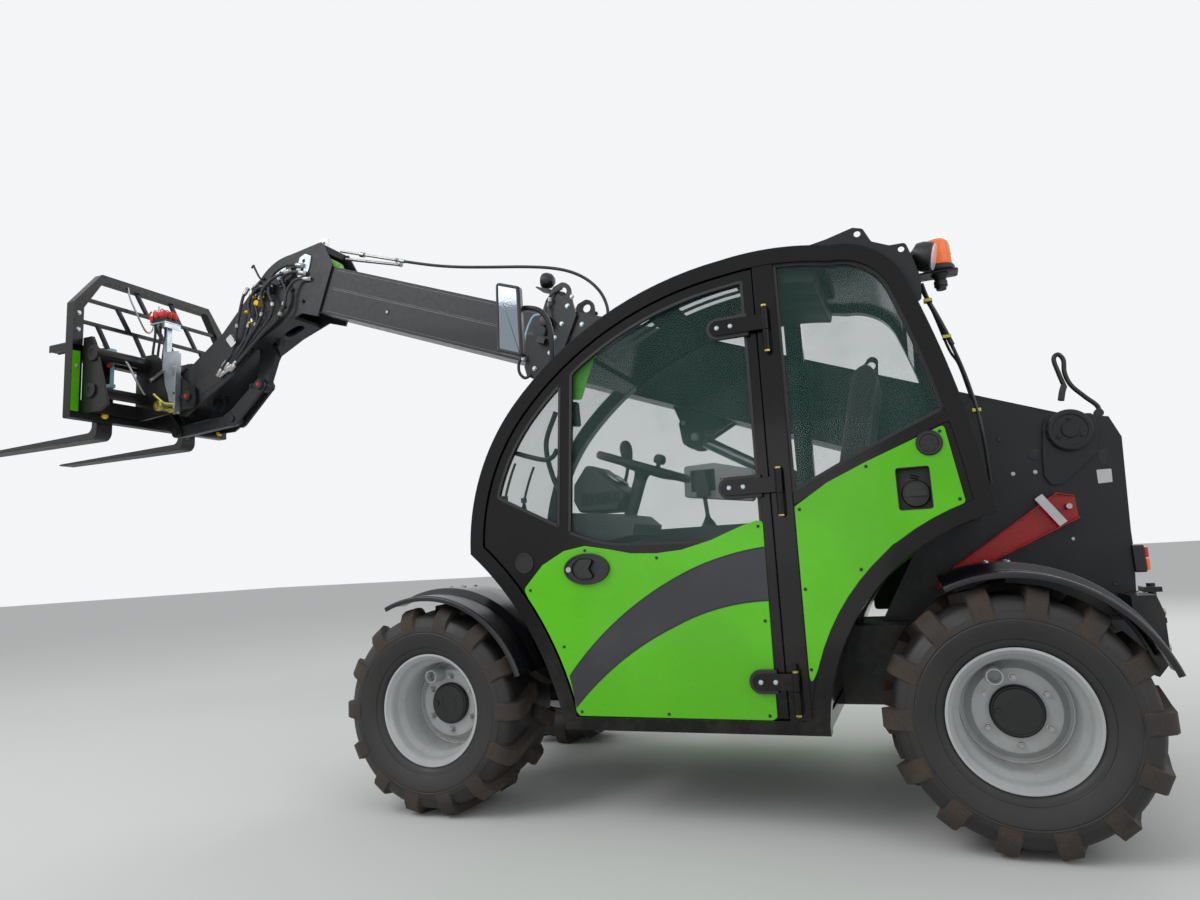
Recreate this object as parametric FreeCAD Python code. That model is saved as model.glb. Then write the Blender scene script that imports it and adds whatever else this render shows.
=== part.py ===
import FreeCAD, Part
import math
import os

# Compact telehandler: side cab on the left, telescopic boom between two tower plates on the
# right of it, four-wheel steering, quick coupler with a fork carriage.
# Row frame: +X forward, +Y to the left (cab side), +Z up, origin on the ground on the
# machine's centre plane, half way between the axles. Millimetres and degrees.

# Running gear
wheelbase = 2034.0
track_half = 590.0          # tyre centre plane
tyre_radius = 390.0         # to the lug tips
tyre_width = 394.0
lug_height = 30.0
lug_count = 14              # on each side of a tyre
bead_radius = 192.0
rim_flange_radius = 209.0
rim_half_width = 165.0
rim_wall = 6.0
disc_offset = 6.0           # bolting face outboard of the tyre centre plane
disc_thickness = 12.0
bolt_circle_radius = 101.0
bolt_count = 6
hub_cap_radius = 79.0
hub_radius = 82.0
kingpin_y = 450.0
axle_tube_half = 62.0
steer_clear = 0.5           # running clearance of the kingpins and hubs
fender_radius = 432.0       # outer face of the fender over the outer half of the tyre
fender_raise = 22.0         # step up to the inner half
fender_wall = 5.0
fender_lip = 20.0           # turned-down edge
fender_start_deg = 66.0      # whole facets before and after the top
fender_facet_deg = 8.0
fender_facets = 12

# Chassis
frame_half_width = 200.0
frame_top = 620.0
frame_bottom = 330.0
frame_front = 1240.0
frame_rear = -1440.0
axle_notch_half = 125.0
axle_notch_top = 500.0
plate_thick = 16.0
rigger_places = (-330.0, 300.0)
rigger_width = 70.0
floor_low = 386.0           # underside of the cab floor, left of the frame
floor_thick = 14.0

# Boom pivot and boom
boom_y = -163.0             # centre plane of the boom
pivot_x = -1355.0
pivot_z = 1305.0
boom_angle = 20.5           # as parked in the photograph
inner_half_width = 110.0
inner_top = 37.0            # above the line through the pivot, along the boom
inner_bottom = -231.0
boom_wall = 8.0
pad_gap = 0.5               # running clearance of the wear pads
outer_clear = 22.0          # room between the two box sections, filled by the wear pads
outer_front = 2340.0        # along the boom from the pivot
outer_rear = -105.0
inner_front = 3767.0
inner_rear = 1390.0
pin_radius = 35.0
pin_clear = 0.5
pivot_boss_radius = 75.0

# Tower
tower_gap = 17.0            # between the boom and each tower plate
tower_thick = 25.0
deck_z = 870.0
deck_right = 240.0          # right edge of the frame's deck under the lift cylinder
counterweight_top = 700.0

# Lift cylinder
lift_pin_u = 1437.0
lift_pin_w = -375.0
lift_base_x = -1150.0
lift_base_z = 720.0
barrel_radius = 48.0
rod_radius = 28.0
lift_eye_radius = 46.0
barrel_end = 1000.0         # from the base pin to the gland
rod_tail = 330.0            # from the base pin to the rod's inner end at rest
ear_gap = 62.0              # between the two ears on the boom
ear_thick = 16.0
base_ear_outer = 60.0       # from the boom's centre plane to the outside of the ears on the frame

# Boom head and tilt linkage
head_plate = 12.0
tilt_x = 3200.0
tilt_z = 2030.0
tilt_pin_radius = 28.0
rocker_x = 2745.0
rocker_z = 2060.0
crank_dx = 210.0            # from the rocker's pivot to its link pin, also on the coupler
crank_dz = -180.0
rocker_thick = 16.0
link_half_width = 20.0
linkage_gap = 6.0
link_pin_radius = 20.0

# Coupler, fork carriage and forks
coupler_half_width = 490.0
coupler_plate = 18.0
coupler_tube_back = 95.0    # from the fork frame's rear face to the upper cross tube
coupler_tube_radius = 36.0
coupler_tube_z = 2270.0
coupler_low_back = 80.0     # the same for the lower cross tube
coupler_low_radius = 32.0
coupler_low_z = 2050.0
bar_flat = math.cos(math.pi / 12)   # a twelve-sided bar's flat, as a share of its radius
carriage_x = 3635.0         # rear face of the fork frame
carriage_depth = 60.0
carriage_half_width = 554.0
carriage_bottom = 1895.0
carriage_shoulder = 2580.0
carriage_top = 2795.0
carriage_rail = 62.0
fork_spread = 298.0         # fork centre from the boom's centre plane
fork_width = 100.0
fork_thick = 42.0
fork_length = 1200.0
fork_bottom = 1800.0

# Cab
cab_left = 745.0
cab_right = 25.0
cab_tube = 55.0
door_gap = 5.0
pillar_front = -345.0
pillar_rear = -415.0
door_thick = 30.0
panel_thick = 5.0
glass_thick = 5.0
glass_inset = 20.0          # from the cab's edge to the windscreen and rear pane
seat_gap = 0.3              # between a pane or panel and the frame it is fixed to
hinge_x = -378.0
hinge_y = 762.0
hinge_radius = 13.0
hinge_heights = (490.0, 1130.0, 1690.0)
roof_thick = 26.0
filler_recess = (-845.0, -742.0, 1022.0, 1158.0)    # rear, front, foot and top of the fuel filler's recess
filler_depth = 46.0
handle_oval = (337.0, 892.0, 88.0, 56.0)            # centre, half length and half height of the door's handle
filler_wall = 3.0
front_sheet_inset = 12.0    # from the cab's edge to the floor's sheets
sheet_thick = 6.0

# Engine hood on the right
hood_outer = -775.0
hood_inner = -372.0
hood_top = 1020.0
hood_wall = 8.0

end_facets = 6              # round ends of levers and links

V = FreeCAD.Vector
Y_AXIS = V(0, 1, 0)
front_x = wheelbase / 2
rear_x = -wheelbase / 2
beta = math.radians(boom_angle)
outer_half_width = inner_half_width + outer_clear + boom_wall
outer_top = inner_top + outer_clear + boom_wall
outer_bottom = inner_bottom - outer_clear - boom_wall


def box(x0, x1, y0, y1, z0, z1):
    """Block between two corners."""
    return Part.makeBox(x1 - x0, y1 - y0, z1 - z0, V(x0, y0, z0))


def round_y(x, z, radius, y0, y1):
    """Cylinder across the machine."""
    return Part.makeCylinder(radius, y1 - y0, V(x, y0, z), Y_AXIS)


def rod_between(a, b, radius):
    """Cylinder from point a to point b."""
    d = V(*b).sub(V(*a))
    return Part.makeCylinder(radius, d.Length, V(*a), d)


def bar_between(a, b, radius, sides=12):
    """Many-sided bar from point a to point b, for tubes and bosses that nothing turns on."""
    start, run = V(*a), V(*b).sub(V(*a))
    across = run.cross(Y_AXIS if abs(run.y) < 0.5 * run.Length else V(1, 0, 0)).normalize()
    other = V(run.x, run.y, run.z).normalize().cross(across)
    turns = [math.radians(360.0 * (k + 0.5) / sides) for k in range(sides)]
    corners = [start + across * (radius * math.cos(t)) + other * (radius * math.sin(t)) for t in turns]
    return Part.Face(Part.makePolygon(corners + corners[:1])).extrude(run)


def bar_y(x, z, radius, y0, y1, sides=12):
    """Many-sided bar across the machine."""
    return bar_between((x, y0, z), (x, y1, z), radius, sides)


def fuse(shapes):
    """One solid from shapes that touch or overlap."""
    shapes = list(shapes)
    if len(shapes) == 1:
        return shapes[0]
    return shapes[0].multiFuse(shapes[1:]).removeSplitter()


def outline(steps, y):
    """Closed wire in the plane of y: (x, z) is a line, (xm, zm, x, z) an arc through a point."""
    edges = []
    last = V(steps[0][0], y, steps[0][1])
    for step in list(steps[1:]) + [steps[0][-2:]]:
        end = V(step[-2], y, step[-1])
        if end.sub(last).Length < 1e-6:
            continue
        if len(step) == 4:
            edges.append(Part.Arc(last, V(step[0], y, step[1]), end).toShape())
        else:
            edges.append(Part.LineSegment(last, end).toShape())
        last = end
    return Part.Wire(edges)


def plate(steps, y0, y1, inset=0.0):
    """Plate of an outline in XZ, from y0 to y1; a positive inset draws its edge in."""
    wire = outline(steps, y0)
    face = Part.Face(wire)
    if inset:
        face = Part.Face(wire.makeOffset2D(-inset, 2)) if inset else face
    if face.normalAt(0, 0).y < 0:
        face.reverse()
    return face.extrude(V(0, y1 - y0, 0))


def boom_xz(u, w):
    """Place of a boom point: u along the boom from the pivot, w square to it, upward."""
    return (pivot_x + u * math.cos(beta) - w * math.sin(beta),
            pivot_z + u * math.sin(beta) + w * math.cos(beta))


def boom_steps(steps):
    """Outline given in boom coordinates."""
    placed = []
    for step in steps:
        point = boom_xz(step[-2], step[-1])
        if len(step) == 4:
            point = boom_xz(step[0], step[1]) + point
        placed.append(point)
    return placed


def boom_plate(steps, y0, y1):
    """Plate of an outline in boom coordinates, y counted from the boom's centre plane."""
    return plate(boom_steps(steps), boom_y + y0, boom_y + y1)


def boom_block(u0, u1, w0, w1, y0, y1):
    """Block square to the boom, y counted from the boom's centre plane."""
    return boom_plate([(u0, w0), (u1, w0), (u1, w1), (u0, w1)], y0, y1)


def boom_round(u, w, radius, y0, y1):
    """Cylinder across the boom."""
    x, z = boom_xz(u, w)
    return round_y(x, z, radius, boom_y + y0, boom_y + y1)


def capsule(ax, az, bx, bz, ra, rb, y0, y1):
    """Bar with round ends about two cross axes."""
    angle = math.atan2(bz - az, bx - ax)
    steps = []
    for x, z, radius, first in ((ax, az, ra, angle + math.pi / 2), (bx, bz, rb, angle - math.pi / 2)):
        for k in range(end_facets + 1):
            turn = first + math.pi * k / end_facets
            steps.append((x + radius * math.cos(turn), z + radius * math.sin(turn)))
    return plate(steps, y0, y1)


def mirrored(shape):
    """The same piece on the other side of the machine's centre plane."""
    return shape.mirror(V(0, 0, 0), Y_AXIS)


def save(name, shape):
    """Write one piece."""
    shape.exportStep("parts/" + name + ".step")


def ring_solid(profile, sides, first_deg=0.0, last_deg=360.0):
    """Many-sided solid about the Y axis from (radius, y) points; angles run from +X up to +Z."""
    closed = abs(last_deg - first_deg - 360.0) < 1e-9
    count = sides if closed else sides + 1
    turns = [math.radians(first_deg + (last_deg - first_deg) * k / sides) for k in range(count)]
    rings = [[V(r * math.cos(t), y, r * math.sin(t)) for t in turns] for r, y in profile]
    faces = []

    def add(corners):
        loop = [c for c, before in zip(corners, corners[-1:] + corners[:-1]) if c.sub(before).Length > 1e-6]
        if len(loop) > 2:
            faces.append(Part.Face(Part.makePolygon(loop + loop[:1])))

    for low, high in zip(rings, rings[1:] + rings[:1]):
        if max(p.x ** 2 + p.z ** 2 for p in low + high) < 1e-6:
            continue
        for k in range(sides):
            n = (k + 1) % count
            add([low[k], low[n], high[n], high[k]])
    if not closed:
        add([ring[0] for ring in rings])
        add([ring[-1] for ring in rings])
    shell = Part.makeShell(faces)
    shell.sewShape()
    solid = Part.makeSolid(shell)
    if solid.Volume < 0:
        solid.reverse()
    return solid


def side_plate(steps, x0, x1):
    """Plate of a (y, z) outline from x0 to x1."""
    corners = [V(x0, y, z) for y, z in steps]
    return Part.Face(Part.makePolygon(corners + corners[:1])).extrude(V(x1 - x0, 0, 0))


def tyre_shape():
    """Tyre about the origin, outboard towards +Y."""
    half = tyre_width / 2
    tread = tyre_radius - lug_height
    flange_in = rim_half_width - rim_wall - seat_gap - 0.2
    side = [(bead_radius + seat_gap, flange_in - 14), (rim_flange_radius + 0.5, flange_in),
            (tread - 72, half), (tread, half - 46)]
    carcass = ring_solid([(r, -y) for r, y in side] + side[::-1], 2 * lug_count)
    # one lug, seen from outside: (along the tread, across it), shoulder end first
    lug = [(-27, -half - 3), (27, -half - 3), (72, -12), (30, -4)]
    corners = [V(along, y, tread - 84) for along, y in lug]
    block = Part.Face(Part.makePolygon(corners + corners[:1])).extrude(V(0, 0, lug_height + 90))
    block = block.common(side_plate([(-half - 10, tread - 90), (-half - 10, tyre_radius - 62),
                                     (-half + 54, tyre_radius), (10, tyre_radius), (10, tread - 90)], -100, 150))
    other = block.mirror(V(0, 0, 0), Y_AXIS)
    pitch = 360.0 / lug_count
    lugs = []
    for i in range(lug_count):
        for shape, offset in ((block, 0.0), (other, 0.5)):
            one = shape.copy()
            one.rotate(V(0, 0, 0), Y_AXIS, (i + offset) * pitch)
            lugs.append(one)
    return carcass.multiFuse(lugs)


def rim_shape():
    """Rim, disc, hub and cap about the origin, outboard towards +Y."""
    half = rim_half_width
    wall = rim_wall
    bead = bead_radius
    drop = bead - 20
    lip = rim_flange_radius
    edge = [(lip, half), (bead, half - 16), (drop, 75)]
    inside = [(lip - wall - 2, half), (bead - wall, 92), (drop - wall, 50)]
    back = [(drop - wall, -half + 40), (lip - wall - 2, -half)]
    barrel = ring_solid(edge + [(r, -y) for r, y in edge[::-1]] + back[::-1] + inside[::-1], 24)
    face = disc_offset
    thin = disc_thickness
    disc = ring_solid([(0, face), (128, face), (150, face - 26), (drop - wall + 3, face - 34),
                       (drop - wall + 3, face - 34 - thin), (146, face - 26 - thin), (hub_radius, face - thin),
                       (hub_radius, -64), (0, -64)], 24)
    cap = ring_solid([(0, face - 1), (hub_cap_radius, face - 1), (hub_cap_radius, face + 16),
                      (hub_cap_radius - 8, face + 22), (0, face + 22)], 16)
    plug = round_y(0, 0, 14, face + 20, face + 25)
    return fuse([barrel, disc, cap, plug])


def knuckle_shape():
    """Steering knuckle about the wheel centre: drive housing, kingpins and fender bracket."""
    king = kingpin_y - track_half
    housing = ring_solid([(0, king - 42), (70, king - 42), (98, king + 6), (98, -64 - steer_clear),
                          (0, -64 - steer_clear)], 16, 11.25, 371.25)
    pins = [Part.makeCylinder(24, 60, V(0, king, z0), V(0, 0, 1)) for z0 in (80, -140)]
    arm_half = 30.0
    arm = box(-arm_half, arm_half, king - 30, king + 24, 140 + steer_clear, 156)
    inboard = -tyre_width / 2 - 16
    lip_radius = fender_radius + fender_raise - fender_lip
    facet = math.radians(fender_facet_deg)
    drop = lip_radius * (1 - math.cos(facet)) * arm_half / (lip_radius * math.sin(facet))
    under = lip_radius - drop - seat_gap
    reach = box(-arm_half, arm_half, inboard - 10, king, 140 + steer_clear, 152)
    rise = box(-arm_half, arm_half, inboard - 10, inboard, 140 + steer_clear, under)
    seat = box(-arm_half, arm_half, inboard - 10, -20, under - 10, under)
    return fuse([housing, arm, reach, rise, seat] + pins)


def fender_shape():
    """Moulded fender about the wheel centre, over the top and the rear of the tyre."""
    r = fender_radius
    high = r + fender_raise
    t = fender_wall
    lip = fender_lip
    outer = [(r - lip, 200), (r - 4, 200), (r, 192), (r, 62), (high, 38), (high, -184), (high - 6, -192),
             (high - lip, -192)]
    inner = [(high - lip, -192 + t), (high - 6, -192 + t), (high - t, -184 + t), (high - t, 38 - t), (r - t, 62 - t),
             (r - t, 192 - t), (r - 6, 200 - t), (r - lip, 200 - t)]
    return ring_solid(outer + inner, fender_facets, fender_start_deg,
                      fender_start_deg + fender_facets * fender_facet_deg)


def wheel_sets():
    """The four wheels with their knuckles and fenders."""
    tyre, rim, knuckle, fender = tyre_shape(), rim_shape(), knuckle_shape(), fender_shape()
    for end, x in (("front", front_x), ("rear", rear_x)):
        for side, sign in (("left", 1), ("right", -1)):
            for name, piece in (("tyre", tyre), ("rim", rim), ("knuckle", knuckle), ("fender", fender)):
                one = piece.copy()
                one.translate(V(x, track_half, tyre_radius))
                save(name + "_" + end + "_" + side, one if sign > 0 else mirrored(one))


def axle_shape(x):
    """Axle: centre housing, tapered arms and the yokes that hold the kingpins."""
    z = tyre_radius
    inner_face = kingpin_y - 96
    arm = [(0, -inner_face), (axle_tube_half, -inner_face), (78, -125), (108, -55), (108, 55), (78, 125),
           (axle_tube_half, inner_face), (0, inner_face)]
    body = ring_solid(arm, 12, 15, 375)
    body.translate(V(x, 0, z))
    body = body.common(box(x - 200, x + 200, -900, 900, z - 96, z + 96))
    facing = -1 if x > 0 else 1
    pinion = ring_solid([(0, 0), (54, 0), (54, 190), (0, 190)], 12)
    pinion.rotate(V(0, 0, 0), V(0, 0, 1), -90 * facing)
    pinion.translate(V(x, 0, z))
    parts = [body, pinion, box(x - 105, x + 105, -90, 90, z + 40, axle_notch_top - seat_gap)]
    for side in (1, -1):
        def span(y0, y1):
            return (y0, y1) if side > 0 else (-y1, -y0)
        parts.append(box(x - 52, x + 52, *span(inner_face - 4, inner_face + 24), z - 132, z + 132))
        for low in (108, -132):
            parts.append(plate([(x - 36, z + low), (x + 36, z + low), (x + 36, z + low + 24), (x - 36, z + low + 24)],
                               *span(inner_face, kingpin_y)))
            parts.append(bar_between((x, side * kingpin_y, z + low), (x, side * kingpin_y, z + low + 24), 37, 10))
    whole = fuse(parts)
    for side in (1, -1):
        for low in (100, -140):
            whole = whole.cut(Part.makeCylinder(24 + steer_clear, 40, V(x, side * kingpin_y, z + low)))
    return whole


def chassis_frame():
    """Box frame: two rails notched over the axles, decks and cross members."""
    f, r, top, low = frame_front, frame_rear, frame_top, frame_bottom
    half, notch, roof = frame_half_width, axle_notch_half, axle_notch_top
    rail = [(f, low + 130), (f, top), (r, top), (r, roof), (rear_x - notch, roof), (rear_x + notch, roof),
            (rear_x + notch + 110, low), (front_x - notch - 110, low), (front_x - notch, roof),
            (front_x + notch, roof), (front_x + notch + 40, low + 130)]
    left = plate(rail, half - plate_thick, half)
    right = plate(rail, -half, -half + plate_thick)
    deck = fuse([box(r, f, -half, half, top - plate_thick, top),
                 box(r, -760, -deck_right, -half + 1, top - plate_thick, top)])
    # the lift cylinder's base needs its lane open through the deck
    belly = box(rear_x + notch + 110, front_x - notch - 110, -half, half, low, low + plate_thick)
    saddles = [box(x - 105, x + 105, -half, half, roof, roof + plate_thick) for x in (front_x, rear_x)]
    nose = box(f - plate_thick, f, -half, half, low + 130, top)
    tail = box(r, r + plate_thick, -half, half, roof, top)
    walls = [box(x, x + plate_thick, -half, half, low, top) for x in (-640.0, 0.0, 620.0)]
    riggers = []
    rigger_low = low + hood_wall + seat_gap
    for x in rigger_places:
        for y0, y1 in ((half - 4, cab_left - 55 - seat_gap), (hood_outer + 40, -half + 4)):
            riggers.append(box(x, x + rigger_width, y0, y1, rigger_low, floor_low - seat_gap))
    base_ears = []
    for y in (-base_ear_outer, base_ear_outer - ear_thick):
        steps = [(lift_base_x - 85, top - 2), (lift_base_x - 60, lift_base_z), (lift_base_x, lift_base_z + 60,
                 lift_base_x + 60, lift_base_z), (lift_base_x + 120, top - 2)]
        base_ears.append(plate(steps, boom_y + y, boom_y + y + ear_thick))
    base_pin = round_y(lift_base_x, lift_base_z, pin_radius - 10, boom_y - base_ear_outer, boom_y + base_ear_outer)
    return fuse([left, right, deck, belly, nose, tail, base_pin] + saddles + walls + riggers + base_ears)


def tower_steps(bottom_front, bottom_z):
    """Outline of a tower plate above bottom_z."""
    return [(-1490, bottom_z), (-1500, 760), (-1522, 1265), (-1490, 1345), (-1270, 1388), (-1075, 1452),
            (-1020, 1455, -1000, 1400), (-960, 1150, -820, 980), (bottom_front, bottom_z)]


def boom_tower():
    """The two plates that carry the boom pivot, with the webs and the rear cross plate between."""
    inner_left = boom_y + outer_half_width + tower_gap
    inner_right = boom_y - outer_half_width - tower_gap
    foot = frame_top + seat_gap
    weight_top = counterweight_top + seat_gap
    left = plate([(frame_rear, foot), (frame_rear, weight_top), (-1495, weight_top)] + tower_steps(-620, foot)[1:],
                 inner_left, inner_left + tower_thick)
    right = plate([(-1500, deck_z)] + tower_steps(-760, deck_z)[2:], inner_right - tower_thick, inner_right)
    shelf = box(-1500, -760, inner_right - tower_thick, -deck_right + plate_thick, deck_z, deck_z + plate_thick)
    web = box(-1430, -760, -deck_right, -deck_right + plate_thick, foot, deck_z + 1)
    rear = box(-1512, -1496, inner_right - 1, inner_left + 1, deck_z, 1240)
    rear_low = box(frame_rear, frame_rear + 16, -deck_right, inner_left + 1, foot, deck_z + plate_thick)
    shelf_rear = box(-1512, -1430, inner_right - 1, inner_left + 1, deck_z, deck_z + plate_thick)
    bosses = [bar_y(pivot_x, pivot_z, pivot_boss_radius, y, y + 23, 16)
              for y in (inner_left + tower_thick - 1, inner_right - tower_thick - 22)]
    pin = round_y(pivot_x, pivot_z, pin_radius, inner_right - tower_thick - 26, inner_left + tower_thick + 26)
    return fuse([left, right, shelf, web, rear, rear_low, shelf_rear, pin] + bosses)


def counterweight():
    """Cast weight between the rear wheels, with the tow clevis."""
    half = frame_half_width
    top = counterweight_top
    front = frame_rear - seat_gap
    body = plate([(front, 450), (-1490, 430), (-1530, 480), (-1532, top - 60), (-1515, top), (front, top)],
                 -half, half)
    slot = box(-1560, -1500, -45, 45, 610, 700)
    pin = Part.makeCylinder(14, 150, V(-1546, 0, 580))
    lugs = [box(-1570, -1515, -45, 45, z, z + 18) for z in (592, 700)]
    return fuse([body.cut(slot), pin] + lugs)


def lift_points():
    """Base pin, rod eye and direction of the lift cylinder at rest."""
    ex, ez = boom_xz(lift_pin_u, lift_pin_w)
    angle = math.atan2(ez - lift_base_z, ex - lift_base_x)
    return ex, ez, math.cos(angle), math.sin(angle), math.hypot(ex - lift_base_x, ez - lift_base_z)


def lift_cylinder():
    """Barrel on the chassis and rod towards the boom."""
    ex, ez, c, s, length = lift_points()
    bore = rod_radius + 0.4

    def along(distance):
        return (lift_base_x + c * distance, boom_y, lift_base_z + s * distance)

    side = base_ear_outer - ear_thick - 1
    eye = round_y(lift_base_x, lift_base_z, 45, boom_y - side, boom_y + side)
    neck = bar_between(along(20), along(85), 34)
    tube = bar_between(along(70), along(barrel_end), barrel_radius, 16)
    gland = bar_between(along(barrel_end - 60), along(barrel_end + 14), barrel_radius + 4, 16)
    barrel = fuse([eye, neck, tube, gland]).cut(rod_between(along(110), along(barrel_end + 40), bore))
    barrel = barrel.cut(round_y(lift_base_x, lift_base_z, pin_radius - 10 + pin_clear, boom_y - 60, boom_y + 60))
    save("lift_barrel", barrel)
    rod = rod_between(along(rod_tail), along(length), rod_radius)
    rod_eye = round_y(ex, ez, lift_eye_radius, boom_y - 30, boom_y + 30)
    save("lift_rod", fuse([rod, rod_eye]))


def boom_outer():
    """Outer box section with its rear pivot, front wear pads, lift ears and lifting eye."""
    half, top, low, t = outer_half_width, outer_top, outer_bottom, boom_wall
    tube = boom_block(outer_rear, outer_front, low, top, -half, half)
    tube = tube.cut(boom_block(outer_rear + 190, outer_front + 1, low + t, top - t, -half + t, half - t))
    pads = []
    ci, pad0, pad1 = inner_half_width + pad_gap, outer_front - 110.0, outer_front - 20.0
    for y0, y1 in ((-half + t - 1, -ci), (ci, half - t + 1)):
        pads.append(boom_block(pad0, pad1, -210, 15, y0, y1))
    for w0, w1 in ((low + t - 1, inner_bottom - pad_gap), (inner_top + pad_gap, top - t + 1)):
        pads.append(boom_block(pad0, pad1, w0, w1, -80, 80))
    ears = []
    for y in (-ear_gap / 2 - ear_thick, ear_gap / 2):
        ears.append(boom_plate([(lift_pin_u - 150, low + 1), (lift_pin_u - 48, lift_pin_w),
                                (lift_pin_u, lift_pin_w - 48, lift_pin_u + 48, lift_pin_w),
                                (lift_pin_u + 150, low + 1)], y, y + ear_thick))
    ear_x, ear_z = boom_xz(lift_pin_u, lift_pin_w)
    heads = [bar_y(ear_x, ear_z, 34, boom_y + y, boom_y + y + 12) for y in (-ear_gap / 2 - ear_thick - 12,
                                                                            ear_gap / 2 + ear_thick)]
    collar = boom_block(outer_front - 70, outer_front, low - 8, top + 8, -half - 6, half + 6).cut(
        boom_block(outer_front - 80, outer_front + 1, low + 1, top - 1, -half + 1, half - 1))
    eye = boom_plate([(730, top - 1), (750, top + 70), (775, top + 95, 800, top + 70), (830, top - 1)], -8, 8)
    eye = eye.cut(boom_round(775, top + 55, 18, -12, 12))
    whole = fuse([tube, collar, eye, hose_fitting()] + pads + ears + heads)
    return whole.cut(boom_round(0, 0, pin_radius + pin_clear, -half - 10, half + 10))


def boom_guides():
    """The two tall ears at the front of the outer section that guide hoses and carry the horn."""
    half = outer_half_width + 6 + seat_gap
    low, top = outer_bottom - 38, outer_top + 120
    steps = [(outer_front - 190, outer_top - 20), (outer_front - 150, outer_top + 40), (outer_front - 120, top - 20),
             (outer_front - 95, top, outer_front - 60, top), (outer_front - 25, top - 30),
             (outer_front - 5, outer_top), (outer_front + 8, low + 40), (outer_front - 20, low),
             (outer_front - 110, low - 16), (outer_front - 170, outer_bottom + 60)]
    ears = []
    for y in (half, -half - 10):
        ear = boom_plate(steps, y, y + 10)
        hole = boom_round(outer_front - 82, top - 42, 22, y - 5, y + 15)
        ears.append(ear.cut(hole))
    return Part.makeCompound(ears)


def boom_inner():
    """Inner box section with the wear pads at its tail."""
    half, top, low, t = inner_half_width, inner_top, inner_bottom, boom_wall
    tube = boom_block(inner_rear, inner_front + 40, low, top, -half, half).cut(
        boom_block(inner_rear - 1, inner_front + 28, low + t, top - t, -half + t, half - t))
    pads = []
    room = outer_clear - pad_gap
    pad0, pad1 = inner_rear + 15.0, inner_rear + 105.0
    for y0, y1 in ((-half - room, -half + 1), (half - 1, half + room)):
        pads.append(boom_block(pad0, pad1, -210, 15, y0, y1))
    for w0, w1 in ((low - room, low + 1), (top - 1, top + room)):
        pads.append(boom_block(pad0, pad1, w0, w1, -80, 80))
    return fuse([tube] + pads)


def head_steps():
    """Side outline of the gooseneck head in X and Z."""
    return [(2135, 2660), (2215, 2808), (2440, 2775), (2560, 2745, 2640, 2690), (2950, 2385), (3262, 2178),
            (3290, 2150, 3290, 2100), (3290, 1925), (3240, 1915), (2860, 2122), (2800, 2175, 2730, 2265),
            (2560, 2345), (2360, 2412), (2240, 2374)]


def boom_head():
    """Gooseneck: two side plates, top and belly plates with their holes, lugs for the tilt linkage."""
    half = inner_half_width
    t = head_plate
    y0 = boom_y
    steps = head_steps()
    left = plate(steps, y0 + half + seat_gap, y0 + half + seat_gap + t)
    right = plate(steps, y0 - half - seat_gap - t, y0 - half - seat_gap)
    wide = half + seat_gap + 1
    end_x, end_z = boom_xz(inner_front + 40 + seat_gap, 0)
    top_plate = plate([(2232, 2770), (2222, 2806), (2440, 2773), (2560, 2743, 2636, 2690), (2940, 2391),
                       (2930, 2374), (2628, 2676), (2556, 2726, 2440, 2753), (2250, 2782)], y0 - wide, y0 + wide)
    belly = plate([(2425, 2392), (2560, 2345), (2730, 2265), (2738, 2280), (2566, 2362), (2420, 2412)],
                  y0 - wide, y0 + wide)
    nose = plate([(2950, 2385), (3262, 2178), (3252, 2162), (2942, 2368)], y0 - wide, y0 + wide)
    opening = box(2800, 3400, y0 - 56, y0 + 56, 1800, 2500)
    bulkhead = plate([(2560, 2345), (2612, 2330), (2800, 2540), (2780, 2556)], y0 - wide, y0 + wide)
    lug = plate([(2600, 2330), (2705, 2060), (rocker_x, rocker_z - 42, rocker_x + 42, rocker_z), (2760, 2270)],
                y0 - link_half_width, y0 + link_half_width)
    rib = plate([(2560, 2340), (2600, 2325), (2760, 2250), (2800, 2540), (2700, 2560)], y0 - link_half_width,
                y0 + link_half_width)
    bosses = [bar_y(tilt_x, tilt_z, 58, y, y + 26) for y in (y0 + half - 25, y0 - half - 1)]
    rocker_pin = round_y(rocker_x, rocker_z, link_pin_radius, y0 - link_half_width - linkage_gap - rocker_thick - 8,
                         y0 + link_half_width + linkage_gap + rocker_thick + 8)
    whole = fuse([left, right, top_plate, belly, nose.cut(opening), bulkhead, lug, rib, rocker_pin] + bosses)
    for y in (y0 + half - 40, y0 - half - 40):
        whole = whole.cut(round_y(tilt_x, tilt_z, tilt_pin_radius + pin_clear, y, y + 80))
    # lightening holes in the belly: (distance along it, half length, half width)
    bx, bz = 2425.0, 2392.0
    angle = math.atan2(2265 - 2345, 2730 - 2560)
    for distance, long_half, short_half in ((95.0, 62.0, 34.0), (245.0, 26.0, 26.0)):
        cx, cz = bx + distance * math.cos(angle), bz + distance * math.sin(angle)
        hole = Part.makeCylinder(short_half, 160, V(0, 0, -80))
        if long_half > short_half:
            reach = long_half - short_half
            hole = fuse([Part.makeCylinder(short_half, 160, V(-reach, 0, -80)),
                         Part.makeCylinder(short_half, 160, V(reach, 0, -80)),
                         box(-reach, reach, -short_half, short_half, -80, 80)])
        hole.rotate(V(0, 0, 0), Y_AXIS, -math.degrees(angle))
        hole.translate(V(cx, y0, cz))
        whole = whole.cut(hole)
    return whole


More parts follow.
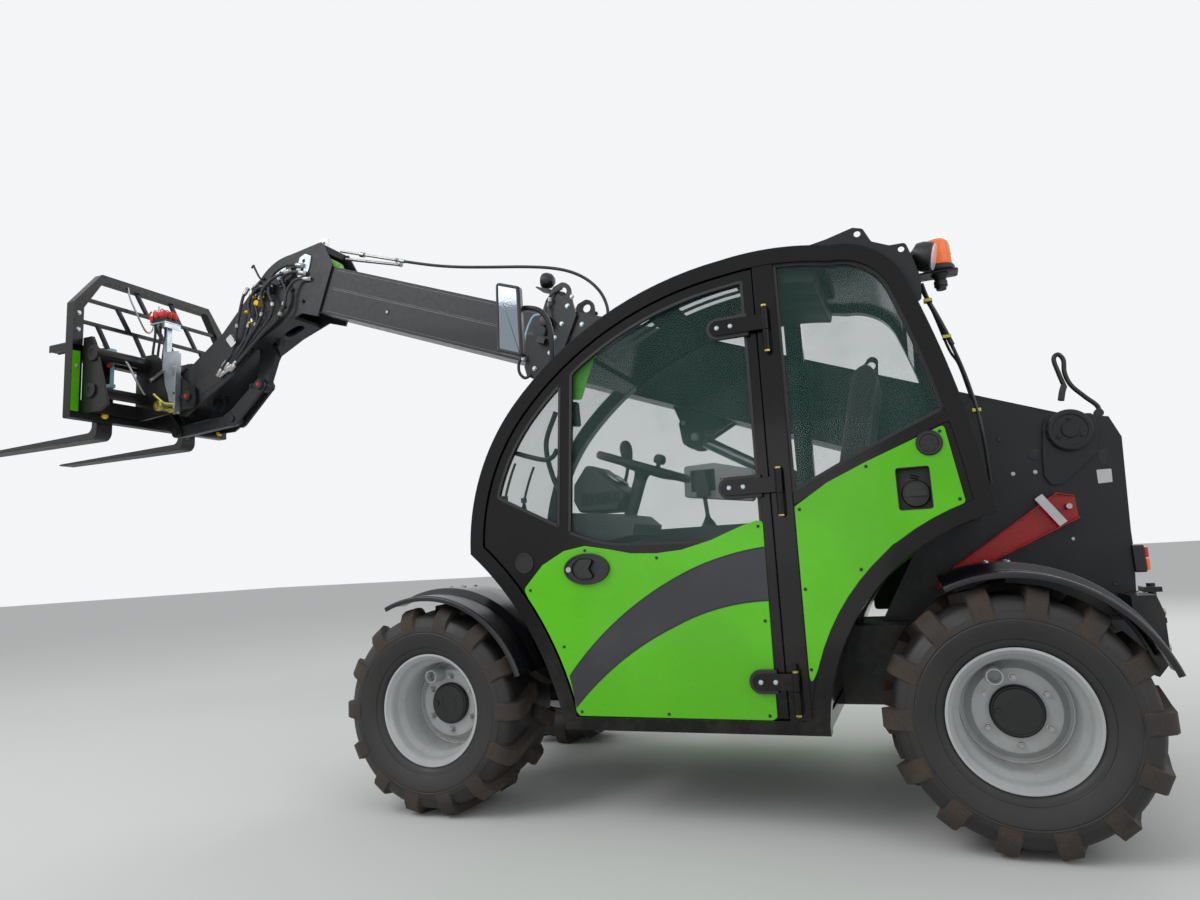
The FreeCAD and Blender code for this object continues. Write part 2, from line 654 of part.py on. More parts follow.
def head_pipes():
    """Steel pipe that carries the auxiliary hoses back over the boom, on its bracket."""
    start = boom_xz(*hose_route[0])
    run = (hose_route[1][1] - hose_route[0][1]) / (hose_route[1][0] - hose_route[0][0])
    far_u = inner_front + 60
    end = boom_xz(far_u, hose_route[0][1] + run * (far_u - hose_route[0][0]))
    pipe = bar_between((start[0], boom_y, start[1]), (end[0], boom_y, end[1]), hose_radius, 8)
    bracket = plate([(2262, 2800), (2330, 2790), (2330, 2880), (2300, 2895), (2262, 2880)], boom_y - 6, boom_y + 6)
    return fuse([pipe, bracket])


# Route of the free hose in boom coordinates (u, w) on the boom's centre plane, pipe end first.
hose_route = [(3398, 166), (3220, 172), (3020, 192), (2800, 229), (2600, 266), (2440, 287), (2320, 286),
              (2215, 260), (2130, 212), (2078, 152), (2060, 110), (2060, 76)]
hose_radius = 8.0


def hose_tube():
    """Hose as straight runs joined by tangent arcs."""
    points = [V(x, boom_y, z) for x, z in (boom_xz(u, w) for u, w in hose_route)]
    edges = []
    radii = []
    last = points[0]
    for before, here, after in zip(points, points[1:], points[2:]):
        back = before.sub(here)
        ahead = after.sub(here)
        shorter = min(back.Length, ahead.Length)
        back.normalize()
        ahead.normalize()
        half_turn = math.acos(max(-1.0, min(1.0, -back.dot(ahead)))) / 2
        radius = 0.45 * shorter / math.tan(half_turn)
        radii.append(radius)
        inward = back.add(ahead)
        inward.normalize()
        start = here.add(back * (0.45 * shorter))
        end = here.add(ahead * (0.45 * shorter))
        middle = here.add(inward * (radius / math.cos(half_turn) - radius))
        edges.append(Part.LineSegment(last, start).toShape())
        edges.append(Part.Arc(start, middle, end).toShape())
        last = end
    edges.append(Part.LineSegment(last, points[-1]).toShape())
    path = Part.Wire(edges)
    ahead = points[1].sub(points[0]).normalize()
    across = V(-ahead.z, 0, ahead.x)
    corners = []
    for k in range(8):
        turn = math.radians(22.5 + 45 * k)
        corners.append(points[0] + Y_AXIS * (hose_radius * math.cos(turn)) + across * (hose_radius * math.sin(turn)))
    section = Part.makePolygon(corners + corners[:1])
    tube = path.makePipeShell([section], True, False)
    area = 8 * 0.5 * hose_radius ** 2 * math.sin(math.radians(45))
    print("hose length", round(path.Length, 1), "volume ratio", round(tube.Volume / (path.Length * area), 4), "radii",
          [round(r) for r in radii])
    return tube


def hose_fitting():
    """Elbow fitting on the outer boom where the hose goes in."""
    u, w = hose_route[-1]
    return boom_block(u - 24, u + 24, outer_top - 1, w - seat_gap, -24, 24)


def tilt_linkage():
    """Rocker plates on the head and the link to the coupler."""
    bx, bz = rocker_x + crank_dx, rocker_z + crank_dz
    cx, cz = tilt_x + crank_dx, tilt_z + crank_dz
    plates = []
    y_in = link_half_width + linkage_gap
    for y in (boom_y + y_in, boom_y - y_in - rocker_thick):
        one = capsule(rocker_x, rocker_z, bx, bz, 38, 46, y, y + rocker_thick)
        plates.append(one.cut(round_y(rocker_x, rocker_z, link_pin_radius + pin_clear, y - 5, y + 40)))
    pin = round_y(bx, bz, link_pin_radius, boom_y - y_in - rocker_thick - 10, boom_y + y_in + rocker_thick + 10)
    save("tilt_rocker", fuse(plates + [pin]))
    link = capsule(bx, bz, cx, cz, 34, 34, boom_y - link_half_width, boom_y + link_half_width)
    for x, z in ((bx, bz), (cx, cz)):
        link = link.cut(round_y(x, z, link_pin_radius + pin_clear, boom_y - 40, boom_y + 40))
    save("tilt_link", link)


def coupler():
    """Quick coupler: four upright plates on two cross tubes, tilt pins and the link lugs."""
    t = coupler_plate
    inner = inner_half_width + head_plate + 6
    front = carriage_x - seat_gap
    outer_steps = [(front - 70, 2375), (front, 2375), (front, 1925), (front - 150, 1925), (front - 215, 1960),
                   (front - 95, 2330)]
    inner_steps = [(tilt_x - 62, tilt_z), (tilt_x - 40, tilt_z - 70, tilt_x, tilt_z - 78), (front - 60, 1925),
                   (front, 1925), (front, 2330), (front - 150, 2330), (tilt_x - 8, tilt_z + 74),
                   (tilt_x - 48, tilt_z + 52, tilt_x - 62, tilt_z)]
    parts = []
    for sign in (1, -1):
        for offset, steps in ((coupler_half_width - t, outer_steps), (inner, inner_steps)):
            y0 = boom_y + offset if sign > 0 else boom_y - offset - t
            parts.append(plate(steps, y0, y0 + t))
        y0, y1 = (boom_y + 62, boom_y + inner + t) if sign > 0 else (boom_y - inner - t, boom_y - 62)
        parts.append(round_y(tilt_x, tilt_z, tilt_pin_radius, y0, y1))
    span0, span1 = boom_y - coupler_half_width + 1, boom_y + coupler_half_width - 1
    parts.append(bar_y(front - coupler_tube_back, coupler_tube_z, coupler_tube_radius, span0, span1))
    parts.append(bar_y(front - coupler_low_back, coupler_low_z, coupler_low_radius, span0, span1))
    parts.append(box(front - 40, front - 20, span0, span1, 1935, 2010))
    cx, cz = tilt_x + crank_dx, tilt_z + crank_dz
    y_in = link_half_width + linkage_gap
    for y in (boom_y + y_in, boom_y - y_in - rocker_thick):
        parts.append(plate([(cx - 38, cz), (cx, cz - 38, cx + 38, cz), (front - 20, 1940), (front - 20, 2050),
                            (front - 90, 2060)], y, y + rocker_thick))
    parts.append(round_y(cx, cz, link_pin_radius, boom_y - y_in - rocker_thick - 10,
                         boom_y + y_in + rocker_thick + 10))
    return fuse(parts)


def coupling_bracket():
    """Galvanised post with the hydraulic quick couplings on top."""
    tube = carriage_x - seat_gap - coupler_tube_back
    x = tube - coupler_tube_radius * bar_flat - seat_gap - 34
    y = boom_y + 62
    post = plate([(x - 30, 2118), (x + 34, 2118), (x + 34, 2520), (x - 34, 2520)], y, y + 26)
    head = box(x - 60, x + 66, y - 40, y + 76, 2520, 2536)
    blocks = box(x - 50, x + 56, y - 30, y + 60, 2536, 2590)
    foot = box(x - 30, tube + 30, y, y + 26, coupler_low_z + coupler_low_radius * bar_flat + seat_gap, 2119)
    return fuse([post, head, blocks, foot])


def fork_frame():
    """Fork carriage: posts, rails and a staggered guard above."""
    x0, x1 = carriage_x, carriage_x + carriage_depth
    half, rail = carriage_half_width, carriage_rail
    low, mid, top = carriage_bottom, carriage_shoulder, carriage_top
    step = 165.0
    y = boom_y

    def yz_plate(points, xa, xb):
        wire = Part.makePolygon([V(xa, y + a, b) for a, b in points + [points[0]]])
        return Part.Face(wire).extrude(V(xb - xa, 0, 0))

    outer = yz_plate([(-half, low), (half, low), (half, mid), (half - step, top), (-half + step, top),
                      (-half, mid)], x0, x1)
    hole = yz_plate([(-half + rail, low + 110), (half - rail, low + 110), (half - rail, mid - 20),
                     (half - step - 12, top - 46), (-half + step + 12, top - 46), (-half + rail, mid - 20)],
                    x0 - 1, x1 + 1)
    frame = outer.cut(hole)
    hook_rail = box(x0, x1, y - half + 1, y + half - 1, 2240, 2330)
    bars = []
    # guard courses above the rail: bottom and top of each course, and how far its uprights are shifted
    courses = ((2330.0, 2480.0, 0.0), (2480.0, 2620.0, 0.5), (2620.0, 2755.0, 0.0))
    pitch = 245.0
    bar = 22.0
    for course_low, course_high, shift in courses:
        for i in range(-3, 4):
            centre = (i + shift) * pitch
            limit = half - (step if course_high > mid else rail) - bar
            if abs(centre) < limit:
                bars.append(box(x0 + 12, x0 + 36, y + centre - bar / 2, y + centre + bar / 2, course_low - 2,
                                course_high + 2))
    for z in (2480.0, 2620.0):
        wide = half - rail + 2 if z < mid else half - rail - (z - mid) * 0.72
        bars.append(box(x0 + 12, x0 + 36, y - wide, y + wide, z - bar / 2, z + bar / 2))
    treads = box(x1 - 2, x1 + 140, y + half - 60, y + half, 2300, 2345)
    return fuse([frame, hook_rail, treads] + bars)


def forks():
    """Two forks hung on the carriage."""
    x1 = carriage_x + carriage_depth + seat_gap
    t, z = fork_thick, fork_bottom
    steps = [(x1, 2340), (x1 + t, 2340), (x1 + t, z + t + 40), (x1 + t + 12, z + t + 12, x1 + t + 40, z + t),
             (x1 + fork_length, z + t), (x1 + fork_length, z + t - 9), (x1 + 520, z), (x1 + 50, z),
             (x1 + 15, z + 15, x1, z + 50)]
    pieces = []
    for side in (1, -1):
        centre = boom_y + side * fork_spread
        pieces.append(plate(steps, centre - fork_width / 2, centre + fork_width / 2))
    return Part.makeCompound(pieces)


# Outer edge of the cab's side frame, counter-clockwise seen from the left: (x, z) or arc points.
cab_edge = [(450, 330), (600, 710, 820, 970), (772, 1260, 610, 1530), (240, 1812, -240, 1950),
            (-430, 1957, -610, 1930), (-760, 1880, -840, 1770), (-950, 1400, -1020, 1000),
            (-652, 785, -470, 365), (-470, 330)]


def cab_band(width, y0, y1, inset=0.0):
    """Band that follows the cab's edge."""
    whole = plate(cab_edge, y0, y1, inset)
    return whole.cut(plate(cab_edge, y0 - 1, y1 + 1, inset + width))


def cab_zone(steps, shape):
    """Part of a shape inside an outline in XZ."""
    return shape.common(plate(steps, cab_right - 40, cab_left + 40))


# Belt line of the cab's left side: lower edge of the glass and upper edge of the green panels.
belt_front = [(pillar_front, 1035), (-230, 955, -80, 950), (140, 955), (300, 975, 450, 1040), (720, 1175)]
belt_rear = [(pillar_rear, 1105), (-600, 1195, -905, 1330)]
belt_height = 42.0
panel_top = [(pillar_front, 1026), (-190, 994, -20, 943), (75, 933, 175, 941), (262, 968, 343, 976),
             (440, 961, 517, 914), (600, 826)]
panel_lap = 21.0            # how far the door's panel covers the belt above it
far = 2400.0


def above(belt, lift=0.0):
    """Zone above a belt line."""
    steps = [(s[0], s[1] + lift) if len(s) == 2 else (s[0], s[1] + lift, s[2], s[3] + lift) for s in belt]
    first, last = steps[0], steps[-1]
    end = 1000 if last[-2] > first[0] else -1300
    return steps + [(end, last[-1]), (end, far), (first[0], far)]


def cab_frame():
    """Side frames, B pillars, cross tubes and the hinge knuckles."""
    left = cab_band(cab_tube, cab_left - 55, cab_left)
    ledge = frame_top + seat_gap
    right = cab_band(cab_tube, cab_right, cab_right + 50).common(box(-1200, 1000, 0, 900, ledge, far))
    pillars = [box(pillar_rear, pillar_front, cab_left - 50, cab_left - 6, 350, 1915),
               box(pillar_rear, pillar_front, cab_right, cab_right + 44, ledge, 1915)]
    y0, y1, y2 = cab_right + 49, cab_left - 54, frame_half_width + seat_gap
    cross = [box(-465, -415, y2, cab_left - 10, 336, 384), box(390, 440, y2, cab_left - 10, 336, 384),
             box(-550, 510, cab_right, cab_right + 44, ledge, ledge + 40)]
    for low_x, high_x, low_z, high_z in ((600, 1000, 985, 1035), (335, 390, 1500, 1900), (-1000, -700, 1600, 1655),
                                         (-1100, -800, 1080, 1130)):
        zone = [(low_x, low_z), (high_x, low_z), (high_x, high_z), (low_x, high_z)]
        cross.append(cab_sheet(glass_inset + glass_thick + 2, 26, y0, y1, zone))
    rail = plate(cab_edge, cab_left - 40, cab_left - 6, cab_tube - 10)
    rail = cab_zone(above(belt_rear, -belt_height), rail).cut(plate(above(belt_rear), 0, 900))
    knuckles = []
    for z in hinge_heights:
        knuckles.append(box(hinge_x - 14, hinge_x + 14, cab_left - 8, hinge_y, z - 52, z - 22))
        knuckles.append(bar_between((hinge_x, hinge_y, z - 52), (hinge_x, hinge_y, z - 22), hinge_radius, 10))
        knuckles.append(Part.makeCylinder(6, 92, V(hinge_x, hinge_y, z - 46)))
    return fuse([left, right, rail] + pillars + cross + knuckles)


def cab_sheet(inset, thickness, y0, y1, steps):
    """Curved sheet that follows the cab's edge inside a zone."""
    return cab_zone(steps, cab_band(thickness, y0, y1, inset))


def cab_skins():
    """Roof, panes, panels and floor of the cab."""
    y0, y1 = cab_right + 50 + seat_gap, cab_left - 55 - seat_gap
    roof = cab_sheet(8, roof_thick, y0, y1, [(-250, 1700), (-250, far), (-1200, far), (-1200, 1745), (-800, 1745)])
    save("cab_roof", fuse([roof, box(-1010, -838, 505, 595, 1822, 1830), box(-846, -838, 505, 595, 1765, 1830),
                           box(-846, -815, 505, 595, 1765, 1785)]))
    screen = cab_sheet(glass_inset, glass_thick, y0, y1, [(600, 1000), (1000, 1000), (1000, far), (-245, far),
                                                         (-245, 1700), (350, 1500)])
    save("windscreen", screen)
    rear = cab_sheet(glass_inset, glass_thick, y0, y1, [(-790, 1140), (-1200, 1140), (-1200, 1740), (-790, 1740)])
    inset = cab_tube + seat_gap
    pane = plate(cab_edge, cab_left - 25, cab_left - 25 + glass_thick, inset)
    side = cab_zone(above(belt_rear, seat_gap), pane).cut(box(pillar_rear - seat_gap, 1000, 0, 900, 0, far))
    right_y = cab_right + 44 + seat_gap
    pane = plate(cab_edge, right_y, right_y + glass_thick, inset)
    inner = pane.common(box(-1200, 1000, 0, 900, 1040 + seat_gap, far))
    save("cab_windows", Part.makeCompound([rear, side, inner]))
    ledge = frame_top + floor_thick + 2 * seat_gap
    wall = plate(cab_edge, right_y, right_y + panel_thick, inset).common(box(-1200, 1000, 0, 900, ledge, 1040))
    save("cab_inner_wall", wall)
    panel = plate(cab_edge, cab_left - 11, cab_left - 6, inset)
    panel = panel.cut(plate(above(belt_rear, -belt_height - seat_gap), 0, 900))
    panel = panel.cut(box(pillar_rear - seat_gap, 1000, 0, 900, 0, far))
    x0, x1, z0, z1 = filler_recess
    t = filler_wall
    tray = box(x0 - t, x1 + t, cab_left - 6 - filler_depth, cab_left - 6, z0 - t, z1 + t)
    save("cab_side_panel", fuse([panel, tray]).cut(box(x0, x1, cab_left - 6 - filler_depth + t, cab_left, z0, z1)))
    y2 = frame_half_width + seat_gap
    low, top = floor_low, frame_top + seat_gap
    floor = box(-446, 455, y2, y1, low, low + floor_thick)
    step = box(-500, 520, y2, y2 + 6, low, top + floor_thick)
    shelf = box(-546, 540, y0, y2 + 6, top, top + floor_thick)
    arch = cab_sheet(front_sheet_inset, sheet_thick, y0, y1, [(-1300, 1075), (-1300, low), (-410, low),
                                                             (-410, 600), (-900, 1075)])
    front = cab_sheet(front_sheet_inset, sheet_thick, y0, y1, [(385, low), (1000, low), (1000, 985), (600, 985)])
    skin = fuse([floor, step.common(plate(cab_edge, 0, 900, 14)), shelf.common(plate(cab_edge, 0, 900, 14)), arch,
                 front])
    save("cab_floor", skin.cut(box(-1200, 1000, 0, y2, 0, top)))


def door():
    """Door frame with its straps, green panel, panes and handle."""
    edge = cab_tube + door_gap
    width = 35.0
    y1 = cab_left - 7
    y0 = y1 - door_thick
    rear = pillar_front + door_gap
    whole = plate(cab_edge, y0, y1, edge).common(box(rear, 1000, 0, 900, 0, far))
    room = plate(cab_edge, y0 - 1, y1 + 1, edge + width).common(box(rear + width, 1000, 0, 900, 0, far))
    belt = plate(above(panel_top, -panel_lap), y0, y1).cut(plate(above(belt_front), y0 - 1, y1 + 1))
    bar = box(392, 436, y0, y1, 950, 1700)
    upper = plate(above(belt_front), y0 - 2, y1 + 2)
    frame = fuse([whole.cut(room), belt.common(whole), bar.common(whole).common(upper)])
    straps = []
    for z in hinge_heights:
        sleeve = bar_between((hinge_x, hinge_y, z - 21.5), (hinge_x, hinge_y, z + 38.5), hinge_radius, 10)
        leaf = box(hinge_x, rear + 105, hinge_y - 4, hinge_y + 8, z - 21.5, z + 38.5)
        pad = box(rear + 20, rear + 105, y1 - 1, hinge_y, z - 21.5, z + 38.5)
        straps += [sleeve, leaf, pad]
    frame = fuse([frame] + straps)
    for z in hinge_heights:
        frame = frame.cut(Part.makeCylinder(6 + pin_clear, 120, V(hinge_x, hinge_y, z - 50)))
    save("door_frame", frame)
    glass = plate(cab_edge, y0 + 8, y0 + 8 + glass_thick, edge + width + seat_gap)
    glass = glass.common(box(rear + width + seat_gap, 1000, 0, 900, 0, far))
    glass = glass.common(plate(above(belt_front, seat_gap), 0, 900))
    panes = [glass.common(box(-1000, 392 - seat_gap, 0, 900, 0, far)),
             glass.common(box(436 + seat_gap, 1000, 0, 900, 0, far))]
    save("door_glass", Part.makeCompound([solid for pane in panes for solid in pane.Solids]))
    panel = plate(cab_edge, y1 + seat_gap, y1 + seat_gap + panel_thick, edge + 2)
    panel = panel.common(box(rear + 4, 1000, 0, 900, 0, far))
    panel = panel.cut(plate(above(panel_top), 0, 900))
    for z in hinge_heights:
        panel = panel.cut(box(rear + 10, rear + 105 + seat_gap, 0, 900, z - 22, z + 39))
    save("door_panel", panel)
    y = y1 + seat_gap + panel_thick + seat_gap
    x, z, long_half, high_half = handle_oval
    turns = [math.radians(22.5 * k) for k in range(16)]
    base = plate([(x + long_half * math.cos(t), z + high_half * math.sin(t)) for t in turns], y, y + 10)
    grip = box(x - 22, x + 52, y + 9, y + 22, z - 38, z + 38)
    save("door_handle", fuse([base, grip]))


def cab_inside():
    """Dashboard, steering wheel, seat and side console."""
    floor = floor_low + floor_thick + seat_gap
    shelf = frame_top + floor_thick + 2 * seat_gap
    dash = plate([(330, floor), (470, floor), (560, 560), (640, 760), (640, 960), (600, 1020), (470, 1110),
                  (250, 1090), (205, 1050), (215, 1010), (380, 985), (400, 760)], 230, 570)
    dash = dash.common(plate(cab_edge, 0, 900, front_sheet_inset + sheet_thick + seat_gap))
    centre = V(212, 400, 1282)
    slope = V(-math.sin(math.radians(20)), 0, math.cos(math.radians(20)))
    column = Part.makeCylinder(26, 230, centre.sub(slope * 253), slope)
    console = box(-390, 60, 100, 205, shelf, 931)
    pod = plate([(-330, 930), (60, 930), (80, 1010), (40, 1040), (-330, 1000)], 108, 198)
    stick = bar_between((20, 152, 1020), (34, 152, 1170), 9, 8)
    knob = plate([(10, 1165), (62, 1160), (72, 1240), (52, 1275), (18, 1270)], 134, 170)
    save("dashboard", Part.makeCompound([fuse([dash, column]), fuse([console, pod, stick, knob])]))
    rim = [(182 + 14 * math.cos(k * math.pi / 3), 14 * math.sin(k * math.pi / 3)) for k in range(6)]
    ring = ring_solid(rim, 24)
    hub = ring_solid([(0, -22), (38, -22), (38, 12), (0, 12)], 16)
    for piece in (ring, hub):
        piece.rotate(V(0, 0, 0), V(1, 0, 0), 90)
    wheel = fuse([ring, hub, box(-180, 180, -14, 14, -6, 6), box(-14, 14, -180, 0, -6, 6)])
    wheel.rotate(V(0, 0, 0), Y_AXIS, -20)
    wheel.translate(centre)
    save("steering_wheel", wheel)
    base = box(-420, -40, 240, 600, floor, 800)
    cushion = plate([(-470, 810), (-20, 830), (10, 870), (0, 930), (-60, 950), (-440, 930)], 215, 625)
    post = box(-400, -80, 260, 580, 790, 830)
    save("seat_base", fuse([base, post]).cut(plate([(-470, 810 - seat_gap), (-20, 830 - seat_gap), (10, 870),
                                                    (0, 930), (-60, 950), (-440, 930)], 215, 625)))
    back = plate([(-440, 931), (-560, 1180), (-640, 1540), (-690, 1560), (-720, 1520), (-640, 1150), (-540, 870),
                  (-470, 811), (-441, 812)], 225, 615)
    save("seat", fuse([cushion, back]))


def fittings():
    """Beacon, mirror and the red boom prop."""
    lens = ring_solid([(0, 0), (52, 0), (52, 16), (47, 16), (44, 100), (34, 122), (0, 122)], 18)
    lens.rotate(V(0, 0, 0), V(1, 0, 0), 90)
    lens.translate(V(-950, 550, 1830 + seat_gap))
    save("beacon", lens)
    glass = plate([(528, 1705), (645, 1745), (640, 2005), (535, 1962)], cab_left + 20, cab_left + 62)
    foot = cab_left + seat_gap
    arm = fuse([box(540, 574, foot, foot + 6, 1540, 1600), bar_y(557, 1570, 9, foot + 1, foot + 30, 8),
                bar_between((557, foot + 22, 1568), (566, foot + 36, 1860), 9, 8)])
    save("mirror", fuse([glass, arm]))


def engine_side():
    """Hood on the right side and the engine under it."""
    edge = [(450, 330), (600, 700, 790, 900), (790, hood_top - 60), (600, hood_top, 560, hood_top),
            (-900, hood_top - 30), (-940, 930), (-652, 785, -470, 365), (-470, 330)]
    outer = plate(edge, hood_outer, hood_inner)
    inner = plate(edge, hood_outer + hood_wall, hood_inner + 1, hood_wall)
    rear = plate(edge, hood_inner - 12, hood_inner, 1).cut(plate(edge, hood_inner - 13, hood_inner + 1, 70))
    rear = rear.common(box(-1200, 1000, hood_inner - 20, 0, 640, far))
    save("engine_hood", fuse([outer.cut(inner), rear]))
    low = box(-320, 400, hood_outer + 90, -frame_half_width - seat_gap, floor_low, 600)
    high = box(-320, 400, hood_outer + 90, hood_inner - 40, 598, 930)
    save("engine_block", fuse([low, high]))


def boom_prop():
    """Red prop that is laid on the lift rod for service, stowed on the tower's side."""
    y0 = boom_y + outer_half_width + tower_gap + tower_thick + seat_gap
    outer = plate([(-830, 730), (-850, 790), (-1280, 1080), (-1345, 1065), (-1350, 975)], y0, y0 + 46)
    room = plate([(-800, 740), (-856, 778), (-1284, 1068), (-1330, 1058), (-1336, 976), (-1330, 940)], y0 + 6, y0 + 47,
                 4)
    save("safety_strut", outer.cut(room))


def main():
    """Build and write every piece."""
    os.makedirs("parts", exist_ok=True)
    wheel_sets()
    for name, shape in (("front_axle", axle_shape(front_x)), ("rear_axle", axle_shape(rear_x)),
                        ("chassis_frame", chassis_frame()), ("boom_tower", boom_tower()),
                        ("rear_counterweight", counterweight()), ("boom_outer", boom_outer()),
                        ("boom_guides", boom_guides()), ("boom_inner", boom_inner()), ("boom_head", boom_head()),
                        ("head_pipe", head_pipes()), ("boom_hose", hose_tube()),
                        ("coupler", coupler()), ("coupling_bracket", coupling_bracket()),
                        ("fork_frame", fork_frame()), ("forks", forks()), ("cab_frame", cab_frame())):
        save(name, shape)
    lift_cylinder()
    tilt_linkage()
    cab_skins()
    door()
    cab_inside()
    fittings()
    boom_prop()
    engine_side()


main()
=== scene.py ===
"""Looks of a compact telescopic handler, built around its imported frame.

Metres, +X forward, +Y to the left (cab side), +Z up, origin on the ground between the axles.
"""

import logging
import math
from dataclasses import dataclass
from enum import Enum
from typing import Callable, Sequence, Union

import bmesh
import bpy
from mathutils import Matrix, Vector


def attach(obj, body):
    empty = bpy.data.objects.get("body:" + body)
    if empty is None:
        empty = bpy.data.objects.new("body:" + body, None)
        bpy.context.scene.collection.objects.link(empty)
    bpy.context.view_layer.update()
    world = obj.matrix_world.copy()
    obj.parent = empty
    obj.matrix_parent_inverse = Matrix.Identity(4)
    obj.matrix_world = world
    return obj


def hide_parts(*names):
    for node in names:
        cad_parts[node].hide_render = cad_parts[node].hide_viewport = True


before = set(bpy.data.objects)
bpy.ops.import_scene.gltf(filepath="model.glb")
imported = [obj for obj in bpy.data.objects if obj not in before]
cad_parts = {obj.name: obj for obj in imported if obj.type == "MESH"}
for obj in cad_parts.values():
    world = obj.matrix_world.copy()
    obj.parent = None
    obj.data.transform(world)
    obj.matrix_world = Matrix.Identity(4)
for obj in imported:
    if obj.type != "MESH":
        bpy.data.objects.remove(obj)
LOG = logging.getLogger("telehandler")
Point = tuple[float, float]
Place = tuple[float, float, float]
Colour = tuple[float, float, float, float]

BOOM_Y = -.163             # centre plane of the boom
PIVOT = (-1.355, 1.305)     # boom pivot, X and Z
BOOM_ANGLE = math.radians(20.5)
WHEEL_X = 1.017             # axles, fore and aft of the middle
WHEEL_Y = .59
WHEEL_Z = .39
CAB_LEFT = .745
CAB_RIGHT = .025


class Body(str, Enum):
    """Bodies that pieces ride on."""

    CHASSIS = "chassis"
    DOOR = "door"
    STEERING = "steering_wheel"
    OUTER = "boom_outer"
    INNER = "boom_inner"
    CARRIAGE = "fork_carriage"
    BARREL = "lift_barrel"
    ROD = "lift_rod"


class Slot(str, Enum):
    """Material slot names."""

    GREEN = "green_paint"
    BLACK = "black_paint"
    BOOM = "boom_paint"
    CARRIAGE = "carriage_paint"
    SILVER = "rim_silver"
    RED = "red_paint"
    ZINC = "zinc"
    STEEL = "steel"
    CAST = "cast"
    TYRE = "tyre"
    HOSE = "hose"
    GLASS = "glass"
    PLASTIC = "plastic"
    FENDER = "fender"
    SEAT = "seat"
    AMBER = "amber"


def rgb(red: int, green: int, blue: int) -> Colour:
    """Linear colour of an 8-bit screen colour."""
    def linear(value: int) -> float:
        """One channel."""
        share = value / 255
        return share / 12.92 if share <= .04045 else ((share + .055) / 1.055) ** 2.4
    return (linear(red), linear(green), linear(blue), 1.0)


def boom_point(u: float, w: float, across: float = 0.0) -> Vector:
    """Place of a boom point.

    Args:
        u: distance along the boom from its pivot.
        w: distance square to it, upward.
        across: distance from the boom's centre plane, to the left.

    Returns:
        The point in the row frame.
    """
    c, s = math.cos(BOOM_ANGLE), math.sin(BOOM_ANGLE)
    return Vector((PIVOT[0] + u * c - w * s, BOOM_Y + across, PIVOT[1] + u * s + w * c))


def operator(operation: str, reflected: bool = False) -> Callable[["Wire", "Operand"], "Wire"]:
    """Method for one operator on sockets, or for its reflected form."""
    def method(self: "Wire", other: "Operand") -> "Wire":
        """Adds the operation's node."""
        return self.join(operation, other, self) if reflected else self.join(operation, self, other)
    return method


class Wire:
    """A shader socket that takes part in Python expressions."""

    def __init__(self, shade: "Nodes", socket: bpy.types.NodeSocket) -> None:
        """Keeps the socket and the tree that it belongs to."""
        self.shade = shade
        self.socket = socket

    def join(self, operation: str, left: "Operand", right: "Operand") -> "Wire":
        """Adds the node for one operation.

        Args:
            operation: Math, Vector Math or blend name.
            left: first operand.
            right: second operand.

        Returns:
            The result's wire.
        """
        if self.socket.type == "VALUE":
            node = self.shade.node("ShaderNodeMath", {"operation": operation}, {0: left, 1: right})
            return Wire(self.shade, node.outputs[0])
        if self.socket.type == "VECTOR":
            pair = [(v, v, v) if isinstance(v, (int, float)) else v for v in (left, right)]
            node = self.shade.node("ShaderNodeVectorMath", {"operation": operation}, {0: pair[0], 1: pair[1]})
            return Wire(self.shade, node.outputs[0])
        pair = [(v, v, v, 1.0) if isinstance(v, (int, float)) else v for v in (left, right)]
        node = self.shade.node("ShaderNodeMix", {"data_type": "RGBA", "blend_type": operation}, {0: 1.0, 6: pair[0],
            7: pair[1]})
        return Wire(self.shade, node.outputs[2])

    __add__, __radd__ = operator("ADD"), operator("ADD", True)
    __sub__, __rsub__ = operator("SUBTRACT"), operator("SUBTRACT", True)
    __mul__, __rmul__ = operator("MULTIPLY"), operator("MULTIPLY", True)
    __truediv__ = operator("DIVIDE")
    __gt__ = operator("GREATER_THAN")

    def __abs__(self) -> "Wire":
        """Distance from nought, on values."""
        return self.join("ABSOLUTE", self, 0.0)


Operand = Union[Wire, float, Sequence[float]]


class Nodes:
    """A node tree that nodes are added to."""

    def __init__(self, tree: bpy.types.NodeTree) -> None:
        """Takes over a tree and empties it."""
        self.tree = tree
        tree.nodes.clear()

    def node(self, kind: str, settings: dict, inputs: dict) -> bpy.types.Node:
        """Adds any node.

        Args:
            kind: Blender's type name.
            settings: properties, set first.
            inputs: values or wires by socket name or number.

        Returns:
            The node.
        """
        node = self.tree.nodes.new(kind)
        for key, value in settings.items():
            setattr(node, key, value)
        for key, value in inputs.items():
            self.feed(node.inputs[key], value)
        return node

    def feed(self, socket: bpy.types.NodeSocket, value: Operand) -> None:
        """Links a wire to a socket, or sets its value."""
        if isinstance(value, Wire):
            self.tree.links.new(value.socket, socket)
        else:
            socket.default_value = value


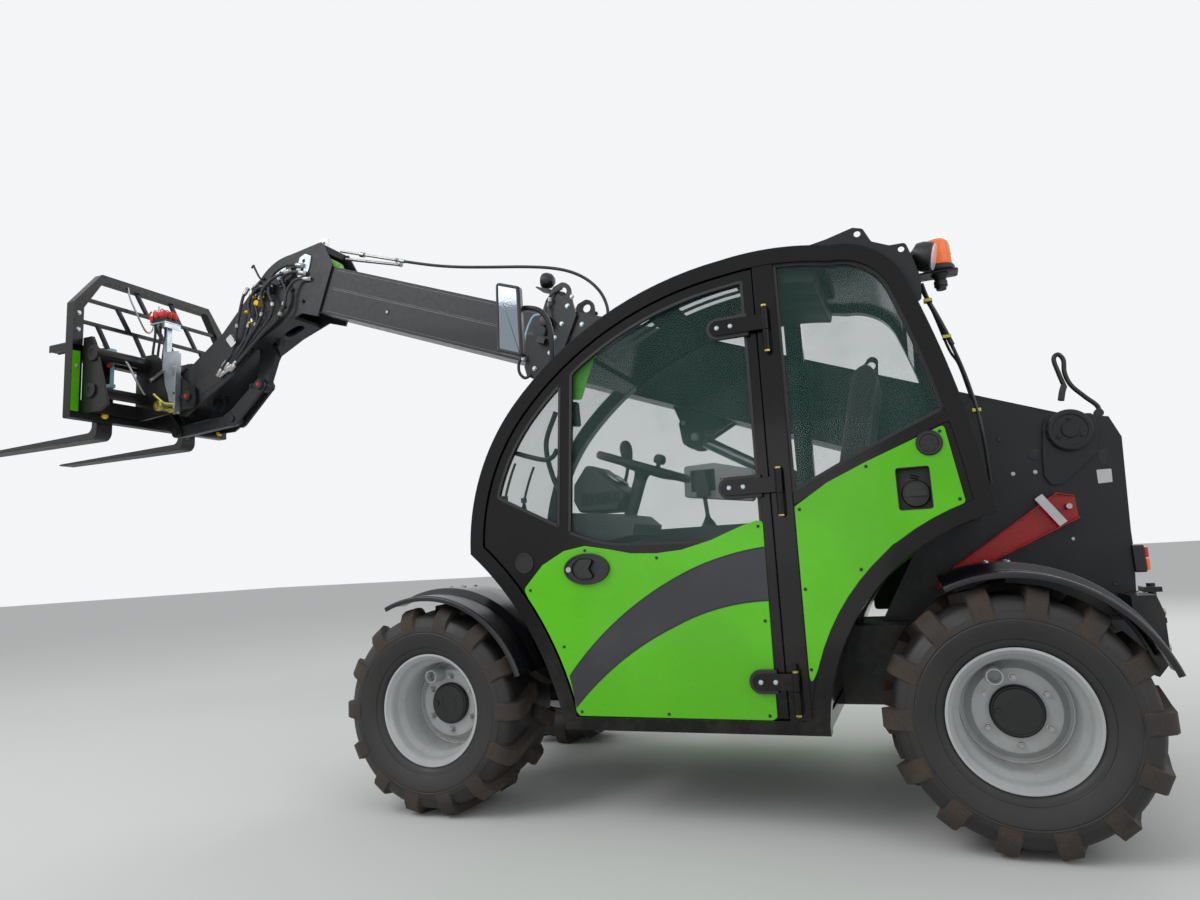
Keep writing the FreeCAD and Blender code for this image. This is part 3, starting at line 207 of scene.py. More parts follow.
class Shade(Nodes):
    """Node tree of one material, around a Principled shader."""

    def __init__(self, name: str) -> None:
        """Makes an empty material with a surface and an output."""
        self.material = bpy.data.materials.new(name)
        self.material.use_nodes = True
        super().__init__(self.material.node_tree)
        self.surface = self.node("ShaderNodeBsdfPrincipled", {}, {})
        self.node("ShaderNodeOutputMaterial", {}, {0: Wire(self, self.surface.outputs[0])})

    def place(self) -> Wire:
        """Place on the piece, in the row frame."""
        return Wire(self, self.node("ShaderNodeTexCoord", {}, {}).outputs["Object"])

    def axes(self) -> tuple[Wire, Wire, Wire]:
        """X, Y and Z of the place."""
        split = self.node("ShaderNodeSeparateXYZ", {}, {0: self.place()})
        return tuple(Wire(self, out) for out in split.outputs)

    def noise(self, scale: float, detail: float = 2.0, stretch: Place = (1, 1, 1)) -> Wire:
        """Noise value.

        Args:
            scale: cycles in a metre.
            detail: octaves.
            stretch: factors on the three axes.

        Returns:
            A wire of about 0.2 to 0.8.
        """
        where = self.place() * stretch
        node = self.node("ShaderNodeTexNoise", {}, {"Vector": where, "Scale": scale, "Detail": detail})
        return Wire(self, node.outputs[0])

    def cells(self, scale: float, feature: str = "F1", stretch: Place = (1, 1, 1)) -> Wire:
        """Distance in a cell pattern of that many cells in a metre."""
        where = self.place() * stretch
        node = self.node("ShaderNodeTexVoronoi", {"feature": feature}, {"Vector": where, "Scale": scale})
        return Wire(self, node.outputs[0])

    def waves(self, scale: float, direction: str, distortion: float = 0.0) -> Wire:
        """Bands across an axis."""
        node = self.node("ShaderNodeTexWave", {"bands_direction": direction}, {"Vector": self.place(), "Scale": scale,
            "Distortion": distortion})
        return Wire(self, node.outputs[1])

    def span(self, value: Operand, low: float, high: float, out: Point = (0.0, 1.0)) -> Wire:
        """Value brought from low..high to a new range, smooth and held at its ends."""
        node = self.node("ShaderNodeMapRange", {"interpolation_type": "SMOOTHSTEP"}, {0: value, 1: low, 2: high,
            3: out[0], 4: out[1]})
        return Wire(self, node.outputs[0])

    def blend(self, factor: Operand, first: Operand, second: Operand) -> Wire:
        """Colour from first to second."""
        node = self.node("ShaderNodeMix", {"data_type": "RGBA"}, {0: factor, 6: first, 7: second})
        return Wire(self, node.outputs[2])

    def bump(self, height: Operand, depth: float, normal: Union[Wire, None] = None) -> Wire:
        """Normal bent by a height.

        Args:
            height: wire of 0 to 1.
            depth: metres between them.
            normal: normal to start from.

        Returns:
            The normal's wire.
        """
        inputs = {"Height": height, "Distance": depth, "Strength": 1.0}
        if normal is not None:
            inputs["Normal"] = normal
        return Wire(self, self.node("ShaderNodeBump", {}, inputs).outputs[0])

    def soft_edges(self, radius: float) -> Wire:
        """Normal with rounded edges."""
        return Wire(self, self.node("ShaderNodeBevel", {"samples": 4}, {0: radius}).outputs[0])

    def finish(self, **sockets: Operand) -> bpy.types.Material:
        """Sets the surface's sockets, named with underscores, and returns the material."""
        for key, value in sockets.items():
            self.feed(self.surface.inputs[key.replace("_", " ")], value)
        return self.material


@dataclass(frozen=True)
class Paint:
    """Sprayed paint: orange peel, slight unevenness, and dust that settles low down."""

    name: str
    colour: Colour
    roughness: float = .32
    coat: float = .5
    peel: float = .00007       # depth of the orange peel
    dust: float = .25          # share of dust near the ground
    round_edges: float = 0.0    # for solids whose edges are sharp
    shine: float = .4          # specular level
    slot: Slot = Slot.BOOM

    def build(self) -> bpy.types.Material:
        """Builds the material."""
        shade = Shade(self.name)
        cloud = shade.noise(2.3, 4)
        fine = shade.noise(38, 3)
        height = shade.axes()[2]
        darker = tuple(c * .86 for c in self.colour[:3]) + (1.0,)
        tone = shade.blend(shade.span(cloud, .35, .65), self.colour, darker)
        low = shade.span(height, .2, .9, (1.0, .08))
        dust = shade.span(shade.noise(7, 5) * .7 + fine * .3, .42, .72) * low * self.dust
        base = shade.blend(dust, tone, rgb(128, 118, 98))
        rough = shade.span(fine, .3, .7, (self.roughness * .85, self.roughness * 1.2)) + dust * .5
        start = shade.soft_edges(self.round_edges) if self.round_edges else None
        normal = shade.bump(shade.noise(420, 2), self.peel, start)
        return shade.finish(Base_Color=base, Roughness=rough, Normal=normal, Coat_Weight=self.coat,
            Coat_Roughness=.06, Specular_IOR_Level=self.shine)


@dataclass(frozen=True)
class Metal:
    """Bare, plated or galvanised metal."""

    name: str
    colour: Colour
    roughness: float = .3
    spangle: float = 0.0        # share of galvanised flakes
    brushed: float = 0.0        # depth of scratches
    slot: Slot = Slot.STEEL

    def build(self) -> bpy.types.Material:
        """Builds the material."""
        shade = Shade(self.name)
        flakes = shade.cells(90)
        cloud = shade.noise(14, 4)
        pale = tuple(min(1.0, c * 1.2) for c in self.colour[:3]) + (1.0,)
        base = shade.blend(flakes * self.spangle + cloud * .25, self.colour, pale)
        rough = shade.span(cloud, .3, .7, (self.roughness * .8, self.roughness * 1.3)) + flakes * self.spangle * .2
        scratch = shade.noise(300, 3, (1, 1, 6)) if self.brushed else shade.noise(160, 2)
        return shade.finish(Base_Color=base, Roughness=rough, Metallic=1.0, Normal=shade.bump(scratch, self.brushed
            or .00005))


@dataclass(frozen=True)
class Rubber:
    """Tyre or hose rubber with dust in its grain."""

    name: str
    colour: Colour = rgb(38, 38, 40)
    dust_colour: Colour = rgb(104, 88, 74)
    dust: float = .2
    roughness: float = .62
    grain: float = .0003
    slot: Slot = Slot.PLASTIC

    def build(self) -> bpy.types.Material:
        """Builds the material."""
        shade = Shade(self.name)
        patch = shade.noise(9, 6)
        grain = shade.noise(240, 4)
        dust = shade.span(patch * .65 + grain * .35, .38, .68) * self.dust
        base = shade.blend(dust, self.colour, self.dust_colour)
        rough = shade.span(patch, .3, .7, (self.roughness * .85, self.roughness * 1.15)) + dust * .4
        return shade.finish(Base_Color=base, Roughness=rough, Normal=shade.bump(grain, self.grain))


@dataclass(frozen=True)
class Plastic:
    """Moulded plastic with a fine leather grain."""

    name: str
    colour: Colour
    roughness: float = .4
    grain: float = .00012
    cells_per_metre: float = 700
    slot: Slot = Slot.PLASTIC

    def build(self) -> bpy.types.Material:
        """Builds the material."""
        shade = Shade(self.name)
        cloud = shade.noise(6, 4)
        grain = shade.cells(self.cells_per_metre)
        scuffed = tuple(min(1.0, c * 1.5 + .01) for c in self.colour[:3]) + (1.0,)
        base = shade.blend(shade.span(cloud, .45, .75) * .5, self.colour, scuffed)
        rough = shade.span(cloud, .3, .7, (self.roughness * .85, self.roughness * 1.25))
        return shade.finish(Base_Color=base, Roughness=rough, Normal=shade.bump(grain, self.grain))


@dataclass(frozen=True)
class Glazing:
    """Tinted pane that is clearer square on than along its surface."""

    name: str
    colour: Colour = rgb(58, 98, 90)
    clear: float = .15         # opacity square on
    edge: float = .6           # opacity at a grazing look
    slot: Slot = Slot.GLASS

    def build(self) -> bpy.types.Material:
        """Builds the material."""
        shade = Shade(self.name)
        facing = Wire(shade, shade.node("ShaderNodeLayerWeight", {}, {0: .25}).outputs["Facing"])
        smear = shade.span(shade.noise(5, 3), .5, .8) * .03
        alpha = shade.span(facing, 0.0, 1.0, (self.clear, self.edge)) + smear
        rough = shade.span(shade.noise(11, 4), .35, .7, (.02, .07))
        material = shade.finish(Base_Color=self.colour, Roughness=rough, Alpha=alpha, Specular_IOR_Level=.5)
        material.surface_render_method = "BLENDED"
        return material


@dataclass(frozen=True)
class Lens:
    """Coloured lamp lens, its ribs painted darker as shade and given a painted glow for the light that passes through
    it.
    """

    name: str
    colour: Colour
    # strength of the painted glow, standing in for daylight through the unlit lens
    painted_glow: float = .25
    clear: float = .12
    slot: Slot = Slot.GLASS

    def build(self) -> bpy.types.Material:
        """Builds the material."""
        shade = Shade(self.name)
        ribs = shade.waves(95, "Z")
        # The ribs' grooves are painted darker: painted shade.
        rib_shade = tuple(c * .55 for c in self.colour[:3]) + (1.0,)
        base = shade.blend(ribs * .6, self.colour, rib_shade)
        return shade.finish(Base_Color=base, Roughness=shade.span(ribs, 0, 1, (.08, .2)), Emission_Color=base,
            Emission_Strength=self.painted_glow, Normal=shade.bump(ribs, .0004), Coat_Weight=.6)


@dataclass(frozen=True)
class Cloth:
    """Seat fabric: a coarse weave with a paler fleck."""

    name: str
    colour: Colour = rgb(40, 41, 43)
    fleck: Colour = rgb(92, 94, 98)
    threads: float = 520
    slot: Slot = Slot.SEAT

    def build(self) -> bpy.types.Material:
        """Builds the material."""
        shade = Shade(self.name)
        across = shade.waves(self.threads / 6.3, "Y")
        along = shade.waves(self.threads / 6.3, "X") * .5 + shade.waves(self.threads / 6.3, "Z") * .5
        fleck = shade.span(shade.cells(160), .1, .35, (1.0, 0.0)) * .35
        base = shade.blend(fleck + across * .08, self.colour, self.fleck)
        rough = shade.span(shade.noise(30, 3), .3, .7, (.8, .95))
        return shade.finish(Base_Color=base, Roughness=rough, Normal=shade.bump(across * along, .0005),
            Sheen_Weight=.3)


@dataclass(frozen=True)
class Braid:
    """Hydraulic hose in a braided sleeve."""

    name: str
    colour: Colour = rgb(30, 30, 32)
    pale: Colour = rgb(96, 96, 98)
    slot: Slot = Slot.HOSE

    def build(self) -> bpy.types.Material:
        """Builds the material."""
        shade = Shade(self.name)
        weave = shade.cells(420, "F1", (1, 1, 1))
        base = shade.blend(shade.span(weave, .15, .5, (.55, 0.0)), self.colour, self.pale)
        rough = shade.span(shade.noise(60, 3), .3, .7, (.45, .65))
        return shade.finish(Base_Color=base, Roughness=rough, Normal=shade.bump(weave, .0005))


Finish = Union[Paint, Metal, Rubber, Plastic, Glazing, Lens, Cloth, Braid]

GREEN = Paint("lime_paint", rgb(92, 196, 4), .3, .2, dust=.08, shine=.25, slot=Slot.GREEN)
FRAME_BLACK = Paint("gloss_black_paint", rgb(11, 11, 13), .16, .14, .00003, .1, .004, .18, slot=Slot.BLACK)
ANTHRACITE = Paint("anthracite_paint", rgb(39, 41, 44), .36, .08, .0001, .3, .003, .25)
# Pale grey for the strips along the inner stage's seams: a painted highlight where light catches the folded edges.
SEAM_HIGHLIGHT = Paint("seam_highlight_paint", rgb(104, 103, 102), .3, .1)
SWOOSH = Paint("grey_band_paint", rgb(56, 57, 62), .34, .12, shine=.25, slot=Slot.BLACK)
CARRIAGE_PAINT = Paint("carriage_paint", rgb(29, 28, 28), .34, .08, .0001, .2, .002, .25, slot=Slot.CARRIAGE)
FORK_PAINT = Paint("fork_black_paint", rgb(25, 24, 23), .42, .08, .0001, .25, .003, slot=Slot.CARRIAGE)
RIM_SILVER = Paint("wheel_silver_paint", rgb(186, 189, 190), .34, .3, .00006, .3, slot=Slot.SILVER)
RED = Paint("prop_red_paint", rgb(186, 8, 10), .28, .2, .00006, .1, .002, slot=Slot.RED)
CAST_BLACK = Paint("cast_black_paint", rgb(34, 34, 35), .55, .1, .0004, .5, .004, slot=Slot.CAST)
SEALANT = Rubber("window_rubber", rgb(16, 16, 17), dust=.05, roughness=.5, grain=.00008)
SIDEWALL = Rubber("tyre_sidewall", rgb(27, 27, 28), rgb(84, 76, 68), .16, .5, slot=Slot.TYRE)
TREAD = Rubber("tyre_tread", rgb(36, 33, 31), rgb(104, 86, 70), .5, .72, .0006)
BRAID = Braid("braided_hose")
ZINC = Metal("galvanised_steel", rgb(170, 180, 186), .36, .35, slot=Slot.ZINC)
YELLOW_ZINC = Metal("yellow_zinc", rgb(176, 166, 86), .3, .1, slot=Slot.ZINC)
CHROME = Metal("hard_chrome", rgb(205, 207, 210), .12)
STEEL = Metal("bright_steel", rgb(168, 168, 166), .34, 0.0, .0001)
MIRROR_GLASS = Metal("mirror_glass", rgb(132, 142, 150), .03)
FENDER_BLACK = Plastic("fender_plastic", rgb(19, 19, 22), .24, .00005, 900, slot=Slot.FENDER)
TRIM_BLACK = Plastic("trim_plastic", rgb(17, 17, 19), .42)
CAP_BLACK = Plastic("hub_cap_plastic", rgb(20, 21, 22), .4, .00006)
CONSOLE_GREY = Plastic("console_plastic", rgb(70, 72, 74), .5)
WHITE_PLASTIC = Plastic("pale_plastic", rgb(206, 208, 208), .4)
YELLOW_CAP = Plastic("yellow_cap", rgb(230, 190, 20), .4)
RED_CAP = Plastic("red_cap", rgb(214, 38, 22), .38)
GREEN_CAP = Plastic("green_cap", rgb(28, 110, 62), .4)
BLUE_TUBE = Plastic("pale_blue_tube", rgb(140, 190, 205), .35)
GLASS = Glazing("tinted_glass")
SCREEN_GLASS = Glazing("windscreen_glass", rgb(58, 96, 88), .1, .5)
# These lens finishes carry a painted glow and rib shade, on the lamps and the dial faces alike.
AMBER = Lens("amber_lens", rgb(255, 112, 8), slot=Slot.AMBER)
RED_LENS = Lens("red_lens", rgb(190, 14, 10))
WHITE_LENS = Lens("lamp_lens", rgb(225, 228, 230), .1)
SEAT_CLOTH = Cloth("seat_cloth")

_built: dict[str, bpy.types.Material] = {}


def material_of(finish: Finish) -> bpy.types.Material:
    """Material of a finish, built once."""
    if finish.name not in _built:
        _built[finish.name] = finish.build()
    return _built[finish.name]


def arc_through(a: Point, b: Point, c: Point, steps: int) -> list[Point]:
    """Points of the arc from a over b to c, without a."""
    (ax, ay), (bx, by), (cx, cy) = a, b, c
    d = 2 * (ax * (by - cy) + bx * (cy - ay) + cx * (ay - by))
    ux = ((ax * ax + ay * ay) * (by - cy) + (bx * bx + by * by) * (cy - ay) + (cx * cx + cy * cy) * (ay - by)) / d
    uy = ((ax * ax + ay * ay) * (cx - bx) + (bx * bx + by * by) * (ax - cx) + (cx * cx + cy * cy) * (bx - ax)) / d
    radius = math.hypot(ax - ux, ay - uy)
    first, middle, last = (math.atan2(y - uy, x - ux) for x, y in (a, b, c))
    turn = (last - first) % math.tau
    if (middle - first) % math.tau > turn:
        turn -= math.tau
    return [(ux + radius * math.cos(first + turn * k / steps), uy + radius * math.sin(first + turn * k / steps))
        for k in range(1, steps + 1)]


def traced(steps: Sequence[Sequence[float]], fine: int = 12) -> list[Point]:
    """Points of an outline whose steps are (x, z), or (xm, zm, x, z) for an arc."""
    points: list[Point] = [tuple(steps[0][-2:])]
    for step in steps[1:]:
        if len(step) == 2:
            points.append(tuple(step))
        else:
            points += arc_through(points[-1], tuple(step[:2]), tuple(step[2:]), fine)
    return points


def drawn_in(loop: list[Point], inset: float) -> list[Point]:
    """Closed counter-clockwise outline with its edge drawn in by inset."""
    result = []
    for k, here in enumerate(loop):
        before, after = loop[k - 1], loop[(k + 1) % len(loop)]
        ax, az = here[0] - before[0], here[1] - before[1]
        bx, bz = after[0] - here[0], after[1] - here[1]
        la, lb = math.hypot(ax, az) or 1e-9, math.hypot(bx, bz) or 1e-9
        na, nb = (-az / la, ax / la), (-bz / lb, bx / lb)
        share = 1 + na[0] * nb[0] + na[1] * nb[1]
        scale = inset / max(share, .25)
        result.append((here[0] + (na[0] + nb[0]) * scale, here[1] + (na[1] + nb[1]) * scale))
    return result


def clipped(loop: list[Point], normal: Point, offset: float) -> list[Point]:
    """Part of a convex or simple outline where x*nx + z*nz is at least offset."""
    result: list[Point] = []
    for k, here in enumerate(loop):
        before = loop[k - 1]
        d0 = before[0] * normal[0] + before[1] * normal[1] - offset
        d1 = here[0] * normal[0] + here[1] * normal[1] - offset
        if (d0 >= 0) != (d1 >= 0):
            share = d0 / (d0 - d1)
            result.append((before[0] + (here[0] - before[0]) * share, before[1] + (here[1] - before[1]) * share))
        if d1 >= 0:
            result.append(here)
    return result


def rounded(loop: list[Point], radius: float, fine: int = 5) -> list[Point]:
    """Outline with its corners rounded as far as their sides allow."""
    result: list[Point] = []
    for k, here in enumerate(loop):
        before, after = Vector(loop[k - 1]), Vector(loop[(k + 1) % len(loop)])
        corner = Vector(here)
        back, ahead = before - corner, after - corner
        if back.length < 1e-6 or ahead.length < 1e-6:
            continue
        angle = back.angle(ahead)
        if angle > math.radians(158):
            result.append(here)
            continue
        cut = min(radius / math.tan(angle / 2), back.length * .48, ahead.length * .48)
        start, end = corner + back.normalized() * cut, corner + ahead.normalized() * cut
        for step in range(fine + 1):
            t = step / fine
            point = start.lerp(corner, t).lerp(corner.lerp(end, t), t)
            result.append((point.x, point.y))
    return result


def circle(x: float, z: float, radius: float, sides: int = 24, squash: float = 1.0) -> list[Point]:
    """Round outline, or an upright oval where squash isn't 1."""
    return [(x + radius * math.cos(math.tau * k / sides), z + radius * squash * math.sin(math.tau * k / sides))
        for k in range(sides)]


def smooth_path(points: Sequence[Place], steps: int = 6) -> list[Vector]:
    """Smooth line through points."""
    line = [Vector(p) for p in points]
    line = [line[0] * 2 - line[1]] + line + [line[-1] * 2 - line[-2]]
    result = []
    for a, b, c, d in zip(line, line[1:], line[2:], line[3:]):
        for k in range(steps):
            t = k / steps
            result.append(.5 * (2 * b + (c - a) * t + (2 * a - 5 * b + 4 * c - d) * t * t + (3 * b - a - 3 * c
                + d) * t ** 3))
    return result + [line[-2]]


def linked(name: str, data: bpy.types.ID) -> bpy.types.Object:
    """New object of the scene with that data."""
    made = bpy.data.objects.new(name, data)
    bpy.context.scene.collection.objects.link(made)
    return made


class Form:
    """Collects the closed surfaces of one piece."""

    def __init__(self) -> None:
        """Starts with no faces, in the first of the piece's finishes."""
        self.mesh = bmesh.new()
        self.finish = 0

    def faces(self, corners: Sequence[Vector], loops: Sequence[Sequence[int]]) -> list[bmesh.types.BMFace]:
        """Adds faces between corners."""
        verts = [self.mesh.verts.new(corner) for corner in corners]
        made = []
        for loop in loops:
            face = self.mesh.faces.new([verts[i] for i in loop])
            face.material_index = self.finish
            made.append(face)
        return made

    def prism(self, outline: Sequence[Vector], depth: Vector) -> None:
        """Adds a plate between an outline and its copy moved by depth."""
        count = len(outline)
        corners = list(outline) + [corner + depth for corner in outline]
        sides = [(k, (k + 1) % count, count + (k + 1) % count, count + k) for k in range(count)]
        self.faces(corners, [tuple(range(count))[::-1], tuple(range(count, 2 * count))] + sides)

    def plate(self, outline: Sequence[Point], y0: float, y1: float, holes: Sequence[Sequence[Point]] = ()) -> None:
        """Adds a plate of an outline in X and Z, with holes through it."""
        if not holes:
            self.prism([Vector((x, y0, z)) for x, z in outline], Vector((0, y1 - y0, 0)))
            return
        self.pierced([[Vector((x, y0, z)) for x, z in loop] for loop in [outline, *holes]], Vector((0, y1 - y0, 0)))

    def pierced(self, loops: Sequence[Sequence[Vector]], depth: Vector) -> None:
        """Adds a plate between flat loops, the first of them its edge, and their copies."""
        part = bmesh.new()
        edges = []
        for loop in loops:
            verts = [part.verts.new(corner) for corner in loop]
            edges += [part.edges.new((verts[k - 1], verts[k])) for k in range(len(verts))]
        filled = bmesh.ops.triangle_fill(part, use_beauty=True, use_dissolve=False, edges=edges)
        flat = [item for item in filled["geom"] if isinstance(item, bmesh.types.BMFace)]
        extruded = bmesh.ops.extrude_face_region(part, geom=flat, use_keep_orig=True)
        moved = [item for item in extruded["geom"] if isinstance(item, bmesh.types.BMVert)]
        bmesh.ops.translate(part, vec=depth, verts=moved)
        part.verts.index_update()
        self.faces([vert.co.copy() for vert in part.verts], [[v.index for v in f.verts] for f in part.faces])
        part.free()

    def band(self, outer: Sequence[Point], inner: Sequence[Point], y0: float, y1: float) -> None:
        """Adds a closed band between two outlines of the same count."""
        count = len(outer)
        corners = [Vector((x, y, z)) for y in (y0, y1) for loop in (outer, inner) for x, z in loop]
        loops = []
        for k in range(count):
            n = (k + 1) % count
            loops += [(k, n, count + n, count + k), (2 * count + k, 3 * count + k, 3 * count + n, 2 * count + n),
                (k, 2 * count + k, 2 * count + n, n), (count + k, count + n, 3 * count + n, 3 * count + k)]
        self.faces(corners, loops)

    def block(self, low: Sequence[float], high: Sequence[float]) -> None:
        """Adds a block between two corners."""
        x0, y0, z0 = low
        x1, y1, z1 = high
        self.plate([(x0, z0), (x1, z0), (x1, z1), (x0, z1)], y0, y1)

    def lathe(self, profile: Sequence[Point], centre: Sequence[float], axis: Sequence[float], sides: int = 48,
              turn: Point = (0.0, 360.0)) -> None:
        """Adds a turned shape.

        Args:
            profile: closed loop of (radius, distance along the axis).
            centre: where the distances start.
            axis: direction.
            sides: facets round the turn.
            turn: first and last angle in degrees; the ends are closed where it is less than whole.
        """
        along = Vector(axis).normalized()
        across = along.cross(Vector((0, 0, 1)) if abs(along.z) < .9 else Vector((1, 0, 0))).normalized()
        if abs(along.y) > .9:
            across = Vector((1, 0, 0))
        third = Vector((0, 0, 1)) if abs(along.y) > .9 else along.cross(across)
        whole = abs(turn[1] - turn[0] - 360) < 1e-6
        count = sides if whole else sides + 1
        rings = []
        for radius, distance in profile:
            base = Vector(centre) + along * distance
            if radius < 1e-6:
                rings.append([self.mesh.verts.new(base)] * count)
                continue
            ring = []
            for k in range(count):
                angle = math.radians(turn[0] + (turn[1] - turn[0]) * k / sides)
                ring.append(self.mesh.verts.new(base + (across * math.cos(angle) + third * math.sin(angle)) * radius))
            rings.append(ring)
        for low, high in zip(rings, rings[1:] + rings[:1]):
            if low[0] is low[-1] and high[0] is high[-1]:
                continue
            for k in range(sides):
                n = (k + 1) % count
                self._face([low[k], low[n], high[n], high[k]])
        if not whole:
            self._face([ring[0] for ring in rings])
            self._face([ring[-1] for ring in rings])

    def _face(self, verts: Sequence[bmesh.types.BMVert]) -> None:
        """Adds a face and leaves out corners that repeat."""
        loop = [v for k, v in enumerate(verts) if v is not verts[k - 1]]
        if len(loop) > 2:
            self.mesh.faces.new(loop).material_index = self.finish

    def rod(self, a: Sequence[float], b: Sequence[float], radius: float, sides: int = 20, ease: float = 0.0) -> None:
        """Adds a round bar from a to b, its ends eased by a chamfer."""
        length = (Vector(b) - Vector(a)).length
        ease = min(ease or radius * .08, length * .3)
        self.lathe([(0, 0), (radius - ease, 0), (radius, ease), (radius, length - ease), (radius - ease, length),
            (0, length)], a, Vector(b) - Vector(a), sides)

    def ball(self, centre: Sequence[float], radius: float, sides: int = 20) -> None:
        """Adds a ball."""
        rows = sides // 2
        self.lathe([(radius * math.sin(math.pi * k / rows), -radius * math.cos(math.pi * k / rows))
            for k in range(rows + 1)], centre, (0, 0, 1), sides)

    def tube(self, path: Sequence[Sequence[float]], radius: float, sides: int = 10) -> None:
        """Adds a round tube along a path, with flat ends."""
        line = [Vector(p) for p in path]
        ahead = (line[1] - line[0]).normalized()
        across = ahead.orthogonal().normalized()
        rings = []
        for k, here in enumerate(line):
            new = (line[min(k + 1, len(line) - 1)] - line[max(k - 1, 0)]).normalized()
            across = (ahead.rotation_difference(new) @ across).normalized()
            ahead = new
            third = ahead.cross(across)
            rings.append([self.mesh.verts.new(here + (across * math.cos(math.tau * j / sides)
                + third * math.sin(math.tau * j / sides)) * radius) for j in range(sides)])
        for low, high in zip(rings, rings[1:]):
            for j in range(sides):
                self._face([low[j - 1], low[j], high[j], high[j - 1]])
        self._face(rings[0][::-1])
        self._face(rings[-1])

    def nut(self, centre: Sequence[float], axis: Sequence[float], across: float, height: float,
            washer: bool = True) -> None:
        """Adds a hexagon head with its washer and a rounded top."""
        r = across / math.sqrt(3)
        start = Vector(centre)
        along = Vector(axis).normalized()
        if washer:
            self.lathe([(0, 0), (r * 1.25, 0), (r * 1.25, height * .2), (0, height * .2)], start, along, 20)
        self.lathe([(0, 0), (r, 0), (r, height * .85), (r * .86, height), (0, height)], start, along, 6)

    def make(self, name: str, finishes: Union[Finish, Sequence[Finish]], body: str = Body.CHASSIS,
             slot: Union[Slot, None] = None, *, replaces: Sequence[str] = (), bevel: float = 0.0,
             place: Union[Matrix, None] = None) -> bpy.types.Object:
        """Turns the collected faces into a piece of the scene and starts afresh.

        Args:
            name: the piece's name.
            finishes: finish, or one for each finish number used.
            body: body it rides on.
            slot: not used.
            replaces: CAD nodes that it stands for.
            bevel: width of the rounding on its edges.
            place: transform of the whole piece.

        Returns:
            The object.
        """
        if place is not None:
            self.mesh.transform(place)
        bmesh.ops.recalc_face_normals(self.mesh, faces=self.mesh.faces)
        data = bpy.data.meshes.new(name)
        self.mesh.to_mesh(data)
        self.mesh.clear()
        self.finish = 0
        finishes = finishes if isinstance(finishes, (list, tuple)) else [finishes]
        for finish in finishes:
            data.materials.append(material_of(finish))
        data.shade_smooth()
        piece = linked(name, data)
        if bevel:
            round_off = piece.modifiers.new("rounding", "BEVEL")
            round_off.width = bevel
            round_off.segments = 4 if bevel > .01 else 2
            round_off.limit_method = "ANGLE"
            round_off.angle_limit = math.radians(32)
            round_off.harden_normals = True
        else:
            data.set_sharp_from_angle(angle=math.radians(34))
        rider = body.value if isinstance(body, Body) else body
        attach(piece, rider)
        if replaces:
            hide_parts(*replaces)
        LOG.info("%s: %d faces on %s", name, len(data.polygons), rider)
        return piece


def split_at(loop: list[Point], line: Sequence[Point], upper: bool) -> list[Point]:
    """Part of an outline above or below a line that runs across it.

    Args:
        loop: the outline.
        line: points in order of X.
        upper: True for the part above.

    Returns:
        The part's outline, with the line's own points along its cut.
    """
    def over(point: Point) -> float:
        """Height over the line, or under it for the lower part."""
        x = min(max(point[0], line[0][0]), line[-1][0])
        for (xa, za), (xb, zb) in zip(line, line[1:]):
            if x <= xb:
                height = za + (zb - za) * (x - xa) / (xb - xa)
                break
        return (point[1] - height) * (1 if upper else -1)

    ring: list[tuple[Point, bool]] = []
    for k, here in enumerate(loop):
        before = loop[k - 1]
        d0, d1 = over(before), over(here)
        if (d0 >= 0) != (d1 >= 0):
            t = d0 / (d0 - d1)
            ring.append(((before[0] + (here[0] - before[0]) * t, before[1] + (here[1] - before[1]) * t), True))
        if d1 >= 0:
            ring.append((here, False))
    result: list[Point] = []
    for (here, cut), (after, cut_too) in zip(ring, ring[1:] + ring[:1]):
        result.append(here)
        if cut and cut_too:
            low, high = sorted((here[0], after[0]))
            between = [p for p in line if low + 1e-4 < p[0] < high - 1e-4]
            result += between if here[0] < after[0] else between[::-1]
    return result


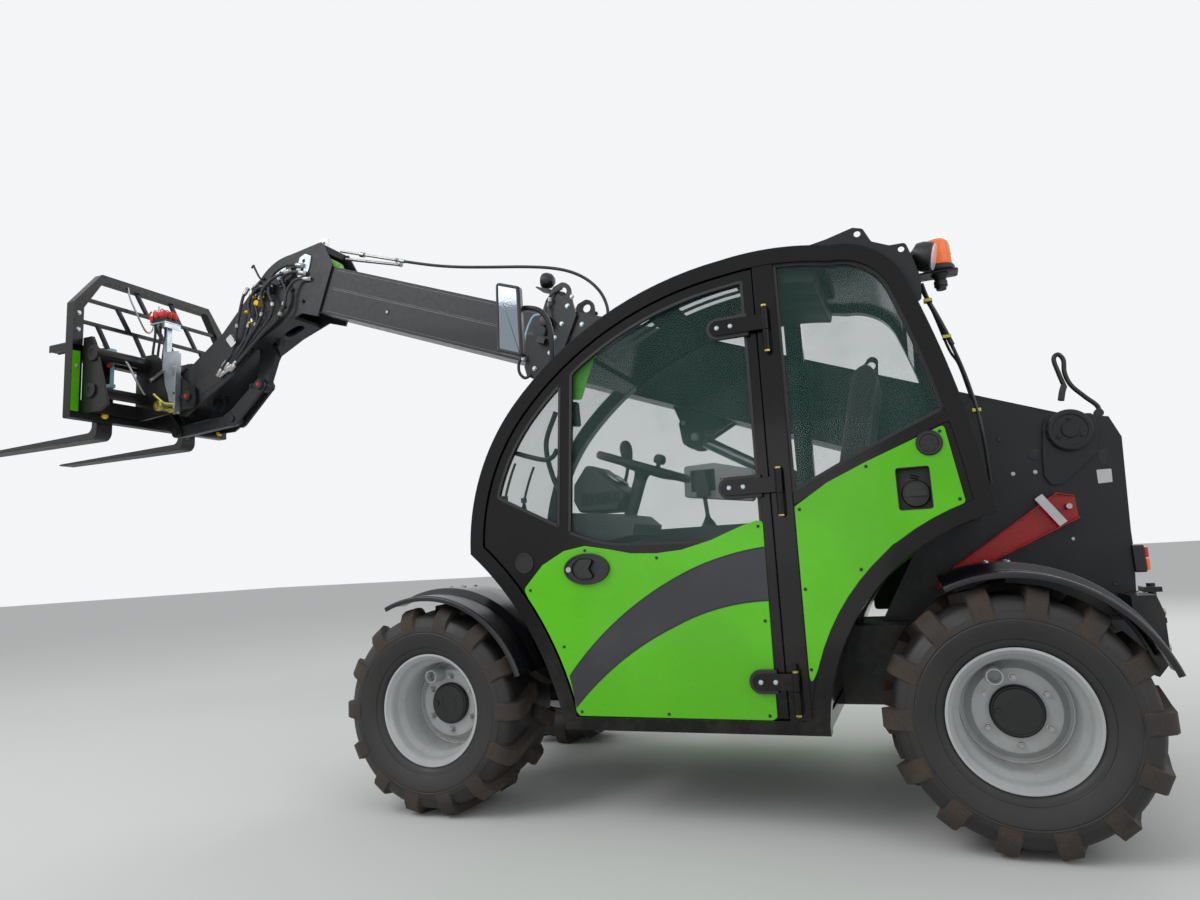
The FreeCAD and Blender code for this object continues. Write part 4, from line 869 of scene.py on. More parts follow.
@dataclass
class Studio:
    """Camera, floor and soft lamps."""

    eye: Place = (-.8032, 3.4334, .9211)
    yaw: float = .3713
    pitch: float = .1433
    roll: float = -.0562
    lens: float = 23.905
    shift: Point = (-.0034, -.0044)
    world_light: float = .5
    background: float = .93
    floor_half: float = 60.0

    def build(self) -> None:
        """Builds the studio."""
        self.camera()
        self.lamps()
        self.world()
        self.floor()

    def camera(self) -> None:
        """Sets the camera where the photograph was taken."""
        data = bpy.data.cameras.new("photo_camera")
        data.sensor_width = 36.0
        data.lens = self.lens
        data.shift_x, data.shift_y = self.shift
        data.clip_end = 300.0
        ahead = Vector((math.sin(self.yaw) * math.cos(self.pitch), -math.cos(self.yaw) * math.cos(self.pitch),
            math.sin(self.pitch)))
        level = ahead.cross(Vector((0, 0, 1))).normalized()
        above = level.cross(ahead)
        right = level * math.cos(self.roll) + above * math.sin(self.roll)
        up = above * math.cos(self.roll) - level * math.sin(self.roll)
        camera = linked("photo_camera", data)
        camera.matrix_world = Matrix.Translation(self.eye) @ Matrix((right, up, -ahead)).transposed().to_4x4()
        bpy.context.scene.camera = camera

    def lamps(self) -> None:
        """Adds large soft lamps on all sides."""
        for name, place, power, size in (("key", (4.5, 5.5, 6.5), 265, 5.0), ("fill", (-6.0, 4.5, 4.0), 75, 5.0),
                ("back", (-3.0, -6.5, 6.0), 165, 5.0), ("low", (1.0, 6.0, .7), 24, 3.0)):
            data = bpy.data.lights.new(name, "AREA")
            data.energy = power
            data.size = size
            lamp = linked(name, data)
            lamp.location = place
            aim = Vector((.3, 0.0, 1.1)) - lamp.location
            lamp.rotation_euler = aim.to_track_quat("-Z", "Y").to_euler()

    def world(self) -> None:
        """Lights the object softly and shows a pale background to the camera, metal and glass."""
        world = bpy.data.worlds.new("studio")
        bpy.context.scene.world = world
        world.use_nodes = True
        nodes = Nodes(world.node_tree)
        path = nodes.node("ShaderNodeLightPath", {}, {})
        seen = (Wire(nodes, path.outputs["Is Camera Ray"]) + Wire(nodes, path.outputs["Is Glossy Ray"])
            + Wire(nodes, path.outputs["Is Transmission Ray"]))
        shown = nodes.node("ShaderNodeMapRange", {}, {0: seen, 1: 0.0, 2: 1.0, 3: self.world_light,
            4: self.background})
        light = nodes.node("ShaderNodeBackground", {}, {0: (.97, .985, 1.0, 1.0), 1: Wire(nodes, shown.outputs[0])})
        nodes.node("ShaderNodeOutputWorld", {}, {0: Wire(nodes, light.outputs[0])})

    def floor(self) -> None:
        """Lays a plain pale floor."""
        form = Form()
        half = self.floor_half
        form.faces([Vector((x, y, 0)) for x, y in ((-half, -half), (half, -half), (half, half), (-half, half))],
            [(0, 1, 2, 3)])
        data = bpy.data.meshes.new("floor")
        form.mesh.to_mesh(data)
        form.mesh.free()
        shade = Shade("floor")
        tone = shade.blend(shade.noise(.6, 4) * .5, rgb(226, 227, 226), rgb(216, 217, 216))
        data.materials.append(shade.finish(Base_Color=tone, Roughness=.85))
        linked("floor", data)


@dataclass
class BoomHose:
    """Free hose over the boom, with its end fittings."""

    diameter: float = .016
    length: float = 1.449
    route: Sequence[Point] = ((3.398, .166), (3.22, .172), (3.02, .192), (2.8, .229), (2.6, .266), (2.44, .287),
        (2.32, .286), (2.215, .26), (2.13, .212), (2.078, .152), (2.06, .11), (2.06, .076))
    pipe_end: float = 3.827     # where the steel pipe meets the head, along the boom

    def build(self) -> None:
        """Builds the hose and its fittings."""
        points = [boom_point(u, w) for u, w in self.route]
        curve = bpy.data.curves.new("boom_hose_line", "CURVE")
        curve.dimensions = "3D"
        curve.bevel_depth = self.diameter / 2
        curve.bevel_resolution = 5
        curve.use_fill_caps = True
        spline = curve.splines.new("NURBS")
        spline.points.add(len(points) - 1)
        for point, place in zip(spline.points, points):
            point.co = (*place, 1.0)
        spline.order_u = 3
        spline.use_endpoint_u = True
        spline.resolution_u = 12
        hose = linked("boom_hose_line", curve)
        curve.materials.append(material_of(BRAID))
        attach(hose, Body.INNER.value)
        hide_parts("boom_hose")
        ends = self.fittings(points)

    def fittings(self, points: list[Vector]) -> list[bpy.types.Object]:
        """Builds the ferrules at the hose's two ends and the pipe that it comes from."""
        r = self.diameter / 2
        form = Form()
        for end, inner in ((points[0], points[1]), (points[-1], points[-2])):
            ahead = (inner - end).normalized()
            form.lathe([(r + .0002, .004), (r + .0035, .006), (r + .0035, .03), (r + .0022, .033), (r + .0022, .036),
                (r + .0002, .038)], end, ahead, 20)
        ferrules = form.make("boom_hose_ferrules", ZINC, Body.INNER)
        rise = (self.route[1][1] - self.route[0][1]) / (self.route[1][0] - self.route[0][0])
        far = boom_point(self.pipe_end, self.route[0][1] + rise * (self.pipe_end - self.route[0][0]))
        form.rod(points[0], far, r * .9, 20)
        back = (far - points[0]).normalized()
        form.nut(points[0] + back * .012, back, .024, .014, washer=False)
        form.plate(rounded([(2.262, 2.8), (2.33, 2.79), (2.33, 2.88), (2.3, 2.895), (2.262, 2.88)], .012), BOOM_Y
            - .006, BOOM_Y + .006)
        form.nut((2.296, BOOM_Y + .006, 2.862), (0, 1, 0), .013, .008)
        form.lathe([(r, -.014), (r + .007, -.014), (r + .007, .014), (r, .014)], points[0].lerp(far, .62), back, 20)
        form.make("head_steel_pipe", STEEL, Body.INNER, replaces=["head_pipe"])
        return [ferrules]


NODE_FINISHES: dict[str, Finish] = {
    "front_axle": CAST_BLACK, "rear_axle": CAST_BLACK, "engine_block": CAST_BLACK, "knuckle_front_left": CAST_BLACK,
    "knuckle_front_right": CAST_BLACK, "knuckle_rear_left": CAST_BLACK, "knuckle_rear_right": CAST_BLACK,
    "coupler": CARRIAGE_PAINT, "cab_floor": FRAME_BLACK, "cab_inner_wall": CONSOLE_GREY, "dashboard": CONSOLE_GREY,
    "seat_base": TRIM_BLACK, "engine_hood": GREEN,
}


def dress_nodes() -> None:
    """Gives the solids of the frame their finishes, anthracite where none is named."""
    for name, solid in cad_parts.items():
        material = material_of(NODE_FINISHES.get(name, ANTHRACITE))
        if solid.material_slots:
            for place in solid.material_slots:
                place.material = material
        else:
            solid.data.materials.append(material)
    LOG.info("dressed %d nodes", len(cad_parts))


@dataclass
class Wheel:
    """One wheel: tyre, rim and hub, built about the origin with its outside towards +Y."""

    corner: str
    forward: int                # 1 for the front axle, -1 for the rear
    side: int                   # 1 on the left, -1 on the right
    lugs: int = 14
    bolt_circle: float = .1015
    cap_radius: float = .079

    @property
    def place(self) -> Matrix:
        """From the wheel's own frame to the row frame."""
        flip = Matrix.Scale(-1, 4, (0, 1, 0)) if self.side < 0 else Matrix.Identity(4)
        return Matrix.Translation((self.forward * WHEEL_X, self.side * WHEEL_Y, WHEEL_Z)) @ flip

    def build(self) -> None:
        """Builds the wheel."""
        body = "wheel_" + self.corner
        self.tyre(body)
        self.rim(body)
        self.hub(body)

    def tyre(self, body: str) -> None:
        """Builds the carcass with its moulded rings, and the lugs."""
        half = [(.1925, .1445), (.2095, .159), (.214, .166), (.22, .172), (.228, .174), (.234, .176), (.236, .18),
            (.26, .19), (.282, .1955), (.29, .1965), (.293, .1945), (.296, .1962), (.315, .1935), (.318, .1905),
            (.33, .186), (.344, .179), (.356, .164), (.36, .14), (.361, .05)]
        form = Form()
        form.lathe([(r, y) for r, y in half] + [(r, -y) for r, y in half[::-1]], (0, 0, 0), (0, 1, 0), 96)
        form.finish = 1
        sections = [(.1965, .002, .03, .322, .3), (.19, .002, .03, .352, .318), (.17, .001, .029, .378, .34),
            (.145, .0, .028, .39, .352), (.1, .012, .026, .39, .354), (.055, .033, .024, .39, .355), (.01, .055, .021,
            .39, .356)]
        for k in range(self.lugs):
            for way, offset in ((-1, 0.0), (1, .5)):
                self.lug(form, sections, way, math.tau * (k + offset) / self.lugs + math.pi / 2)
        form.make("tyre_rubber_" + self.corner, (SIDEWALL, TREAD), body, replaces=["tyre_" + self.corner],
            bevel=.0035, place=self.place)

    def lug(self, form: Form, sections: Sequence[Sequence[float]], way: int, angle: float) -> None:
        """Adds one tread lug.

        Args:
            form: what it is added to.
            sections: (y, shift along the tread, half width, top radius, base radius), shoulder first.
            way: 1 for the outer half of the tread, -1 for the inner half.
            angle: where its shoulder is.
        """
        corners = []
        for y, shift, wide, top, base in sections:
            for radius, reach in ((base, wide + .01), (top, wide)):
                for sign in (1, -1):
                    turn = angle - (shift + sign * reach) / .375
                    corners.append(Vector((radius * math.cos(turn), y * way, radius * math.sin(turn))))
        loops = [(0, 1, 3, 2)]
        for k in range(len(sections) - 1):
            a, b = 4 * k, 4 * k + 4
            loops += [(a + i, a + j, b + j, b + i) for i, j in ((0, 1), (1, 3), (3, 2), (2, 0))]
        last = 4 * len(sections) - 4
        loops.append((last, last + 2, last + 3, last + 1))
        form.faces(corners, loops)

    def rim(self, body: str) -> None:
        """Builds the rim's barrel, its disc and the weld between them."""
        form = Form()
        form.lathe([(.209, .16), (.209, .164), (.206, .165), (.201, .164), (.196, .156), (.19, .149), (.185, .138),
            (.184, .118), (.18, .108), (.17, .092), (.166, .08), (.165, .03), (.165, -.02), (.166, -.125),
            (.201, -.165), (.209, -.165), (.192, -.149), (.172, -.075), (.172, .075), (.192, .149), (.209, .158)],
            (0, 0, 0), (0, 1, 0), 96)
        form.lathe([(0, .006), (.12, .006), (.128, .004), (.134, -.004), (.142, -.016), (.15, -.024), (.1665, -.026),
            (.1665, -.036), (.148, -.034), (.138, -.026), (.13, -.01), (.122, -.006), (0, -.006)], (0, 0, 0),
            (0, 1, 0), 96)
        weld = [(.1655 - .004 + .0045 * math.cos(a), -.024 + .0045 * math.sin(a)) for a in (math.tau * k / 8
            for k in range(8))]
        form.lathe(weld, (0, 0, 0), (0, 1, 0), 72)
        form.make("rim_steel_" + self.corner, RIM_SILVER, body, replaces=["rim_" + self.corner], place=self.place)

    def hub(self, body: str) -> None:
        """Builds the wheel nuts, the hub's cap and the tube beside it."""
        form = Form()
        for k in range(6):
            turn = math.radians(30 + 60 * k)
            form.nut((self.bolt_circle * math.cos(turn), .006, self.bolt_circle * math.sin(turn)), (0, 1, 0), .019,
                .013)
            form.rod((self.bolt_circle * math.cos(turn), .018, self.bolt_circle * math.sin(turn)),
                (self.bolt_circle * math.cos(turn), .025, self.bolt_circle * math.sin(turn)), .0055, 12)
        form.lathe([(0, -.064), (.082, -.064), (.082, -.006), (0, -.006)], (0, 0, 0), (0, 1, 0), 32)
        form.make("wheel_nuts_" + self.corner, STEEL, body, place=self.place)
        r = self.cap_radius
        form.lathe([(0, .0055), (r, .0055), (r, .021), (r - .002, .0245), (r - .006, .0265), (r - .009, .026),
            (r - .011, .0285), (0, .0295)], (0, 0, 0), (0, 1, 0), 64)
        form.lathe([(0, .029), (.01, .029), (.009, .033), (0, .0335)], (.055, 0, 0), (0, 1, 0), 20)
        form.lathe([(.03, .0285), (.034, .0295), (.034, .03), (.03, .03)], (0, 0, 0), (0, 1, 0), 48)
        form.make("hub_cap_" + self.corner, CAP_BLACK, body, place=self.place)
        form.lathe([(0, -.004), (.027, -.004), (.027, .066), (.025, .07), (.021, .07), (.019, .066), (.019, .03),
            (0, .03)], (.055, 0, .11), (0, 1, 0), 32)
        form.make("hub_tube_" + self.corner, RIM_SILVER, body, place=self.place)


@dataclass
class Fender:
    """Moulded fender over one wheel, carried by the steering knuckle."""

    corner: str
    forward: int
    side: int
    radius: float = .432
    step: float = .022         # higher over the inner half
    wall: float = .005
    lip: float = .02
    first: float = 66.0
    last: float = 162.0

    def build(self) -> None:
        """Builds the shell and its fastenings."""
        r, high, t, lip = self.radius, self.radius + self.step, self.wall, self.lip
        profile = [(r - lip, .2), (r - .004, .2), (r, .192), (r, .062), (high, .038), (high, -.184),
            (high - .006, -.192), (high - lip, -.192), (high - lip, -.192 + t), (high - .006, -.192 + t),
            (high - t, -.184 + t), (high - t, .038 - t), (r - t, .062 - t), (r - t, .192 - t), (r - .006, .2 - t),
            (r - lip, .2 - t)]
        form = Form()
        form.lathe(rounded(profile, .006, 3), (0, 0, 0), (0, 1, 0), 64, (self.first, self.last))
        place = Wheel(self.corner, self.forward, self.side).place
        body = "knuckle_" + self.corner
        form.make("fender_shell_" + self.corner, FENDER_BLACK, body, replaces=["fender_" + self.corner], place=place)
        for degrees in (86, 94):
            for y in (-.15, -.06):
                turn = math.radians(degrees)
                out = Vector((math.cos(turn), 0, math.sin(turn)))
                form.nut(out * (high - .0005) + Vector((0, y, 0)), out, .013, .006)
        form.make("fender_bolts_" + self.corner, ZINC, body, place=place)


CORNERS = (("front_left", 1, 1), ("front_right", 1, -1), ("rear_left", -1, 1), ("rear_right", -1, -1))


CAB_EDGE = traced([(.45, .33), (.6, .71, .82, .97), (.772, 1.26, .61, 1.53), (.24, 1.812, -.24, 1.95),
    (-.43, 1.957, -.61, 1.93), (-.76, 1.88, -.84, 1.77), (-.95, 1.4, -1.02, 1.0), (-.652, .785, -.47, .365),
    (-.47, .33)], 16)
BELT_FRONT = traced([(-.345, 1.035), (-.23, .955, -.08, .95), (.14, .955), (.3, .975, .45, 1.04), (.72, 1.175)])
BELT_REAR = [(-.905, 1.33), (-.76, 1.268), (-.6, 1.195), (-.415, 1.105)]


def cab_loop(inset: float, foot: float = 0.0) -> list[Point]:
    """Cab outline drawn in, with its lower edge at foot where that is given."""
    loop = drawn_in(CAB_EDGE, inset)
    return [(x, foot) if foot and z < .33 + inset + .002 else (x, z) for x, z in loop]


def cab_strip(inset: float, thick: float, first: int, last: int, *cuts: tuple[float, float, float]) -> list[Point]:
    """Section of a sheet that follows the cab's outline.

    Args:
        inset: from the outline to the sheet's outer face.
        thick: of the sheet.
        first: number of the outline's point where it starts.
        last: number of the point where it ends.
        cuts: half planes (nx, nz, offset) that it is kept to.

    Returns:
        The section's outline.
    """
    outer, inner = drawn_in(CAB_EDGE, inset), drawn_in(CAB_EDGE, inset + thick)
    loop = outer[first:last + 1] + inner[first:last + 1][::-1]
    for nx, nz, offset in cuts:
        loop = clipped(loop, (nx, nz), offset)
    return loop


@dataclass
class CabShell:
    """Welded frame of the cab with its roof, fixed panes and side panel."""

    left: float = CAB_LEFT
    right: float = CAB_RIGHT
    tube: float = .055
    pillar: Point = (-.415, -.345)
    sheet_y: Point = (.0753, .6897)
    pane_thick: float = .005
    gap: float = .0003
    hinge: Point = (-.378, .762)
    hinge_heights: Sequence[float] = (.49, 1.13, 1.69)
    post_drop: float = .092    # from a hinge's middle to the foot of its post

    def build(self) -> None:
        """Builds all of it."""
        self.frame()
        self.seal()
        self.roof()
        self.panes()
        self.side_panel()
        self.filler()
        self.hinges()
        self.lamp_bracket()
        self.beacon()
        self.mirror()

    def frame(self) -> None:
        """Builds the side frames, pillars and cross tubes."""
        form = Form()
        outer, inner = CAB_EDGE, cab_loop(self.tube, .374)
        form.band(outer, inner, self.left - .055, self.left)
        ledge = .6203
        legs = clipped(outer[3:111] + drawn_in(CAB_EDGE, self.tube)[3:111][::-1], (0, 1), ledge)
        form.plate(legs, self.right, self.right + .05)
        rear, front = self.pillar
        form.block((rear, self.left - .05, .372), (front, self.left - .005, 1.912))
        form.block((rear, self.right, ledge), (front, self.right + .044, 1.912))
        form.block((-.465, .2003, .336), (-.415, self.left - .01, .384))
        form.block((.39, .2003, .336), (.44, self.left - .01, .384))
        form.block((-.55, self.right, ledge), (.51, self.right + .044, ledge + .04))
        form.make("cab_frame_tubes", FRAME_BLACK, replaces=["cab_frame"], bevel=.02)
        for first, last, cuts in ((15, 19, ((0, 1, .985), (0, -1, -1.035))), (33, 38, ((1, 0, .335), (-1, 0, -.39))),
                (80, 86, ((0, 1, 1.6), (0, -1, -1.655))), (90, 96, ((0, 1, 1.08), (0, -1, -1.13)))):
            form.plate(cab_strip(.027, .026, first, last, *cuts), self.right + .049, self.left - .054)
        lower = split_at(clipped(drawn_in(CAB_EDGE, self.tube - .01), (-1, 0), .4153), BELT_REAR, False)
        upper = split_at(lower, [(x, z - .042) for x, z in BELT_REAR], True)
        form.plate(upper, self.left - .04, self.left - .006)
        form.make("cab_cross_rails", FRAME_BLACK, bevel=.003)

    def seal(self) -> None:
        """Builds the rubber seal that the door closes on."""
        form = Form()
        form.band(cab_loop(.05, .378), cab_loop(.068, .396), self.left - .0445, self.left - .0385)
        form.block((-.354, self.left - .0449, .392), (-.33, self.left - .0389, 1.895))
        form.make("door_seal", SEALANT, bevel=.002)

    def roof(self) -> None:
        """Builds the roof's skin, the guard bars under it and its front gutter."""
        y0, y1 = self.sheet_y
        form = Form()
        form.plate(cab_strip(.008, .026, 47, 84, (-1, 0, .25), (0, 1, 1.745)), y0, y1)
        for y in (.2, .38, .56):
            form.plate(cab_strip(.004, .006, 50, 66), y - .045, y + .045)
        form.make("cab_roof_skin", FRAME_BLACK, replaces=["cab_roof"], bevel=.002)
        for first, last in ((36, 38), (42, 44), (48, 49)):
            form.plate(cab_strip(.03, .004, first, last), y0 + .01, y1 - .01)
        form.plate(cab_strip(.0302, .0036, 36, 49), y0 + .01, .378)
        for k in range(5):
            form.plate(cab_strip(.0302, .0036, 36, 49), .374 + .0715 * k, .4 + .0715 * k)
        form.make("roof_guard_bars", FRAME_BLACK)
        form.plate(rounded(cab_strip(.06, .045, 50, 62), .02), y0 + .03, y1 - .02)
        form.make("cab_head_lining", TRIM_BLACK)

    def panes(self) -> None:
        """Builds the windscreen, the rear and side panes and their rubber."""
        y0, y1 = self.sheet_y
        inset, thick = .02, self.pane_thick
        form = Form()
        form.plate(cab_strip(inset, thick, 16, 49, (0, 1, 1.0), (1, 0, -.245)), y0, y1)
        form.make("windscreen_pane", SCREEN_GLASS, replaces=["windscreen"])
        form.plate(cab_strip(inset, thick, 80, 96, (0, 1, 1.14), (0, -1, -1.74)), y0, y1)
        side = self.rear_side_loop()
        form.plate(side, self.left - .025, self.left - .02)
        inner = clipped(drawn_in(CAB_EDGE, self.tube + self.gap), (0, 1), 1.0403)
        form.plate(inner, self.right + .0443, self.right + .0493)
        form.make("cab_side_panes", GLASS, replaces=["cab_windows"])
        form.band(drawn_in(side, -.002), drawn_in(side, .011), self.left - .0195, self.left - .013)
        form.make("cab_pane_rubber", SEALANT, bevel=.002)

    def rear_side_loop(self) -> list[Point]:
        """Outline of the pane behind the door."""
        loop = clipped(drawn_in(CAB_EDGE, self.tube + self.gap), (-1, 0), .4153)
        return split_at(loop, [(x, z + self.gap) for x, z in BELT_REAR], True)

    def side_panel(self) -> None:
        """Builds the black backing and the green panel behind the door."""
        x0, x1, z0, z1 = -.845, -.742, 1.022, 1.158
        recess = [(x0, z0), (x1, z0), (x1, z1), (x0, z1)]
        loop = clipped(drawn_in(CAB_EDGE, self.tube + self.gap), (-1, 0), .4153)
        loop = split_at(loop, [(x, z - .0423) for x, z in BELT_REAR], False)
        form = Form()
        form.plate(loop, self.left - .011, self.left - .0065, [recess])
        form.make("side_panel_backing", FRAME_BLACK, replaces=["cab_side_panel"])
        outline = rounded([(-.419, 1.06), (-.53, 1.131), (-.655, 1.186), (-.9, 1.282), (-.937, 1.035), (-.858, 1.0),
            (-.712, .918), (-.64, .852), (-.573, .769), (-.52, .69), (-.475, .598), (-.4183, .472)], .012)
        form.plate(outline, self.left - .0063, self.left - .0015, [rounded(recess, .012)])
        form.make("side_panel_green", GREEN, bevel=.0015)
        for x, z in ((-.434, 1.05), (-.656, 1.172), (-.886, 1.262), (-.921, 1.046), (-.61, .845), (-.43, .79),
                (-.426, .535)):
            form.lathe([(0, 0), (.0055, 0), (.0048, .0022), (.0022, .003), (0, .0024)], (x, self.left - .0015, z),
                (0, 1, 0), 16)
        form.lathe([(0, 0), (.04, 0), (.04, .004), (.036, .008), (.029, .008), (.027, .005), (0, .005)],
            (-.852, self.left - .0015, 1.228), (0, 1, 0), 40)
        for k in range(6):
            turn = math.tau * k / 6
            form.lathe([(0, .003), (.0052, .003), (.0052, .0085), (0, .0085)], (-.852 + .018 * math.cos(turn),
                self.left - .0015, 1.228 + .018 * math.sin(turn)), (0, 1, 0), 14)
        form.make("side_panel_fastenings", TRIM_BLACK)

    def filler(self) -> None:
        """Builds the fuel filler's tray and cap."""
        x0, x1, z0, z1 = -.8448, -.7422, 1.0222, 1.1578
        y0, y1 = self.left - .052, self.left - .0065
        form = Form()
        form.block((x0, y0, z0), (x1, y0 + .003, z1))
        for low, high in (((x0, z0), (x0 + .003, z1)), ((x1 - .003, z0), (x1, z1)), ((x0, z0), (x1, z0 + .003)),
                ((x0, z1 - .003), (x1, z1))):
            form.block((low[0], y0, low[1]), (high[0], y1 + .004, high[1]))
        form.make("filler_tray", TRIM_BLACK)
        x, z = -.797, 1.074
        form.lathe([(0, 0), (.042, 0), (.043, .006), (.043, .02), (.04, .024), (.034, .025), (0, .025)],
            (x, y0 + .003, z), (0, 1, 0), 48)
        form.lathe([(.036, .024), (.04, .024), (.04, .027), (.036, .027)], (x, y0 + .003, z), (0, 1, 0), 48)
        form.block((x - .034, y0 + .026, z - .009), (x + .034, y0 + .04, z + .009))
        form.rod((x - .012, y0 + .003, z + .05), (x + .012, y0 + .003, z + .058), .006, 14)
        form.make("filler_cap", CAP_BLACK, bevel=.002)

    def hinges(self) -> None:
        """Builds the fixed halves of the door's hinges."""
        x, y = self.hinge
        form = Form()
        for z in self.hinge_heights:
            form.plate([(x - .013, z - self.post_drop), (x + .013, z - self.post_drop), (x + .013, z - .022),
                (x - .013, z - .022)], self.left - .006, y)
            form.rod((x, y, z - self.post_drop), (x, y, z - .022), .0125, 24)
            form.lathe([(0, 0), (.006, 0), (.006, .108), (0, .108)], (x, y, z - .047), (0, 0, 1), 16)
        form.make("door_hinge_posts", FRAME_BLACK, bevel=.0015)
        for z in self.hinge_heights:
            form.lathe([(0, 0), (.011, 0), (.011, .006), (.006, .009), (0, .009)], (x, y, z + (.0603 if z > .6
                else .0386)), (0, 0, 1), 20)
            form.lathe([(0, 0), (.01, 0), (.01, -.006), (.005, -.009), (0, -.009)], (x, y, z - self.post_drop),
                (0, 0, 1), 6)
        form.make("door_hinge_pins", YELLOW_ZINC)

    def lamp_bracket(self) -> None:
        """Builds the shaped plate over the roof's rear corner, the rear lamp and the cable down the frame."""
        y = self.left - .028
        form = Form()
        hole = circle(-.703, 1.96, .011, 20)
        lower = circle(-.835, 1.88, .01, 20)
        form.plate(rounded([(-.5, 1.945), (-.6, 1.962), (-.69, 1.985), (-.722, 1.975), (-.745, 1.925), (-.8, 1.9),
            (-.85, 1.9), (-.868, 1.84), (-.885, 1.77), (-.88, 1.7), (-.85, 1.69), (-.8, 1.8), (-.7, 1.88),
            (-.56, 1.925)], .016), y - .003, y + .003, [hole, lower])
        form.make("roof_corner_plate", ANTHRACITE, Body.CHASSIS, Slot.BLACK, bevel=.001)
        form.lathe([(0, -.03), (.02, -.036), (.044, -.022), (.05, .0), (.05, .03), (.047, .034), (0, .034)],
            (-.9, .64, 1.868), (-1, .15, -.25), 32)
        form.rod((-.868, y, 1.86), (-.868, .6, 1.86), .007, 14)
        form.block((-.884, .58, 1.8), (-.866, .6, 1.852))
        form.make("rear_work_lamp", TRIM_BLACK, bevel=.002)
        form.lathe([(0, .0342), (.044, .0342), (.044, .037), (0, .039)], (-.9, .64, 1.868), (-1, .15, -.25), 32)
        form.make("rear_work_lamp_lens", WHITE_LENS)
        for start, points in enumerate((((-.89, .56, 1.8), (-.905, .56, 1.74), (-.945, .565, 1.62),
                (-.985, .57, 1.48), (-1.01, .575, 1.35), (-1.02, .58, 1.24), (-1.03, .5, 1.1)), ((-.885, .54, 1.79),
                (-.915, .545, 1.7), (-.95, .56, 1.56), (-.975, .565, 1.5), (-1.0, .57, 1.38)))):
            form.tube(smooth_path(points), .0045 if start else .006, 8)
        form.tube(smooth_path(((-.9, .56, 1.745), (-.93, .565, 1.665), (-.962, .568, 1.57))), .0085, 8)
        form.make("rear_lamp_cables", SEALANT)
        for z, x in ((1.735, -.905), (1.6, -.95), (1.34, -1.012)):
            form.block((x - .012, .552, z - .006), (x + .016, .58, z + .006))
        form.make("rear_cable_clips", YELLOW_ZINC, bevel=.002)

    def beacon(self) -> None:
        """Builds the amber beacon, its foot and its bracket."""
        x, y, z = -.95, .55, 1.8303
        form = Form()
        form.lathe([(0, .02), (.043, .02), (.0455, .026), (.0452, .06), (.044, .092), (.041, .104), (.034, .113),
            (.022, .119), (0, .1215)], (x, y, z), (0, 0, 1), 48)
        form.lathe([(.0455, .056), (.0462, .058), (.0455, .06)], (x, y, z), (0, 0, 1), 48)
        form.make("beacon_lens", AMBER, replaces=["beacon"])
        form.lathe([(0, 0), (.046, 0), (.0515, .004), (.0515, .014), (.049, .02), (0, .0205)], (x, y, z), (0, 0, 1),
            48)
        form.lathe([(0, -.06), (.016, -.06), (.018, -.05), (.022, -.048), (.022, -.03), (.017, -.026), (.03, -.008),
            (0, -.008)], (x, y, z), (0, 0, 1), 28)
        form.make("beacon_foot", TRIM_BLACK)
        form.plate(rounded([(-1.008, .508), (-.838, .508), (-.838, .592), (-1.008, .592)], .014), 0, .006)
        form.mesh.transform(Matrix.Translation((0, 0, 1.8282)) @ Matrix.Rotation(math.radians(-90), 4, "X"))
        form.block((-.846, .508, 1.765), (-.84, .592, 1.826))
        form.block((-.846, .508, 1.765), (-.815, .592, 1.771))
        form.make("beacon_bracket", ANTHRACITE, Body.CHASSIS, Slot.BLACK, bevel=.0012)

    def mirror(self) -> None:
        """Builds the mirror with its shell, glass, arm and clamp."""
        y0, y1 = self.left + .02, self.left + .06
        outline = rounded([(.53, 1.696), (.642, 1.736), (.638, 2.014), (.535, 1.978)], .016, 6)
        form = Form()
        back = [(x * .86 + .586 * .14, z * .93 + 1.855 * .07) for x, z in outline]
        rim = [Vector((x, y0 + .012, z)) for x, z in outline]
        rims = [[Vector((x, y0, z)) for x, z in back], rim, [Vector((x, y1 - .008, z)) for x, z in outline],
            [Vector((x, y1, z)) for x, z in drawn_in(outline, .006)], [Vector((x, y1, z)) for x,
            z in drawn_in(outline, .012)], [Vector((x, y1 - .004, z)) for x, z in drawn_in(outline, .013)]]
        count = len(outline)
        loops = [tuple(range(count))]
        for k in range(len(rims) - 1):
            loops += [(k * count + j, k * count + (j + 1) % count, (k + 1) * count + (j + 1) % count, (k + 1) * count
                + j) for j in range(count)]
        loops.append(tuple(range(count * (len(rims) - 1), count * len(rims))))
        form.faces([v for ring in rims for v in ring], loops)
        form.make("mirror_shell", TRIM_BLACK, replaces=["mirror"])
        form.plate(drawn_in(outline, .0135), y1 - .0038, y1 - .0022)
        form.make("mirror_face", MIRROR_GLASS, Body.CHASSIS, Slot.GLASS)
        foot = self.left + self.gap
        form.tube(smooth_path(((.6, foot + .01, 1.895), (.57, foot + .01, 1.903), (.525, foot + .008, 1.902),
            (.478, foot + .004, 1.885), (.45, foot - .004, 1.845), (.441, foot - .012, 1.79), (.444, foot - .02,
            1.73), (.449, foot - .026, 1.672))), .0105, 16)
        form.rod((.592, foot + .009, 1.87), (.592, foot + .009, 1.922), .016, 20)
        form.rod((.4455, foot - .022, 1.7), (.448, foot - .0245, 1.684), .017, 20)
        form.make("mirror_arm", TRIM_BLACK)


